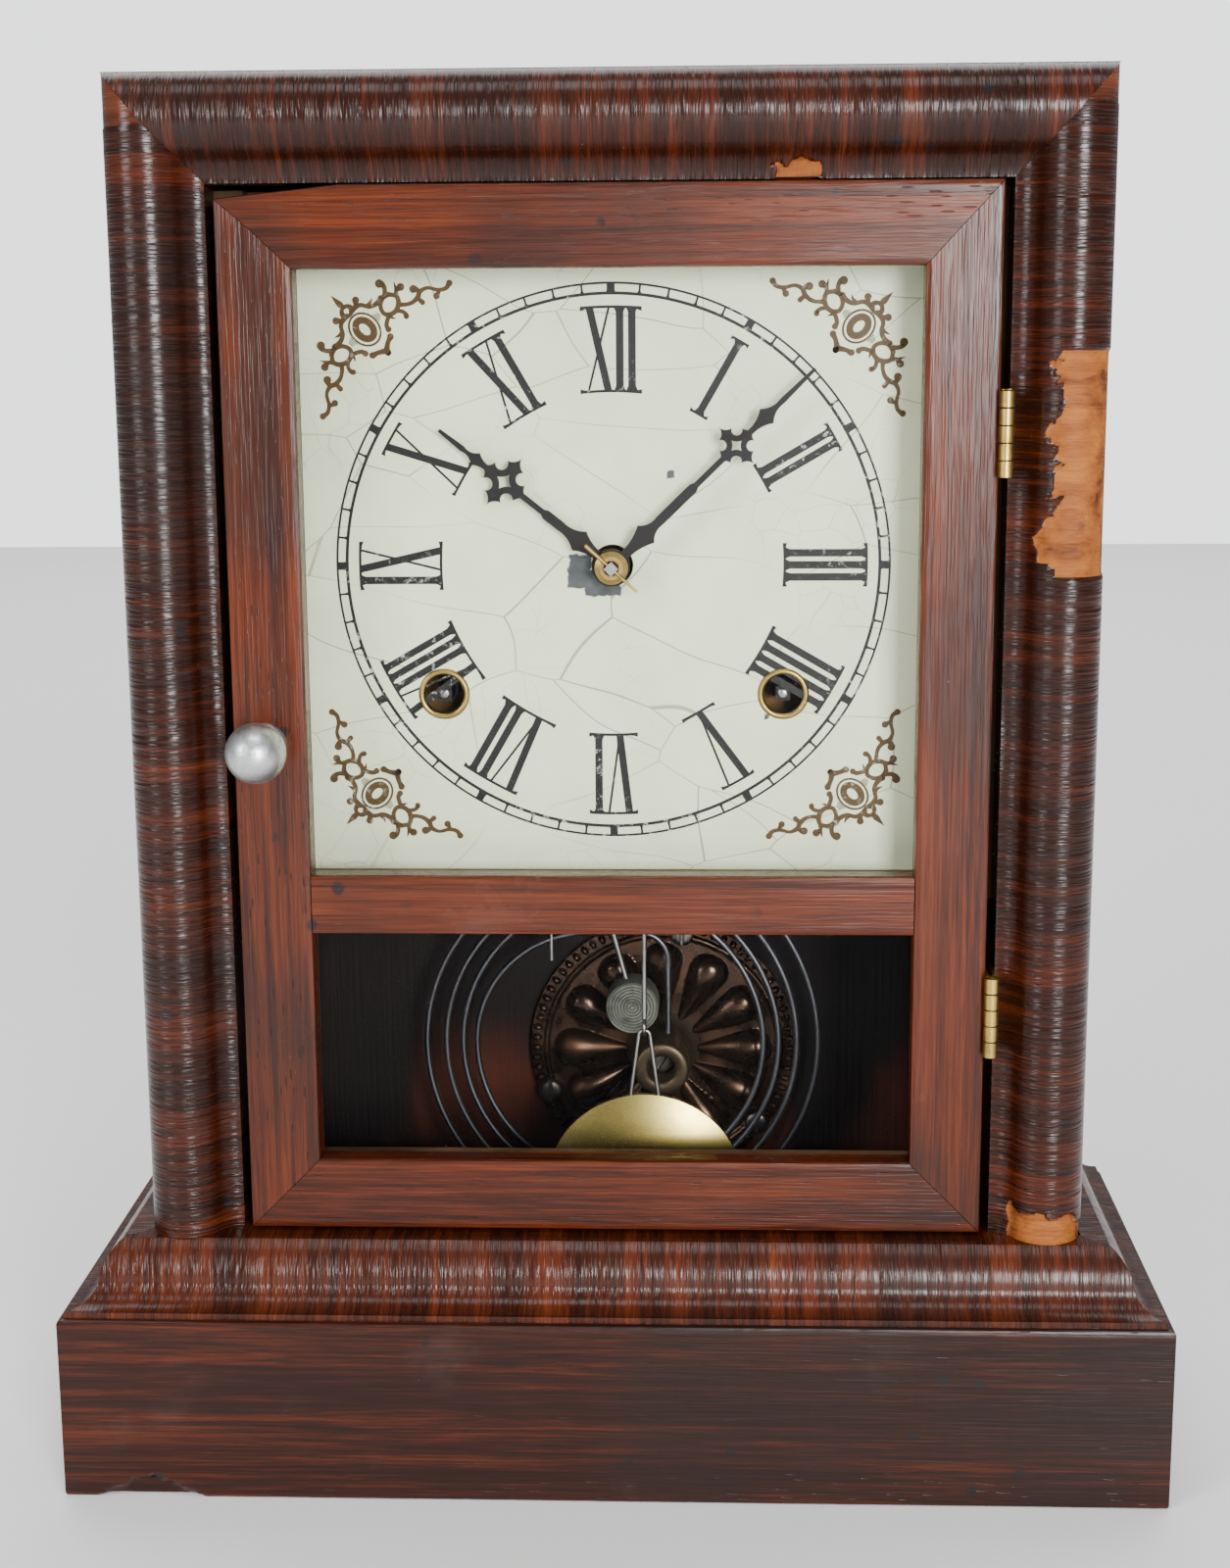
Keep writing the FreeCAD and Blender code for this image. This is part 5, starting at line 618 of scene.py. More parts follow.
def ribbon(line, widths):
    """A flat stroke: points moved to both sides of a line by half its width there."""
    line = np.asarray(line, float)
    widths = np.broadcast_to(np.asarray(widths, float), (len(line),))
    along = np.gradient(line, axis=0)
    along /= np.maximum(np.linalg.norm(along, axis=1, keepdims=True), TINY)
    side = np.stack([-along[:, 1], along[:, 0]], -1) * widths[:, None] / 2
    return np.concatenate([line + side, (line - side)[::-1]])


def node_box(name):
    """Lowest and highest corner of a construction node, in millimetres."""
    low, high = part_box(name)
    return np.array(low) / MM, np.array(high) / MM


def body_carrying(name):
    """The body that a construction node rides on."""
    return frame["nodes"][name]["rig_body"]


def renew(name, finish):
    """Gives a construction node its finish and leaves its mesh alone."""
    node = frame["nodes"][name]
    if not node.material_slots:
        node.data.materials.append(finish)
    for holder in node.material_slots:
        holder.material = finish
    return node


# Sections and places, in millimetres

HALF = 141.5
FRONT = -56.0
BACK = 56.0
PLINTH_TOP = 48.3
BASE_TOP = 65.1
CASE_HALF = 120.5
CASE_FRONT = -22.0
TOP = 356.0
COLUMN_WIDTH = 23.7
COLUMN_MIDDLE = CASE_HALF - 10.0
LINTEL_DROP = 26.0
LINTEL_MIDDLE = TOP - 11.0
COLUMN_SECTION = [
    (0.0, 0.0),
    (0.0, 11.3),
    (9.717, 20.2, 18.012, 15.038),
    (20.382, 12.457, 23.7, 11.3),
    (23.7, 0.0),
]
OGEE_SECTION = [
    (1.6, 48.3),
    (1.6, 49.9),
    (6.5, 51.3, 9.0, 55.1),
    (10.9, 61.0, 14.6, 65.1),
    (34.0, 65.1),
    (34.0, 48.3),
]
SIDES = ((-1, "left"), (1, "right"))
CORNER_SHARE = 0.3          # of an edge's radius: how far its rounding's middle lies in
HALF_ROUND_STEP = 0.62
VENEER = 0.62
PIECED_FROM = {"left": 343.0, "right": 346.5}
CHIP_LEFT, CHIP_RIGHT, CHIP_TOP = 39.6, 50.4, 333.4
SHRUNK_BY, SHRUNK_FROM, SHRUNK_RUN = 3.1, -64.0, 30.0
DIAL_FRONT = -15.4
HANDS_HEIGHT = 236.4
PRINT_DEPTH = 0.05
HANDS = np.array((0.0, HANDS_HEIGHT))
CORNER = np.array((-61.5, 295.5 - HANDS_HEIGHT))
WINDING_X, WINDING_Z = 43.5, 203.4
BOB = (7.5, -9.0, 67.2)
BOB_RADIUS, BOB_HALF, BOB_RIM = 26.6, 4.5, 0.8
# Gong, about its own middle: base plate, boss, screws, lobes, rolled ring and beads; then the hammer
GONG = (11.5, 0.0, 89.6)
PLATE_THICK = 3.0
BOSS_HOLE = 3.75
SCREW_RING = 35.2
SCREW_BEARINGS = (249.0, 129.0, 9.0)
DISH_RADIUS = 38.5
LOBES, LOBE_FROM, LOBE_LONG = 12, 9.0, 22.5
ROLL_RADIUS = 34.0
BEAD_RING = 36.8
HAMMER = (3.2, 0.0, 107.2)
HAMMER_FACE = 26.1
HAMMER_RADIUS, HAMMER_RINGS = 6.9, 8


def missing_veneer(across, up):
    """1 where the right column has lost its veneer: a torn patch high up and one at its foot."""
    flat = np.stack([across, up, np.zeros(len(up))], -1)
    tear = unevenness(flat, 9.0, 5) * 1.5 + unevenness(flat, 2.6, 6) * 0.5
    steps = np.where(np.mod(up + unevenness(flat, 16.0, 8) * 3, 13.0) < 6.0, 2.6, 0.0)
    left = 105.8 + steps + tear * 0.7 - soft_step(262, 240, up) * 2.0
    high = soft_step(288.8, 290.2, up)
    low = soft_step(236.6, 235.2, up)
    patch = soft_step(-0.4, 0.4, across - left) * (1 - high) * (1 - low)
    foot_edge = 73.4 + tear * 0.8 - np.clip(across - 112, 0, 20) * 0.35
    foot = soft_step(0.3, -0.3, up - foot_edge) * soft_step(100.6, 101.6, across - tear * 0.3)
    return np.maximum(patch, foot)


def worn(points, depth, seed, size=40.0):
    """Small inward dents, never outwards: depth times the part of smooth noise above a third."""
    rough = unevenness(points, size, seed)
    return depth * np.clip(rough - 0.33, 0, None)


# What a user may change

LENGTH = {"unit": "LENGTH", "subtype": "DISTANCE"}
COLOUR = {"subtype": "COLOR", "size": 3, "min": 0.0, "max": 1.0}


class ClockFinish(bpy.types.PropertyGroup):
    wood_tone: bpy.props.FloatProperty(
        name="Wood tone", description="0 is almost black rosewood, 1 a red one",
        default=0.50, min=0.0, max=1.0,
    )
    wood_gloss: bpy.props.FloatProperty(
        name="Wood gloss", description="How shiny the old varnish still is",
        default=0.62, min=0.0, max=1.0,
    )
    ink: bpy.props.FloatVectorProperty(
        name="Numerals", description="Colour of the dial's black print", default=(0.012, 0.012, 0.011),
        **COLOUR
    )
    gold: bpy.props.FloatVectorProperty(
        name="Corner scrolls", description="Colour of the dial's corner scrolls",
        default=(0.078, 0.044, 0.012), **COLOUR
    )
    wear: bpy.props.FloatProperty(
        name="Wear of the print", description="How much of the dial's print is rubbed away",
        default=0.8, min=0.0, max=1.0,
    )


class ClockSizes(bpy.types.PropertyGroup):
    ripple_depth: bpy.props.FloatProperty(
        name="Veneer ripple", description="Depth of the ripples across the columns", default=0.00007,
        min=0.0, max=0.001, **LENGTH
    )
    edge_radius: bpy.props.FloatProperty(
        name="Edge radius", description="Rounding of the boards' worn edges", default=0.0009,
        min=0.0001, max=0.003, **LENGTH
    )
    track_radius: bpy.props.FloatProperty(
        name="Minute track", description="Radius of the minute track's outer circle", default=0.0701,
        min=0.06, max=0.073, **LENGTH
    )
    numeral_foot: bpy.props.FloatProperty(
        name="Numeral foot", description="Radius at which the numerals stand", default=0.0433,
        min=0.03, max=0.055, **LENGTH
    )
    numeral_head: bpy.props.FloatProperty(
        name="Numeral head", description="Radius at which the numerals end", default=0.0646,
        min=0.056, max=0.067, **LENGTH
    )
    bead_count: bpy.props.IntProperty(
        name="Rim beads", description="Number of beads on the rim of the gong's base",
        default=76, min=12, max=200,
    )


class ClockStudio(bpy.types.PropertyGroup):
    key_power: bpy.props.FloatProperty(
        name="Window light", description="Power of the large soft light on the right",
        default=31.0, unit="POWER", min=0.0,
    )
    floor_shade: bpy.props.FloatProperty(
        name="Floor shade", description="Grey of the floor", default=0.86, min=0.0, max=1.0
    )


def chosen(group):
    """The user's values of one group: finish, sizes or studio."""
    return getattr(bpy.context.scene, "clock_" + group)


def in_mm(name):
    """One of the user's sizes in millimetres."""
    return getattr(chosen("sizes"), name) / MM


MADE = {}


def finish_named(name, maker, *settings):
    """The material of that name, made the first time it is asked for."""
    if name not in MADE:
        MADE[name] = maker(name, *settings)
    return MADE[name]


# How fast a wood's pattern changes along X, Y and Z: slow along the grain. Veneer laid LEVEL round a
# column, or UPRIGHT on a moulding, is short in the grain, so it is a little less drawn out.
ALONG_X = (0.025, 1.0, 1.0)
ALONG_Y = (1.0, 0.025, 1.0)
ALONG_Z = (1.0, 1.0, 0.025)
LEVEL = (0.035, 0.035, 1.0)
UPRIGHT_X = (1.0, 0.035, 0.035)
UPRIGHT_Y = (0.035, 1.0, 0.035)


def wood(name, drawn, tone, gloss, ripple, seed, lost=False):
    """Rosewood in the user's tone and gloss, a little moved for one member."""
    base = chosen("finish")
    settings = (drawn, base.wood_tone + tone, base.wood_gloss + gloss, ripple, lost, seed)
    return finish_named("veneer_" + name, rosewood, *settings)


# Colour, tarnish, how much of it, roughness; then metallic, how fine the clouds are, and shine
METALS = {
    "blackened_steel": ((0.008, 0.008, 0.008), (0.018, 0.010, 0.007), 0.5, 0.42, 0.0, 90.0, 0.22),
    "drawn_steel": ((0.30, 0.29, 0.28), (0.10, 0.07, 0.05), 0.7, 0.30),
    "dark_wire": ((0.13, 0.135, 0.15), (0.07, 0.055, 0.045), 0.6, 0.36),
    "old_screw": ((0.13, 0.12, 0.11), (0.07, 0.045, 0.03), 0.6, 0.32),
    "rolled_brass": ((0.36, 0.255, 0.080), (0.13, 0.085, 0.032), 0.65, 0.27),
    # Movement brass: tarnished, and darkened further as painted shade, so the plates show black through the
    # dial's holes.
    "brass_tarnished_and_shade_darkened": ((0.20, 0.12, 0.045), (0.05, 0.028, 0.014), 0.8, 0.38),
    "cast_iron": ((0.055, 0.033, 0.022), (0.09, 0.042, 0.020), 0.6, 0.20, 0.9),
    "dull_bronze": ((0.085, 0.062, 0.036), (0.04, 0.026, 0.016), 0.7, 0.36, 0.8, 150.0),
    "hammer_grey": ((0.155, 0.165, 0.135), (0.06, 0.055, 0.04), 0.7, 0.42, 0.6, 260.0),
    "cast_aluminium": ((0.58, 0.59, 0.60), (0.33, 0.33, 0.33), 0.5, 0.33, 1.0, 900.0),
}


def metal(name):
    """One of the metals above."""
    return finish_named(name, old_metal, *METALS[name])


def renew_all(nodes, finish):
    """Gives several construction nodes one finish."""
    for node in nodes:
        renew(node, finish)


# Case

def base_boards():
    """The plinth: three boards with rounded edges, cut at 45 degrees where they meet.

    The chip under the front board is a dent that fades with the distance from its middle, measured
    in the chip's own three reaches.
    """
    thick, edge = 12.0, in_mm("edge_radius")
    corner = edge * CORNER_SHARE
    section = outline_points([
        (thick, 0.0), (edge, 0.0), (corner, corner, 0.0, edge), (0.0, PLINTH_TOP - edge),
        (corner, PLINTH_TOP - corner, edge, PLINTH_TOP), (thick, PLINTH_TOP),
    ], 1.2)
    chip_middle, chip_reach, chip_depth = (-119.0, FRONT, -2.0), (13.0, 7.0, 8.0), 1.9
    points, *skin = carried(section, across_front, 220)
    reach = np.linalg.norm((points - chip_middle) / chip_reach, axis=1)
    chip = soft_step(1.05, 0.75, reach + unevenness(points, 6.0, 4) * 0.12) * chip_depth
    face = soft_step(FRONT + 3.0, FRONT + 1.0, points[:, 1])
    points[:, 1] += (worn(points, 0.10, 11) + worn(points, 0.06, 41, 6.0) + chip) * face
    finish = wood("plinth_front", ALONG_X, -0.20, -0.22, 0.15, 11.0)
    veneered("plinth_front_veneered", (points, *skin), finish, "plinth_front")
    for sign, side in SIDES:
        points, *skin = carried(section, flank_of(sign), 110)
        face = soft_step(HALF - 3.0, HALF - 1.0, np.abs(points[:, 0]))
        points[:, 0] -= sign * worn(points, 0.10, 12) * face
        finish = wood("plinth_side", ALONG_Y, -0.18, -0.20, 0.15, 12.0)
        veneered(f"plinth_{side}_veneered", (points, *skin), finish, "plinth_" + side)


def across_front(inward, up, t):
    """Where a section of the base lies along the front, between its two mitres."""
    return in_space((2 * t - 1) * (HALF - inward), FRONT + inward, up)


def flank_of(sign):
    """Where a section of the base lies along one side, from its mitre at the front to the back."""
    def flank(inward, up, t):
        start = FRONT + inward
        return in_space(sign * (HALF - inward), start + (BACK - start) * t, up)

    return flank


def base_mouldings():
    """The ogee: its section carried along the front and both sides, cut at 45 degrees where they meet."""
    step, side_width = 0.6, 21.0
    points, *skin = carried(outline_points(OGEE_SECTION, step), across_front, 420)
    points[:, 1] += ogee_wear(points, 0)
    finish = wood("ogee_front", UPRIGHT_X, 0.0, 0.08, 0.5, 3.0)
    veneered("ogee_front", (points, *skin), finish, "base_moulding_front")
    narrow = [mark if len(mark) == 4 else (min(mark[0], side_width), mark[1]) for mark in OGEE_SECTION]
    for sign, side in SIDES:
        points, *skin = carried(outline_points(narrow, step), flank_of(sign), 160)
        points[:, 0] -= sign * ogee_wear(points, 1)
        finish = wood("ogee_side", UPRIGHT_Y, 0.02, 0.0, 0.5, 4.0)
        veneered("ogee_" + side, (points, *skin), finish, "base_moulding_" + side)


def ogee_wear(points, axis):
    """Ripples across the grain of a moulding: noise of one coordinate, only inwards."""
    line = in_space(points[:, axis], points[:, 2] * 0.10, 0.0)
    free = soft_step(49.0, 51.0, points[:, 2]) * soft_step(BASE_TOP, 63.5, points[:, 2])
    ripple = in_mm("ripple_depth") * (1 + unevenness(line, 2.6, 41)) * 0.7
    return (ripple + worn(points, 0.08, 42)) * free


def half_round_wear(run, a, d, place, sizes, seeds):
    """Ripples of a half-round and where they show: noise of the way along it, so they run across it.

    a and d are the section's coordinates at each point, in from the outer edge and out from the case.
    """
    face = soft_step(9.5, 11.8, d) * soft_step(-0.1, 0.8, a) * soft_step(COLUMN_WIDTH + 0.1, 22.8, a)
    around = in_space(run, a * 0.06, place)
    sharp = np.clip(unevenness(around, sizes[1], seeds[1]) - 0.5, 0, None)
    ripple = (1 + unevenness(around, sizes[0], seeds[0])) * 0.6 + sharp
    return in_mm("ripple_depth") * ripple * face, face


def columns():
    """The half-round columns: their section carried up to the mitre, rippled level with the grain.

    Where veneer is lost, or the corner is pieced with paler wood, the surface lies lower.
    """
    section = outline_points(COLUMN_SECTION, HALF_ROUND_STEP)
    for sign, side in SIDES:
        def place(a, d, t, sign=sign):
            head = TOP - a * LINTEL_DROP / COLUMN_WIDTH
            return in_space(sign * (CASE_HALF - a), CASE_FRONT - d, BASE_TOP + (head - BASE_TOP) * t)

        points, *skin = carried(section, place, 640)
        across, depth, up = points.T.copy()
        a = CASE_HALF - sign * across
        d = CASE_FRONT - depth
        inward, face = half_round_wear(up, a, d, sign * 40.0, (1.7, 1.1), (51, 52))
        inward += worn(points, 0.10, 53) * face
        pieced_from = PIECED_FROM[side] + unevenness(points, 12.0, 54) * 0.4
        corner = soft_step(-0.2, 0.2, up - pieced_from) * soft_step(0.0, 2.0, d)
        lost = 0 * d
        if side == "right":
            lost = missing_veneer(across, up) * soft_step(6.0, 7.0, d)
        inward += corner * 0.25 + lost * VENEER
        away = np.stack([np.abs(across) - COLUMN_MIDDLE, depth - CASE_FRONT])
        away /= np.linalg.norm(away, axis=0)
        points[:, 0] -= sign * away[0] * inward
        points[:, 1] -= away[1] * inward
        finish = wood("front_moulding_" + side, LEVEL, -0.22, 0.14, 0.65, 7.0 + sign, lost=True)
        numbers = {"corner": corner, "lost": lost}
        veneered("column_" + side, (points, *skin), finish, "front_moulding_" + side, numbers=numbers)


def lintel():
    """The half-round across the top: the columns' section, taller, carried between the mitres."""
    def place(a, d, t):
        return in_space(
            (2 * t - 1) * (CASE_HALF - a), CASE_FRONT - d, TOP - a * LINTEL_DROP / COLUMN_WIDTH,
        )

    points, *skin = carried(outline_points(COLUMN_SECTION, HALF_ROUND_STEP), place, 620)
    across, depth, up = points.T.copy()
    a = (TOP - up) * COLUMN_WIDTH / LINTEL_DROP
    d = CASE_FRONT - depth
    inward, face = half_round_wear(across, a, d, 90.0, (1.9, 1.2), (55, 56))
    inward += worn(points, 0.12, 57) * face
    tear = unevenness(points, 5.0, 58) * 1.2
    chip = soft_step(-0.4, 0.4, across - CHIP_LEFT - tear) * soft_step(0.4, -0.4, across - CHIP_RIGHT - tear)
    lost = chip * soft_step(0.3, -0.3, up - CHIP_TOP - tear * 0.5) * soft_step(6.0, 7.0, d)
    inward += lost * 0.5
    away = np.stack([depth - CASE_FRONT, up - LINTEL_MIDDLE])
    away /= np.maximum(np.linalg.norm(away, axis=0), TINY)
    points[:, 1] -= away[0] * inward
    points[:, 2] = np.minimum(up - away[1] * inward, TOP)
    finish = wood("lintel", UPRIGHT_X, -0.20, 0.10, 0.6, 9.0, lost=True)
    veneered("lintel", (points, *skin), finish, "front_moulding_top", numbers={"lost": lost})


def case_boards():
    """Sides and top of the case as boards with worn, rounded edges, and the rough boards inside, darkened
    with painted shade.
    """
    for node, drawn, tone in (
        ("case_side_left", ALONG_Z, 0.0), ("case_side_right", ALONG_Z, 0.0), ("case_top", ALONG_X, -0.1),
    ):
        points, faces, out = rounded_box(*node_box(node), 0.7, 3.0)
        points = points - out * worn(points, 0.12, len(node))[:, None]
        finish = wood(node, drawn, tone, -0.15, 0.12, float(len(node)))
        make_piece(node + "_board", (points, faces), finish, "case", (node,))
    # Painted shade: the boards inside the case are near black on their inner faces, and the dial cleats are
    # darkened all over.
    pine = finish_named("inner_pine_painted_shade", raw_pine, ALONG_Z, 1.0, 2.0, 0.090)
    renew_all(("backboard", "plinth_deck", "movement_blocks"), pine)
    renew("dial_cleats", finish_named("pine_with_painted_shade", raw_pine, ALONG_Z, 0.75, 4.0))


# Door, in millimetres: its outer half width, foot and head, its members' widths, the middle rail's
# edges, the step that holds the glass, and the gap in each mitre
DOOR_HALF = 94.3
DOOR_FOOT = 66.1
DOOR_HEAD = 329.5
STILE_WIDTH = 18.4
HEAD_WIDTH = 19.8
FOOT_WIDTH = 18.7
MIDDLE_LOW = 145.0
MIDDLE_HIGH = 160.2
GLASS_STEP = 4.0
GLASS_DEPTH = 6.5
MITRE_GAP = 0.10
DOOR_EDGE = 0.9
DOOR_STEP = 0.8


def door_frame():
    """Five members of the door: rounded sections with a step for the glass, cut at 45 degrees.

    The left end of the head has shrunk: its top falls in a straight line over the last run.
    """
    low, high = node_box("door_stile_left")
    front, back = low[1], high[1]
    glass = front + GLASS_DEPTH
    edge, corner = DOOR_EDGE, DOOR_EDGE * CORNER_SHARE

    def bar(name, node, section, place, drawn, seed, count, tone):
        points, *skin = carried(outline_points(section, DOOR_STEP), place, count)
        drop = SHRUNK_BY * np.clip((SHRUNK_FROM - points[:, 0]) / SHRUNK_RUN, 0, 1)
        points[:, 2] -= drop * np.clip((points[:, 2] - DOOR_HEAD + HEAD_WIDTH) / HEAD_WIDTH, 0, 1)
        points[:, 1] += worn(points, 0.10, seed) * soft_step(front + 3, front + 1, points[:, 1])
        finish = wood(name, drawn, tone, 0.0, 0.28, float(seed))
        veneered(name, (points, *skin), finish, node, "door")

    def member(width):
        return [
            (0.0, back), (0.0, front + edge), (corner, front + corner, edge, front),
            (width - edge, front), (width - corner, front + corner, width, front + edge),
            (width, glass), (width - GLASS_STEP, glass), (width - GLASS_STEP, back),
        ]

    for sign, side in SIDES:
        def upright(a, y, t, sign=sign):
            start = DOOR_FOOT + a * FOOT_WIDTH / STILE_WIDTH + MITRE_GAP
            end = DOOR_HEAD - a * HEAD_WIDTH / STILE_WIDTH - MITRE_GAP
            return in_space(sign * (DOOR_HALF - a), y, start + (end - start) * t)

        name, node = "door_upright_" + side, "door_stile_" + side
        bar(name, node, member(STILE_WIDTH), upright, ALONG_Z, 61 + sign, 180, 0.20)

    def top(a, y, t):
        half = DOOR_HALF - a * STILE_WIDTH / HEAD_WIDTH - MITRE_GAP
        return in_space((2 * t - 1) * half, y, DOOR_HEAD - a)

    def bottom(a, y, t):
        half = DOOR_HALF - a * STILE_WIDTH / FOOT_WIDTH - MITRE_GAP
        return in_space((2 * t - 1) * half, y, DOOR_FOOT + a)

    def middle(z, y, t):
        return in_space((2 * t - 1) * (DOOR_HALF - STILE_WIDTH), y, z)

    bar("door_head", "door_rail_top", member(HEAD_WIDTH), top, ALONG_X, 65, 140, 0.20)
    bar("door_foot", "door_rail_bottom", member(FOOT_WIDTH), bottom, ALONG_X, 66, 140, 0.20)
    low, high = MIDDLE_LOW, MIDDLE_HIGH
    section = [
        (low, glass), (low, front + edge), (low + corner, front + corner, low + edge, front),
        (high - edge, front), (high - corner, front + corner, high, front + edge),
        (high, glass), (high - GLASS_STEP, glass), (high - GLASS_STEP, back),
        (low + GLASS_STEP, back), (low + GLASS_STEP, glass),
    ]
    bar("door_middle", "door_rail_middle", section, middle, ALONG_X, 67, 120, 0.18)
    # Painted shade: the glass beads' pine is darkened all over.
    renew("glass_beads", finish_named("bead_pine_with_painted_shade", raw_pine, ALONG_Z, 0.7, 6.0))


def door_glass():
    """The two panes keep their meshes and get their glass."""
    renew("upper_glass", finish_named("upper_pane", window_glass, 12.0, 0.0))
    renew("lower_glass", finish_named("lower_pane", window_glass, 9.0, 0.05))


def door_metal():
    """Knob and flange spun about their axis: a circle's arc, then a stepped neck."""
    x, front, z, ball = -86.5, -55.4, 193.8, 7.5
    stile = node_box("door_stile_left")[0][1]
    t = np.linspace(0, 2.72, 40)
    arc = np.stack([ball * np.sin(t), front + ball - ball * np.cos(t)], -1)
    neck = np.array([(3.2, 3.0), (3.4, 2.2), (4.9, 1.5), (5.5, 0.9), (5.6, 0.2), (5.6, 0.0), (0.0, 0.0)])
    profile = np.concatenate([arc, neck * (1, -1) + (0, stile)])
    surface = spun(profile, (x, 0.0, z), 96)
    make_piece("knob", surface, metal("cast_aluminium"), "door", ("door_knob",), 40.0)
    hinges = ("hinge_case_leaves", "hinge_door_leaves", "hinge_pins")
    renew_all(hinges, finish_named("knuckled_brass", knuckled_brass))


# Dial

def grommets():
    """The rings round the winding holes: a rolled section spun about each hole."""
    low, high = node_box("winding_grommets")
    front, back = low[1], high[1]
    t = np.linspace(0, math.pi, 14)
    hole, lip, wall, rim = 5.0, 0.8, 5.6, 6.6
    roll = np.stack([hole + lip * (1 - np.cos(t)), front + lip * (1 - np.sin(t))], -1)
    profile = [(hole, back), (hole, front + 0.9), *roll]
    profile += [(rim, DIAL_FRONT), (wall, DIAL_FRONT), (wall, back), (hole, back)]
    for sign, side in SIDES:
        surface = spun(profile, (sign * WINDING_X, 0.0, WINDING_Z), 72)
        replaced = ("winding_grommets",) if side == "left" else ()
        make_piece("grommet_" + side, surface, metal("rolled_brass"), "case", replaced)


def print_sheet(name, strokes, finish, depth=PRINT_DEPTH):
    """Strokes on the dial as one thin piece."""
    surface = flat_strokes(strokes, DIAL_FRONT - depth, DIAL_FRONT + 0.02)
    make_piece(name, surface, finish, "case")


def turned(points, bearing):
    """Points (across, out) turned so that out points to a clock bearing from the hands' axis."""
    t = math.radians(bearing)
    points = np.asarray(points, float)
    x = points[:, 0] * math.cos(t) + points[:, 1] * math.sin(t)
    z = -points[:, 0] * math.sin(t) + points[:, 1] * math.cos(t)
    return np.stack([x, z], -1) + HANDS


def ring_strokes(radius, width, pieces=60):
    """A circle as short curved strokes."""
    out = []
    for number in range(pieces):
        t = np.radians(np.linspace(number, number + 1, 5) * 360 / pieces)
        way = np.stack([np.sin(t), np.cos(t)], -1)
        out.append(np.concatenate([way * (radius + width / 2), way[::-1] * (radius - width / 2)]) + HANDS)
    return out


def minute_track():
    """Two circles joined by a tick at each minute; each fifth is a solid block."""
    outer = in_mm("track_radius")
    inner = outer - 2.5
    strokes = ring_strokes(outer, 0.55) + ring_strokes(inner, 0.78)
    for minute in range(60):
        half, foot = (1.0, 1.25) if minute % 5 == 0 else (0.27, 0.60)
        tick = [(-foot, inner), (-half, inner + 0.9), (-half, outer)]
        strokes.append(turned(tick + [(-x, y) for x, y in tick[::-1]], minute * 6))
    return strokes


# Numerals, in millimetres: letter widths, the widest numeral, bar widths, serif lines and flares
LETTER_WIDTH = {"I": 3.05, "V": 7.6, "X": 7.4}
WIDEST = 15.6
THICK, THIN = 1.90, 0.58
SERIF = 0.66
SERIF_REACH = 0.95
FLARE, FLARE_RISE = 0.55, 1.3


def numeral(text, bearing):
    """One roman numeral: thick and thin bars between two serif lines, its foot towards the centre.

    The serif lines bend with the dial and widen with the eighth power of the way to their ends.
    """
    foot, head = in_mm("numeral_foot"), in_mm("numeral_head")
    low, high = foot + SERIF * 0.5, head - SERIF * 0.5
    width = sum(LETTER_WIDTH[letter] for letter in text)
    strokes = []

    def slanted(below, above, wide):
        half = wide / 2
        strokes.append([(below - half, low), (above - half, high), (above + half, high), (below + half, low)])

    left = -width / 2
    for letter in text:
        middle = left + LETTER_WIDTH[letter] / 2
        left += LETTER_WIDTH[letter]
        if letter == "I":
            side = THICK / 2
            bar = [(-side - FLARE, low), (-side, low + FLARE_RISE)]
            bar += [(-side, high - FLARE_RISE), (-side - FLARE, high)]
            bar += [(-x, y) for x, y in bar[::-1]]
            strokes.append([(middle + x, y) for x, y in bar])
        if letter == "V":
            slanted(middle - 0.1, middle - 2.55, THICK)
            slanted(middle - 0.1, middle + 2.75, THIN)
        if letter == "X":
            slanted(middle + 2.35, middle - 2.35, THICK)
            slanted(middle - 2.55, middle + 2.55, THIN)
    reach = width / 2 + SERIF_REACH
    line = np.linspace(-reach, reach, 15)
    for level, sense in ((head, 1), (foot, -1)):
        outer = level - line ** 2 / (3.2 * level)
        inner = outer - sense * (SERIF + 0.5 * (np.abs(line) / reach) ** 8)
        strokes.append([*zip(line, outer), *zip(line[::-1], inner[::-1])])
    squeeze = (min(1.0, WIDEST / width), 1.0)
    return [turned(np.asarray(stroke) * squeeze, bearing) for stroke in strokes]


NUMERALS = ("XII", "I", "II", "III", "IIII", "V", "VI", "VII", "VIII", "IX", "X", "XI")


def dial_print():
    """Track, numerals and corner scrolls as thin sheets on the dial."""
    paint = chosen("finish")
    ink = finish_named("dial_black", dial_ink, tuple(paint.ink), paint.wear)
    gold = finish_named("dial_gold", dial_ink, tuple(paint.gold), paint.wear * 0.6)
    print_sheet("minute_track", minute_track(), ink)
    numerals = [stroke for hour, text in enumerate(NUMERALS) for stroke in numeral(text, hour * 30)]
    print_sheet("numerals", numerals, ink, PRINT_DEPTH * 1.4)
    scrolls = corner_scrolls()
    corners = [mirror_corner(stroke, x, z) for x in (-1, 1) for z in (-1, 1) for stroke in scrolls]
    print_sheet("corner_scrolls", corners, gold)
    renew("dial_plate", finish_named("dial_cream", dial_paint, HANDS_HEIGHT * MM))


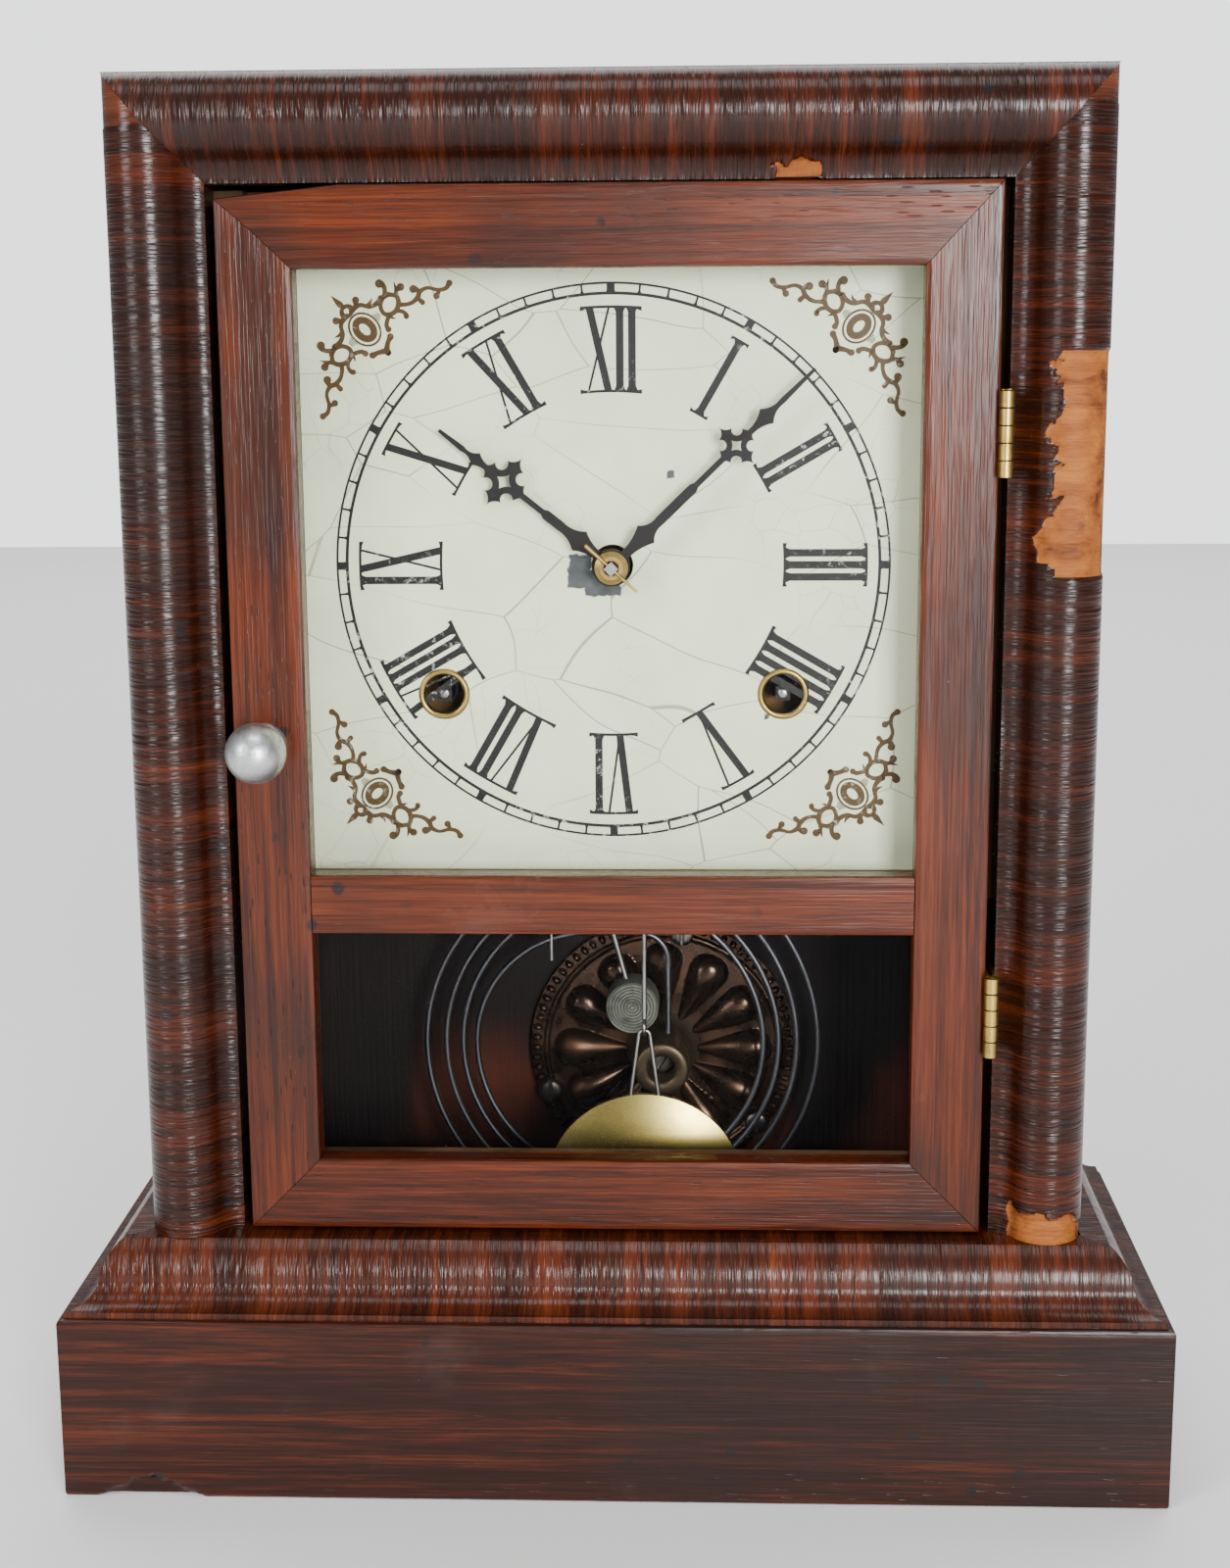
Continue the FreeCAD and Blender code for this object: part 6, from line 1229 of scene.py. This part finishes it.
# Centre lines of one half of a corner's scrolls: towards the corner, across it, and the width there
SCROLLS = (
    ((11.71, 0.0, 0.08), (10.2, 0.0, 0.9), (8.7, 0.0, 1.6), (7.3, 0.0, 0.98)),
    (
        (7.2, 0.78, 0.87), (7.47, -0.58, 0.87), (6.48, -1.57, 0.87), (5.3, -1.12, 0.77),
        (5.12, 0.14, 0.87), (6.12, 1.14, 0.87), (7.2, 0.78, 0.87),
    ),
    (
        (5.3, 0.32, 1.28), (5.48, 2.13, 1.4), (4.82, 3.63, 1.12), (3.08, 4.78, 1.12), (2.29, 6.51, 1.28),
        (2.29, 8.32, 1.53),
    ),
    ((5.57, 2.58, 1.02), (6.15, 3.08, 1.28), (6.57, 3.57, 1.53)),
    ((3.68, 4.47, 0.92), (3.59, 5.65, 0.77), (4.09, 6.94, 0.08)),
    (
        (1.66, 10.39, 1.12), (2.11, 8.5, 1.28), (0.99, 6.8, 1.12), (-0.76, 6.21, 1.12),
        (-2.04, 7.23, 1.22), (-2.36, 9.0, 1.28), (-1.46, 10.7, 1.28), (0.05, 11.42, 1.17),
        (1.66, 10.39, 1.12),
    ),
    ((2.06, 9.34, 1.28), (3.26, 10.66, 1.17), (4.53, 11.06, 1.43), (5.14, 10.66, 1.79)),
    ((0.02, 11.53, 1.17), (0.88, 12.32, 1.07), (0.88, 13.47, 1.53), (0.78, 13.8, 1.63)),
    ((0.61, 12.23, 1.02), (1.75, 12.9, 0.66), (2.87, 13.58, 0.08)),
    (
        (-1.82, 10.41, 1.33), (-3.08, 11.6, 1.02), (-3.95, 13.26, 1.12), (-3.99, 15.03, 1.28),
        (-3.45, 16.47, 1.22), (-4.2, 18.42, 0.92), (-6.37, 19.86, 1.02), (-7.45, 21.52, 1.12),
        (-7.23, 23.04, 1.38),
    ),
    ((-3.54, 16.2, 1.12), (-2.4, 16.11, 1.38), (-1.82, 15.68, 1.68)),
    ((-4.2, 14.81, 1.02), (-5.18, 14.92, 1.22), (-5.72, 14.95, 1.12)),
    ((-6.73, 19.93, 0.87), (-6.98, 19.1, 1.17), (-7.13, 18.53, 1.43)),
    ((-2.51, 8.93, 1.12), (-3.77, 9.83, 1.02), (-5.0, 9.9, 1.17), (-5.18, 9.65, 1.17)),
    ((-1.75, 7.23, 1.28), (-2.44, 5.68, 1.12), (-3.23, 4.53, 1.17), (-4.2, 4.2, 1.28)),
    ((-2.22, 6.76, 1.02), (-3.01, 6.98, 0.61), (-3.77, 7.52, 0.08)),
    ((-5.93, 3.55, 1.38), (-6.3, 1.97, 1.12), (-7.27, 0.63, 1.17), (-8.06, 0.05, 1.33)),
    ((-7.49, 0.41, 1.12), (-6.76, -0.74, 1.02), (-6.15, -1.93, 1.02), (-5.75, -3.26, 1.38)),
)


def smooth_line(knots, count=7):
    """A curve through its knots: between two knots a cubic whose slopes are the chords past them."""
    knots = np.asarray(knots, float)
    before = np.vstack([knots[:1], knots[:-2]]) if len(knots) > 2 else knots[:1]
    after = np.vstack([knots[2:], knots[-1:]]) if len(knots) > 2 else knots[-1:]
    start, end = knots[:-1], knots[1:]
    leave, arrive = (end - before) / 2, (after - start) / 2
    t = np.linspace(0, 1, count, endpoint=False)[:, None, None]
    curve = (
        (2 * t ** 3 - 3 * t ** 2 + 1) * start + (t ** 3 - 2 * t ** 2 + t) * leave
        + (3 * t ** 2 - 2 * t ** 3) * end + (t ** 3 - t ** 2) * arrive
    )
    return np.vstack([curve.transpose(1, 0, 2).reshape(-1, knots.shape[1]), knots[-1:]])


def quads_along(line, widths):
    """A stroke as short quads, so that each outline stays convex."""
    edge = ribbon(line, widths)
    count = len(line)
    left, right = edge[:count], edge[count:][::-1]
    return [np.array([left[k], left[k + 1], right[k + 1], right[k]]) for k in range(count - 1)]


def disc_stroke(centre, radius, sides=20):
    """A round dot."""
    t = np.linspace(0, 2 * math.pi, sides, endpoint=False)
    return np.stack([centre[0] + radius * np.cos(t), centre[1] + radius * np.sin(t)], -1)


def oval_band(outer, inner, sides=48):
    """A flat band between two ovals, as quads."""
    t = np.linspace(0, 2 * math.pi, sides + 1)
    far = np.stack([np.cos(t) * outer[0], np.sin(t) * outer[1]], -1)
    near = np.stack([np.cos(t) * inner[0], np.sin(t) * inner[1]], -1)
    return [np.array([far[k], far[k + 1], near[k + 1], near[k]]) for k in range(sides)]


def corner_scrolls():
    """One corner's scrolls about its diagonal: the lines of one half, their mirror, and the bare oval."""
    half = []
    for knots in SCROLLS:
        line = smooth_line(knots)
        half += quads_along(line[:, :2], line[:, 2])
        if knots[-1][2] > 1.0:
            half.append(disc_stroke(knots[-1][:2], knots[-1][2] * 0.6))
    for number in range(3):
        v = 3.95 + number * 0.50
        reach = 1.15 - number * 0.22
        half.append(np.array([(-reach, v), (reach, v), (reach, v + 0.27), (-reach, v + 0.27)]))
    both = half + [stroke * (1, -1) for stroke in half]
    return both + oval_band((4.6, 3.85), (4.05, 3.3)) + oval_band((3.5, 2.8), (1.7, 1.05))


def mirror_corner(stroke, across, up):
    """A stroke of the corner's own frame carried to one of the dial's four corners."""
    way = np.array((-1.0, 1.0)) / math.sqrt(2)
    side = np.array((1.0, 1.0)) / math.sqrt(2)
    place = CORNER + stroke[:, :1] * way + stroke[:, 1:] * side
    return place * (-across, up) + HANDS


def hands():
    """The hands, their collet, arbor and pin keep their meshes, which carry their outlines."""
    renew_all(("minute_hand", "hour_hand"), metal("blackened_steel"))
    renew_all(("hand_collet", "hand_pin"), metal("rolled_brass"))
    renew("hand_arbor", metal("drawn_steel"))


# Pendulum room

def pendulum():
    """The bob: a lens spun about its axis, thinner with the power 2.2 of the way out to its rim.

    Its stirrup is a tube along two leaning legs and the bend between them.
    """
    t = np.linspace(0, 1, 40)
    front = np.stack([BOB_RADIUS * t, -(BOB_RIM + (BOB_HALF - BOB_RIM) * (1 - t ** 2.2))], -1)
    profile = np.concatenate([front, [(BOB_RADIUS, 0.0)], front[::-1] * (1, -1)])
    centre = [c * MM for c in BOB]
    brass = finish_named("spun_brass", spun_brass, centre, (0.50, 0.40, 0.115), (0.27, 0.20, 0.06))
    make_piece("bob", spun(profile, BOB, 160), brass, "pendulum", crease=50.0)
    wire, bend, half_foot = 0.5, 1.5, 3.8
    foot = np.array((-half_foot, BOB[2] + BOB_RADIUS * 0.965))
    middle = node_box("pendulum_bob")[1][2] - wire - bend
    lean = math.asin((half_foot - bend) / (middle - foot[1]))
    t = np.linspace(lean, math.pi - lean, 14)
    crown = np.stack([-bend * np.cos(t), middle + bend * np.sin(t)], -1)
    leg = foot + (crown[0] - foot) * np.linspace(0, 1, 9)[:-1, None]
    x, z = np.concatenate([leg, crown, leg[::-1] * (-1, 1)]).T
    surface = tube(in_space(BOB[0] + x, BOB[1], z), wire)
    make_piece("bob_stirrup", surface, metal("drawn_steel"), "pendulum", ("pendulum_bob",))
    renew("pendulum_rod", metal("drawn_steel"))


def tube(path, radius, sides=12):
    """A round wire: circles set square to the path, each turned as little as can be from the last."""
    along = np.gradient(path, axis=0)
    along /= np.linalg.norm(along, axis=1, keepdims=True)
    side = np.zeros_like(path)
    side[0] = np.cross(along[0], (0.0, 1.0, 0.3))
    side[0] /= np.linalg.norm(side[0])
    for k in range(1, len(path)):
        moved = side[k - 1] - along[k] * (side[k - 1] @ along[k])
        side[k] = moved / np.linalg.norm(moved)
    other = np.cross(along, side)
    t = np.linspace(0, 2 * math.pi, sides, endpoint=False)
    circle = np.cos(t)[None, :, None] * side[:, None, :] + np.sin(t)[None, :, None] * other[:, None, :]
    points = path[:, None, :] + radius * circle
    faces = grid_faces(len(path), sides, close_columns=True)
    return points.reshape(-1, 3), faces, end_faces(len(path), sides)


def gong():
    """The gong's base, boss, beads and screws, and the hammer's face; the coil keeps its mesh."""
    low, high = node_box("gong_base")
    front, back = low[1], high[1]
    plate = back - PLATE_THICK
    gong_dish(plate, back)
    gong_beads(plate)
    near = np.array([(BOSS_HOLE, 0.9), (4.3, 0.25), (5.0, 0.0), (6.9, 0.0), (7.6, 0.4), (7.8, 1.2)])
    far = np.array([(7.8, -3.4), (8.6, -1.6), (10.4, -0.4), (10.8, 0.0), (BOSS_HOLE, 0.0)])
    profile = [(BOSS_HOLE, plate), *(near + (0.0, front)), *(far + (0.0, plate))]
    make_piece("gong_boss", spun(profile, GONG, 96), metal("dull_bronze"), "case", crease=60.0)
    t = np.radians(SCREW_BEARINGS)
    ring = in_space(GONG[0] + SCREW_RING * np.sin(t), plate - 2.4, GONG[2] + SCREW_RING * np.cos(t))
    screws = [((GONG[0], front + 9.0, GONG[2]), 3.7, 30.0)] + [(place, 3.5, 0.0) for place in ring]
    for number, screw in enumerate(screws):
        name = f"base_screw_{number}"
        make_piece(name, slotted_head(*screw), metal("old_screw"), "case", crease=50.0)
    renew("gong_coil", metal("dark_wire"))
    rings = np.arange(1, HAMMER_RINGS + 1)[:, None, None] * (HAMMER_RADIUS / HAMMER_RINGS, 0.0)
    grooves = (rings + [(-0.34, 0.15), (-0.12, 0.42), (0.12, 0.15)]).reshape(-1, 2)
    edge = [(7.3, 0.05), (7.46, 0.4), (7.46, 8.8), (7.0, 9.2), (0.0, 9.2)]
    profile = np.concatenate([[(0.0, 0.15)], grooves, edge]) + (0.0, HAMMER_FACE)
    surface = spun(profile, HAMMER, 80)
    make_piece("hammer_face", surface, metal("hammer_grey"), body_carrying("hammer"))


def gong_dish(plate, back):
    """A dish over polar rings with teardrop lobes raised on it.

    Height over the plate at radius r and angle t: a lobe is the square root of what is left of one
    after the square of the way across it and the sixth power of the way along it, and its half width
    grows with r; the rim's roll is a half circle across its own radius.
    """
    rings, sides = 130, 480
    r = np.linspace(0.0, 1.0, rings)[:, None] * DISH_RADIUS
    t = np.linspace(0, 2 * math.pi, sides, endpoint=False)[None, :]
    step = 2 * math.pi / LOBES
    off = np.mod(t + step / 2, step) - step / 2
    wide = 1.0 + 4.9 * soft_step(7.0, 29.0, r)
    along = (r - LOBE_FROM) / LOBE_LONG
    inside = 1 - (off * r / wide) ** 2 - np.clip(2 * np.abs(along - 0.5), 0, None) ** 6
    lobe = np.sqrt(np.clip(inside, 0, 1)) * (1.2 + 3.4 * soft_step(9.0, 26.0, r))
    roll = np.sqrt(np.clip(1 - ((r - ROLL_RADIUS) / 0.9) ** 2, 0, 1)) * 1.2
    y = plate - lobe - roll
    sheet = np.stack([r * np.sin(t), y, r * np.cos(t)], -1)
    under = sheet.copy()
    under[..., 1] = back
    points = np.concatenate([sheet, under[-1:], under[:1]])
    surface = points.reshape(-1, 3) + GONG, grid_faces(len(points), sides, close_columns=True)
    make_piece("gong_dish", surface, metal("cast_iron"), "case", ("gong_base",), 60.0)


def gong_beads(plate):
    """Beads round the rim: half ellipsoids, longer across the rim than along it, one grid for each."""
    count = chosen("sizes").bead_count
    bearing = np.linspace(0, 2 * math.pi, count, endpoint=False)[:, None, None]
    rise = np.linspace(0, math.pi / 2, 5)[None, :, None]
    turn = np.linspace(0, 2 * math.pi, 10, endpoint=False)[None, None, :]
    outward = BEAD_RING + 1.65 * np.cos(rise) * np.cos(turn)
    aside = 1.15 * np.cos(rise) * np.sin(turn)
    height = 0.3 - 1.75 * np.sin(rise) + 0 * turn + 0 * bearing
    x = outward * np.sin(bearing) + aside * np.cos(bearing)
    z = outward * np.cos(bearing) - aside * np.sin(bearing)
    points = np.stack([x, plate + height, z], -1)
    low = points[:, :1, :, :].copy()
    low[..., 1] = plate + 0.5
    foot = low.mean(axis=2, keepdims=True) + 0 * low
    points = np.concatenate([foot, low, points], axis=1)
    rows = points.shape[1]
    one = grid_faces(rows, 10, close_columns=True)
    faces = (one[None] + (np.arange(count) * rows * 10)[:, None, None]).reshape(-1, 4)
    surface = points.reshape(-1, 3) + GONG, faces
    make_piece("gong_beads", surface, metal("cast_iron"), "case", crease=60.0)


def slotted_head(centre, radius, turn):
    """A screw head over polar rings: a low dome, less a slot where the way across it is under a tenth."""
    r = np.linspace(0, 1, 26)[:, None] * radius
    t = np.linspace(0, 2 * math.pi, 96, endpoint=False)[None, :]
    dome = 1.3 * np.sqrt(np.clip(1 - (r / radius) ** 4, 0, 1)) + 0 * t
    across = np.abs(r * np.sin(t - math.radians(turn)))
    slot = soft_step(radius * 0.14, radius * 0.09, across)
    height = np.minimum(dome, dome * (1 - slot) + 0.25 * slot)
    sheet = np.stack([r * np.sin(t), -height, r * np.cos(t)], -1)
    edge = sheet[-1:].copy()
    edge[..., 1] = 2.2
    middle = edge * (0.0, 1.0, 0.0)
    points = np.concatenate([sheet, edge, middle])
    return points.reshape(-1, 3) + centre, grid_faces(len(points), 96, close_columns=True)


def movement():
    """The movement keeps its meshes; low domes are spun on the tips of the two winding squares."""
    # Painted shade: plates and wheels get the darkened brass, so the winding holes show black.
    renew_all((
        "movement_front_plate", "movement_back_plate", "time_main_wheel", "strike_main_wheel",
        "second_wheel", "centre_wheel", "fourth_wheel", "escape_wheel", "pin_wheel", "locking_wheel",
        "fly", "motion_wheel", "hour_wheel",
    ), metal("brass_tarnished_and_shade_darkened"))
    renew_all((
        "movement_pillars", "mainsprings", "suspension_post", "verge", "strike_lever", "hammer",
    ), metal("drawn_steel"))
    t = np.linspace(0, math.pi / 2, 8)
    dome = np.stack([1.35 * np.sin(t), -0.5 * np.cos(t)], -1)
    dome = np.concatenate([dome, [(1.35, 0.2), (0.0, 0.2)]])
    # Painted shade: the winding squares are blackened so the holes read black round their bright domed tips.
    for node in ("time_winding_arbor", "strike_winding_arbor"):
        renew(node, metal("blackened_steel"))
        low, high = node_box(node)
        middle = (low + high) / 2
        surface = spun(dome + (0.0, low[1]), (middle[0], 0.0, middle[2]), 40)
        make_piece(node.replace("arbor", "tip"), surface, metal("drawn_steel"), body_carrying(node))


# Studio: each light's name, place and aim in metres, width, height and share of the window's power
LIGHTS = (
    ("window_light", (0.52, -1.55, 0.44), (0.0, 0.0, 0.24), 0.42, 0.50, 1.15),
    ("left_light", (-1.10, -1.10, 0.70), (0.0, 0.0, 0.20), 0.5, 0.7, 0.5),
    ("top_light", (0.0, -0.55, 1.5), (0.0, 0.0, 0.2), 0.8, 0.5, 0.22),
    ("floor_light", (0.0, 1.9, 2.4), (0.0, 1.9001, 0.0), 4.0, 2.6, 3.6),
)
FLOOR_REACH = 6.0
FLOOR_BACK = 2.6
SKY_LIGHT = 0.34
SKY_SEEN = 2.2


def studio():
    """A pale floor and world, four soft lights, and the camera at the photo's place."""
    scene = bpy.context.scene
    marks = np.linspace(-FLOOR_REACH, FLOOR_REACH, 9)
    x, y = np.meshgrid(marks, np.linspace(-FLOOR_REACH, FLOOR_BACK, 9), indexing="ij")
    mesh = bpy.data.meshes.new("studio_floor")
    mesh.from_pydata(in_space(x, y, 0.0).reshape(-1, 3).tolist(), [], grid_faces(9, 9).tolist())
    floor = bpy.data.objects.new("studio_floor", mesh)
    scene.collection.objects.link(floor)
    shade = chosen("studio").floor_shade
    r = Recipe(bpy.data.materials.new("pale_floor"))
    cloud = r.cloud(r.spot, 3.0, 3.0)
    paper = r.tint(cloud, (shade, shade, shade), (shade * 1.03, shade * 1.03, shade * 1.02))
    mesh.materials.append(r.finish(paper, 0.75))
    r = Recipe(bpy.data.worlds.new("studio_world"), "ShaderNodeOutputWorld")
    seen = r.node("ShaderNodeLightPath", out="Is Camera Ray")
    strength = r.node("ShaderNodeMapRange", None, {"Value": seen, "To Min": SKY_LIGHT, "To Max": SKY_SEEN})
    values = {"Color": (0.96, 0.97, 1.0, 1.0), "Strength": strength}
    scene.world = r.close(r.node("ShaderNodeBackground", None, values))
    for name, place, aim, width, height, share in LIGHTS:
        lamp = bpy.data.lights.new(name, "AREA")
        lamp.shape = "RECTANGLE"
        lamp.size = width
        lamp.size_y = height
        lamp.energy = chosen("studio").key_power * share
        lit = bpy.data.objects.new(name, lamp)
        lit.matrix_world = facing(place, np.subtract(aim, place))
        scene.collection.objects.link(lit)
    lens = bpy.data.cameras.new("view_camera")
    lens.lens = 52.74
    lens.sensor_width = 36.0
    camera = bpy.data.objects.new("view_camera", lens)
    camera.matrix_world = CAMERA_PLACE
    scene.collection.objects.link(camera)
    scene.camera = camera


def facing(place, way):
    """A matrix whose minus Z looks along a direction, its X level."""
    back = -np.asarray(way, float) / np.linalg.norm(way)
    right = np.cross((0.0, 0.0, 1.0), back)
    right /= np.linalg.norm(right)
    up = np.cross(back, right)
    rows = [[right[k], up[k], back[k], place[k]] for k in range(3)] + [[0.0, 0.0, 0.0, 1.0]]
    return Matrix(rows)


CAMERA_PLACE = (
    Matrix.Translation((0.02284, -0.5975, 0.2952))
    @ Matrix.Rotation(0.0387, 4, "Z")
    @ Matrix.Rotation(-0.1955, 4, "X")
    @ Matrix.Rotation(0.0064, 4, "Y")
    @ Matrix.Rotation(math.pi / 2, 4, "X")
)


# Commands

class PieceCommand:
    """What all the commands share: each runs its makers in order."""

    makers = ()

    def execute(self, context):
        for maker in self.makers:
            maker()
        return {"FINISHED"}


class CLOCK_OT_base(PieceCommand, bpy.types.Operator):
    """Makes the veneered plinth and the ogee moulding round it"""

    bl_idname = "clock.base"
    bl_label = "Plinth and mouldings"
    makers = (base_boards, base_mouldings)


class CLOCK_OT_case(PieceCommand, bpy.types.Operator):
    """Makes the half-round columns, the lintel and the case's boards"""

    bl_idname = "clock.case"
    bl_label = "Columns and case"
    makers = (columns, lintel, case_boards)


class CLOCK_OT_door(PieceCommand, bpy.types.Operator):
    """Makes the door's members, glass, knob and hinges"""

    bl_idname = "clock.door"
    bl_label = "Door"
    makers = (door_frame, door_glass, door_metal)


class CLOCK_OT_dial(PieceCommand, bpy.types.Operator):
    """Makes the dial's print, the rings of its winding holes and the hands' finish"""

    bl_idname = "clock.dial"
    bl_label = "Dial and hands"
    makers = (grommets, dial_print, hands)


class CLOCK_OT_pendulum(PieceCommand, bpy.types.Operator):
    """Makes the pendulum's bob and the gong's base"""

    bl_idname = "clock.pendulum"
    bl_label = "Pendulum and gong"
    makers = (pendulum, gong)


class CLOCK_OT_movement(PieceCommand, bpy.types.Operator):
    """Gives the movement's plates, wheels and arbors their metals"""

    bl_idname = "clock.movement"
    bl_label = "Movement"
    makers = (movement,)


class CLOCK_OT_studio(PieceCommand, bpy.types.Operator):
    """Sets up the floor, the lights and the camera"""

    bl_idname = "clock.studio"
    bl_label = "Studio"
    makers = (studio,)


OPERATORS = (
    CLOCK_OT_base, CLOCK_OT_case, CLOCK_OT_door, CLOCK_OT_dial, CLOCK_OT_pendulum, CLOCK_OT_movement,
    CLOCK_OT_studio,
)


class CLOCK_PT_panel(bpy.types.Panel):
    """The clock's pieces and what may be changed about them"""

    bl_idname = "CLOCK_PT_panel"
    bl_label = "Cottage shelf clock"
    bl_space_type = "VIEW_3D"
    bl_region_type = "UI"
    bl_category = "Clock"

    def draw(self, context):
        layout = self.layout
        for operator in OPERATORS:
            layout.operator(operator.bl_idname)
        for group in (context.scene.clock_finish, context.scene.clock_sizes, context.scene.clock_studio):
            box = layout.box()
            for name in group.__annotations__:
                box.prop(group, name)


GROUPS = (("clock_finish", ClockFinish), ("clock_sizes", ClockSizes), ("clock_studio", ClockStudio))


def register():
    for name, group in GROUPS:
        bpy.utils.register_class(group)
        setattr(bpy.types.Scene, name, bpy.props.PointerProperty(type=group))
    for made in OPERATORS + (CLOCK_PT_panel,):
        bpy.utils.register_class(made)


def unregister():
    for made in (CLOCK_PT_panel,) + OPERATORS[::-1]:
        bpy.utils.unregister_class(made)
    for name, group in GROUPS[::-1]:
        delattr(bpy.types.Scene, name)
        bpy.utils.unregister_class(group)


def main():
    register()
    bpy.ops.clock.base()
    bpy.ops.clock.case()
    bpy.ops.clock.door()
    bpy.ops.clock.dial()
    bpy.ops.clock.pendulum()
    bpy.ops.clock.movement()
    bpy.ops.clock.studio()


if __name__ == "__main__":
    main()
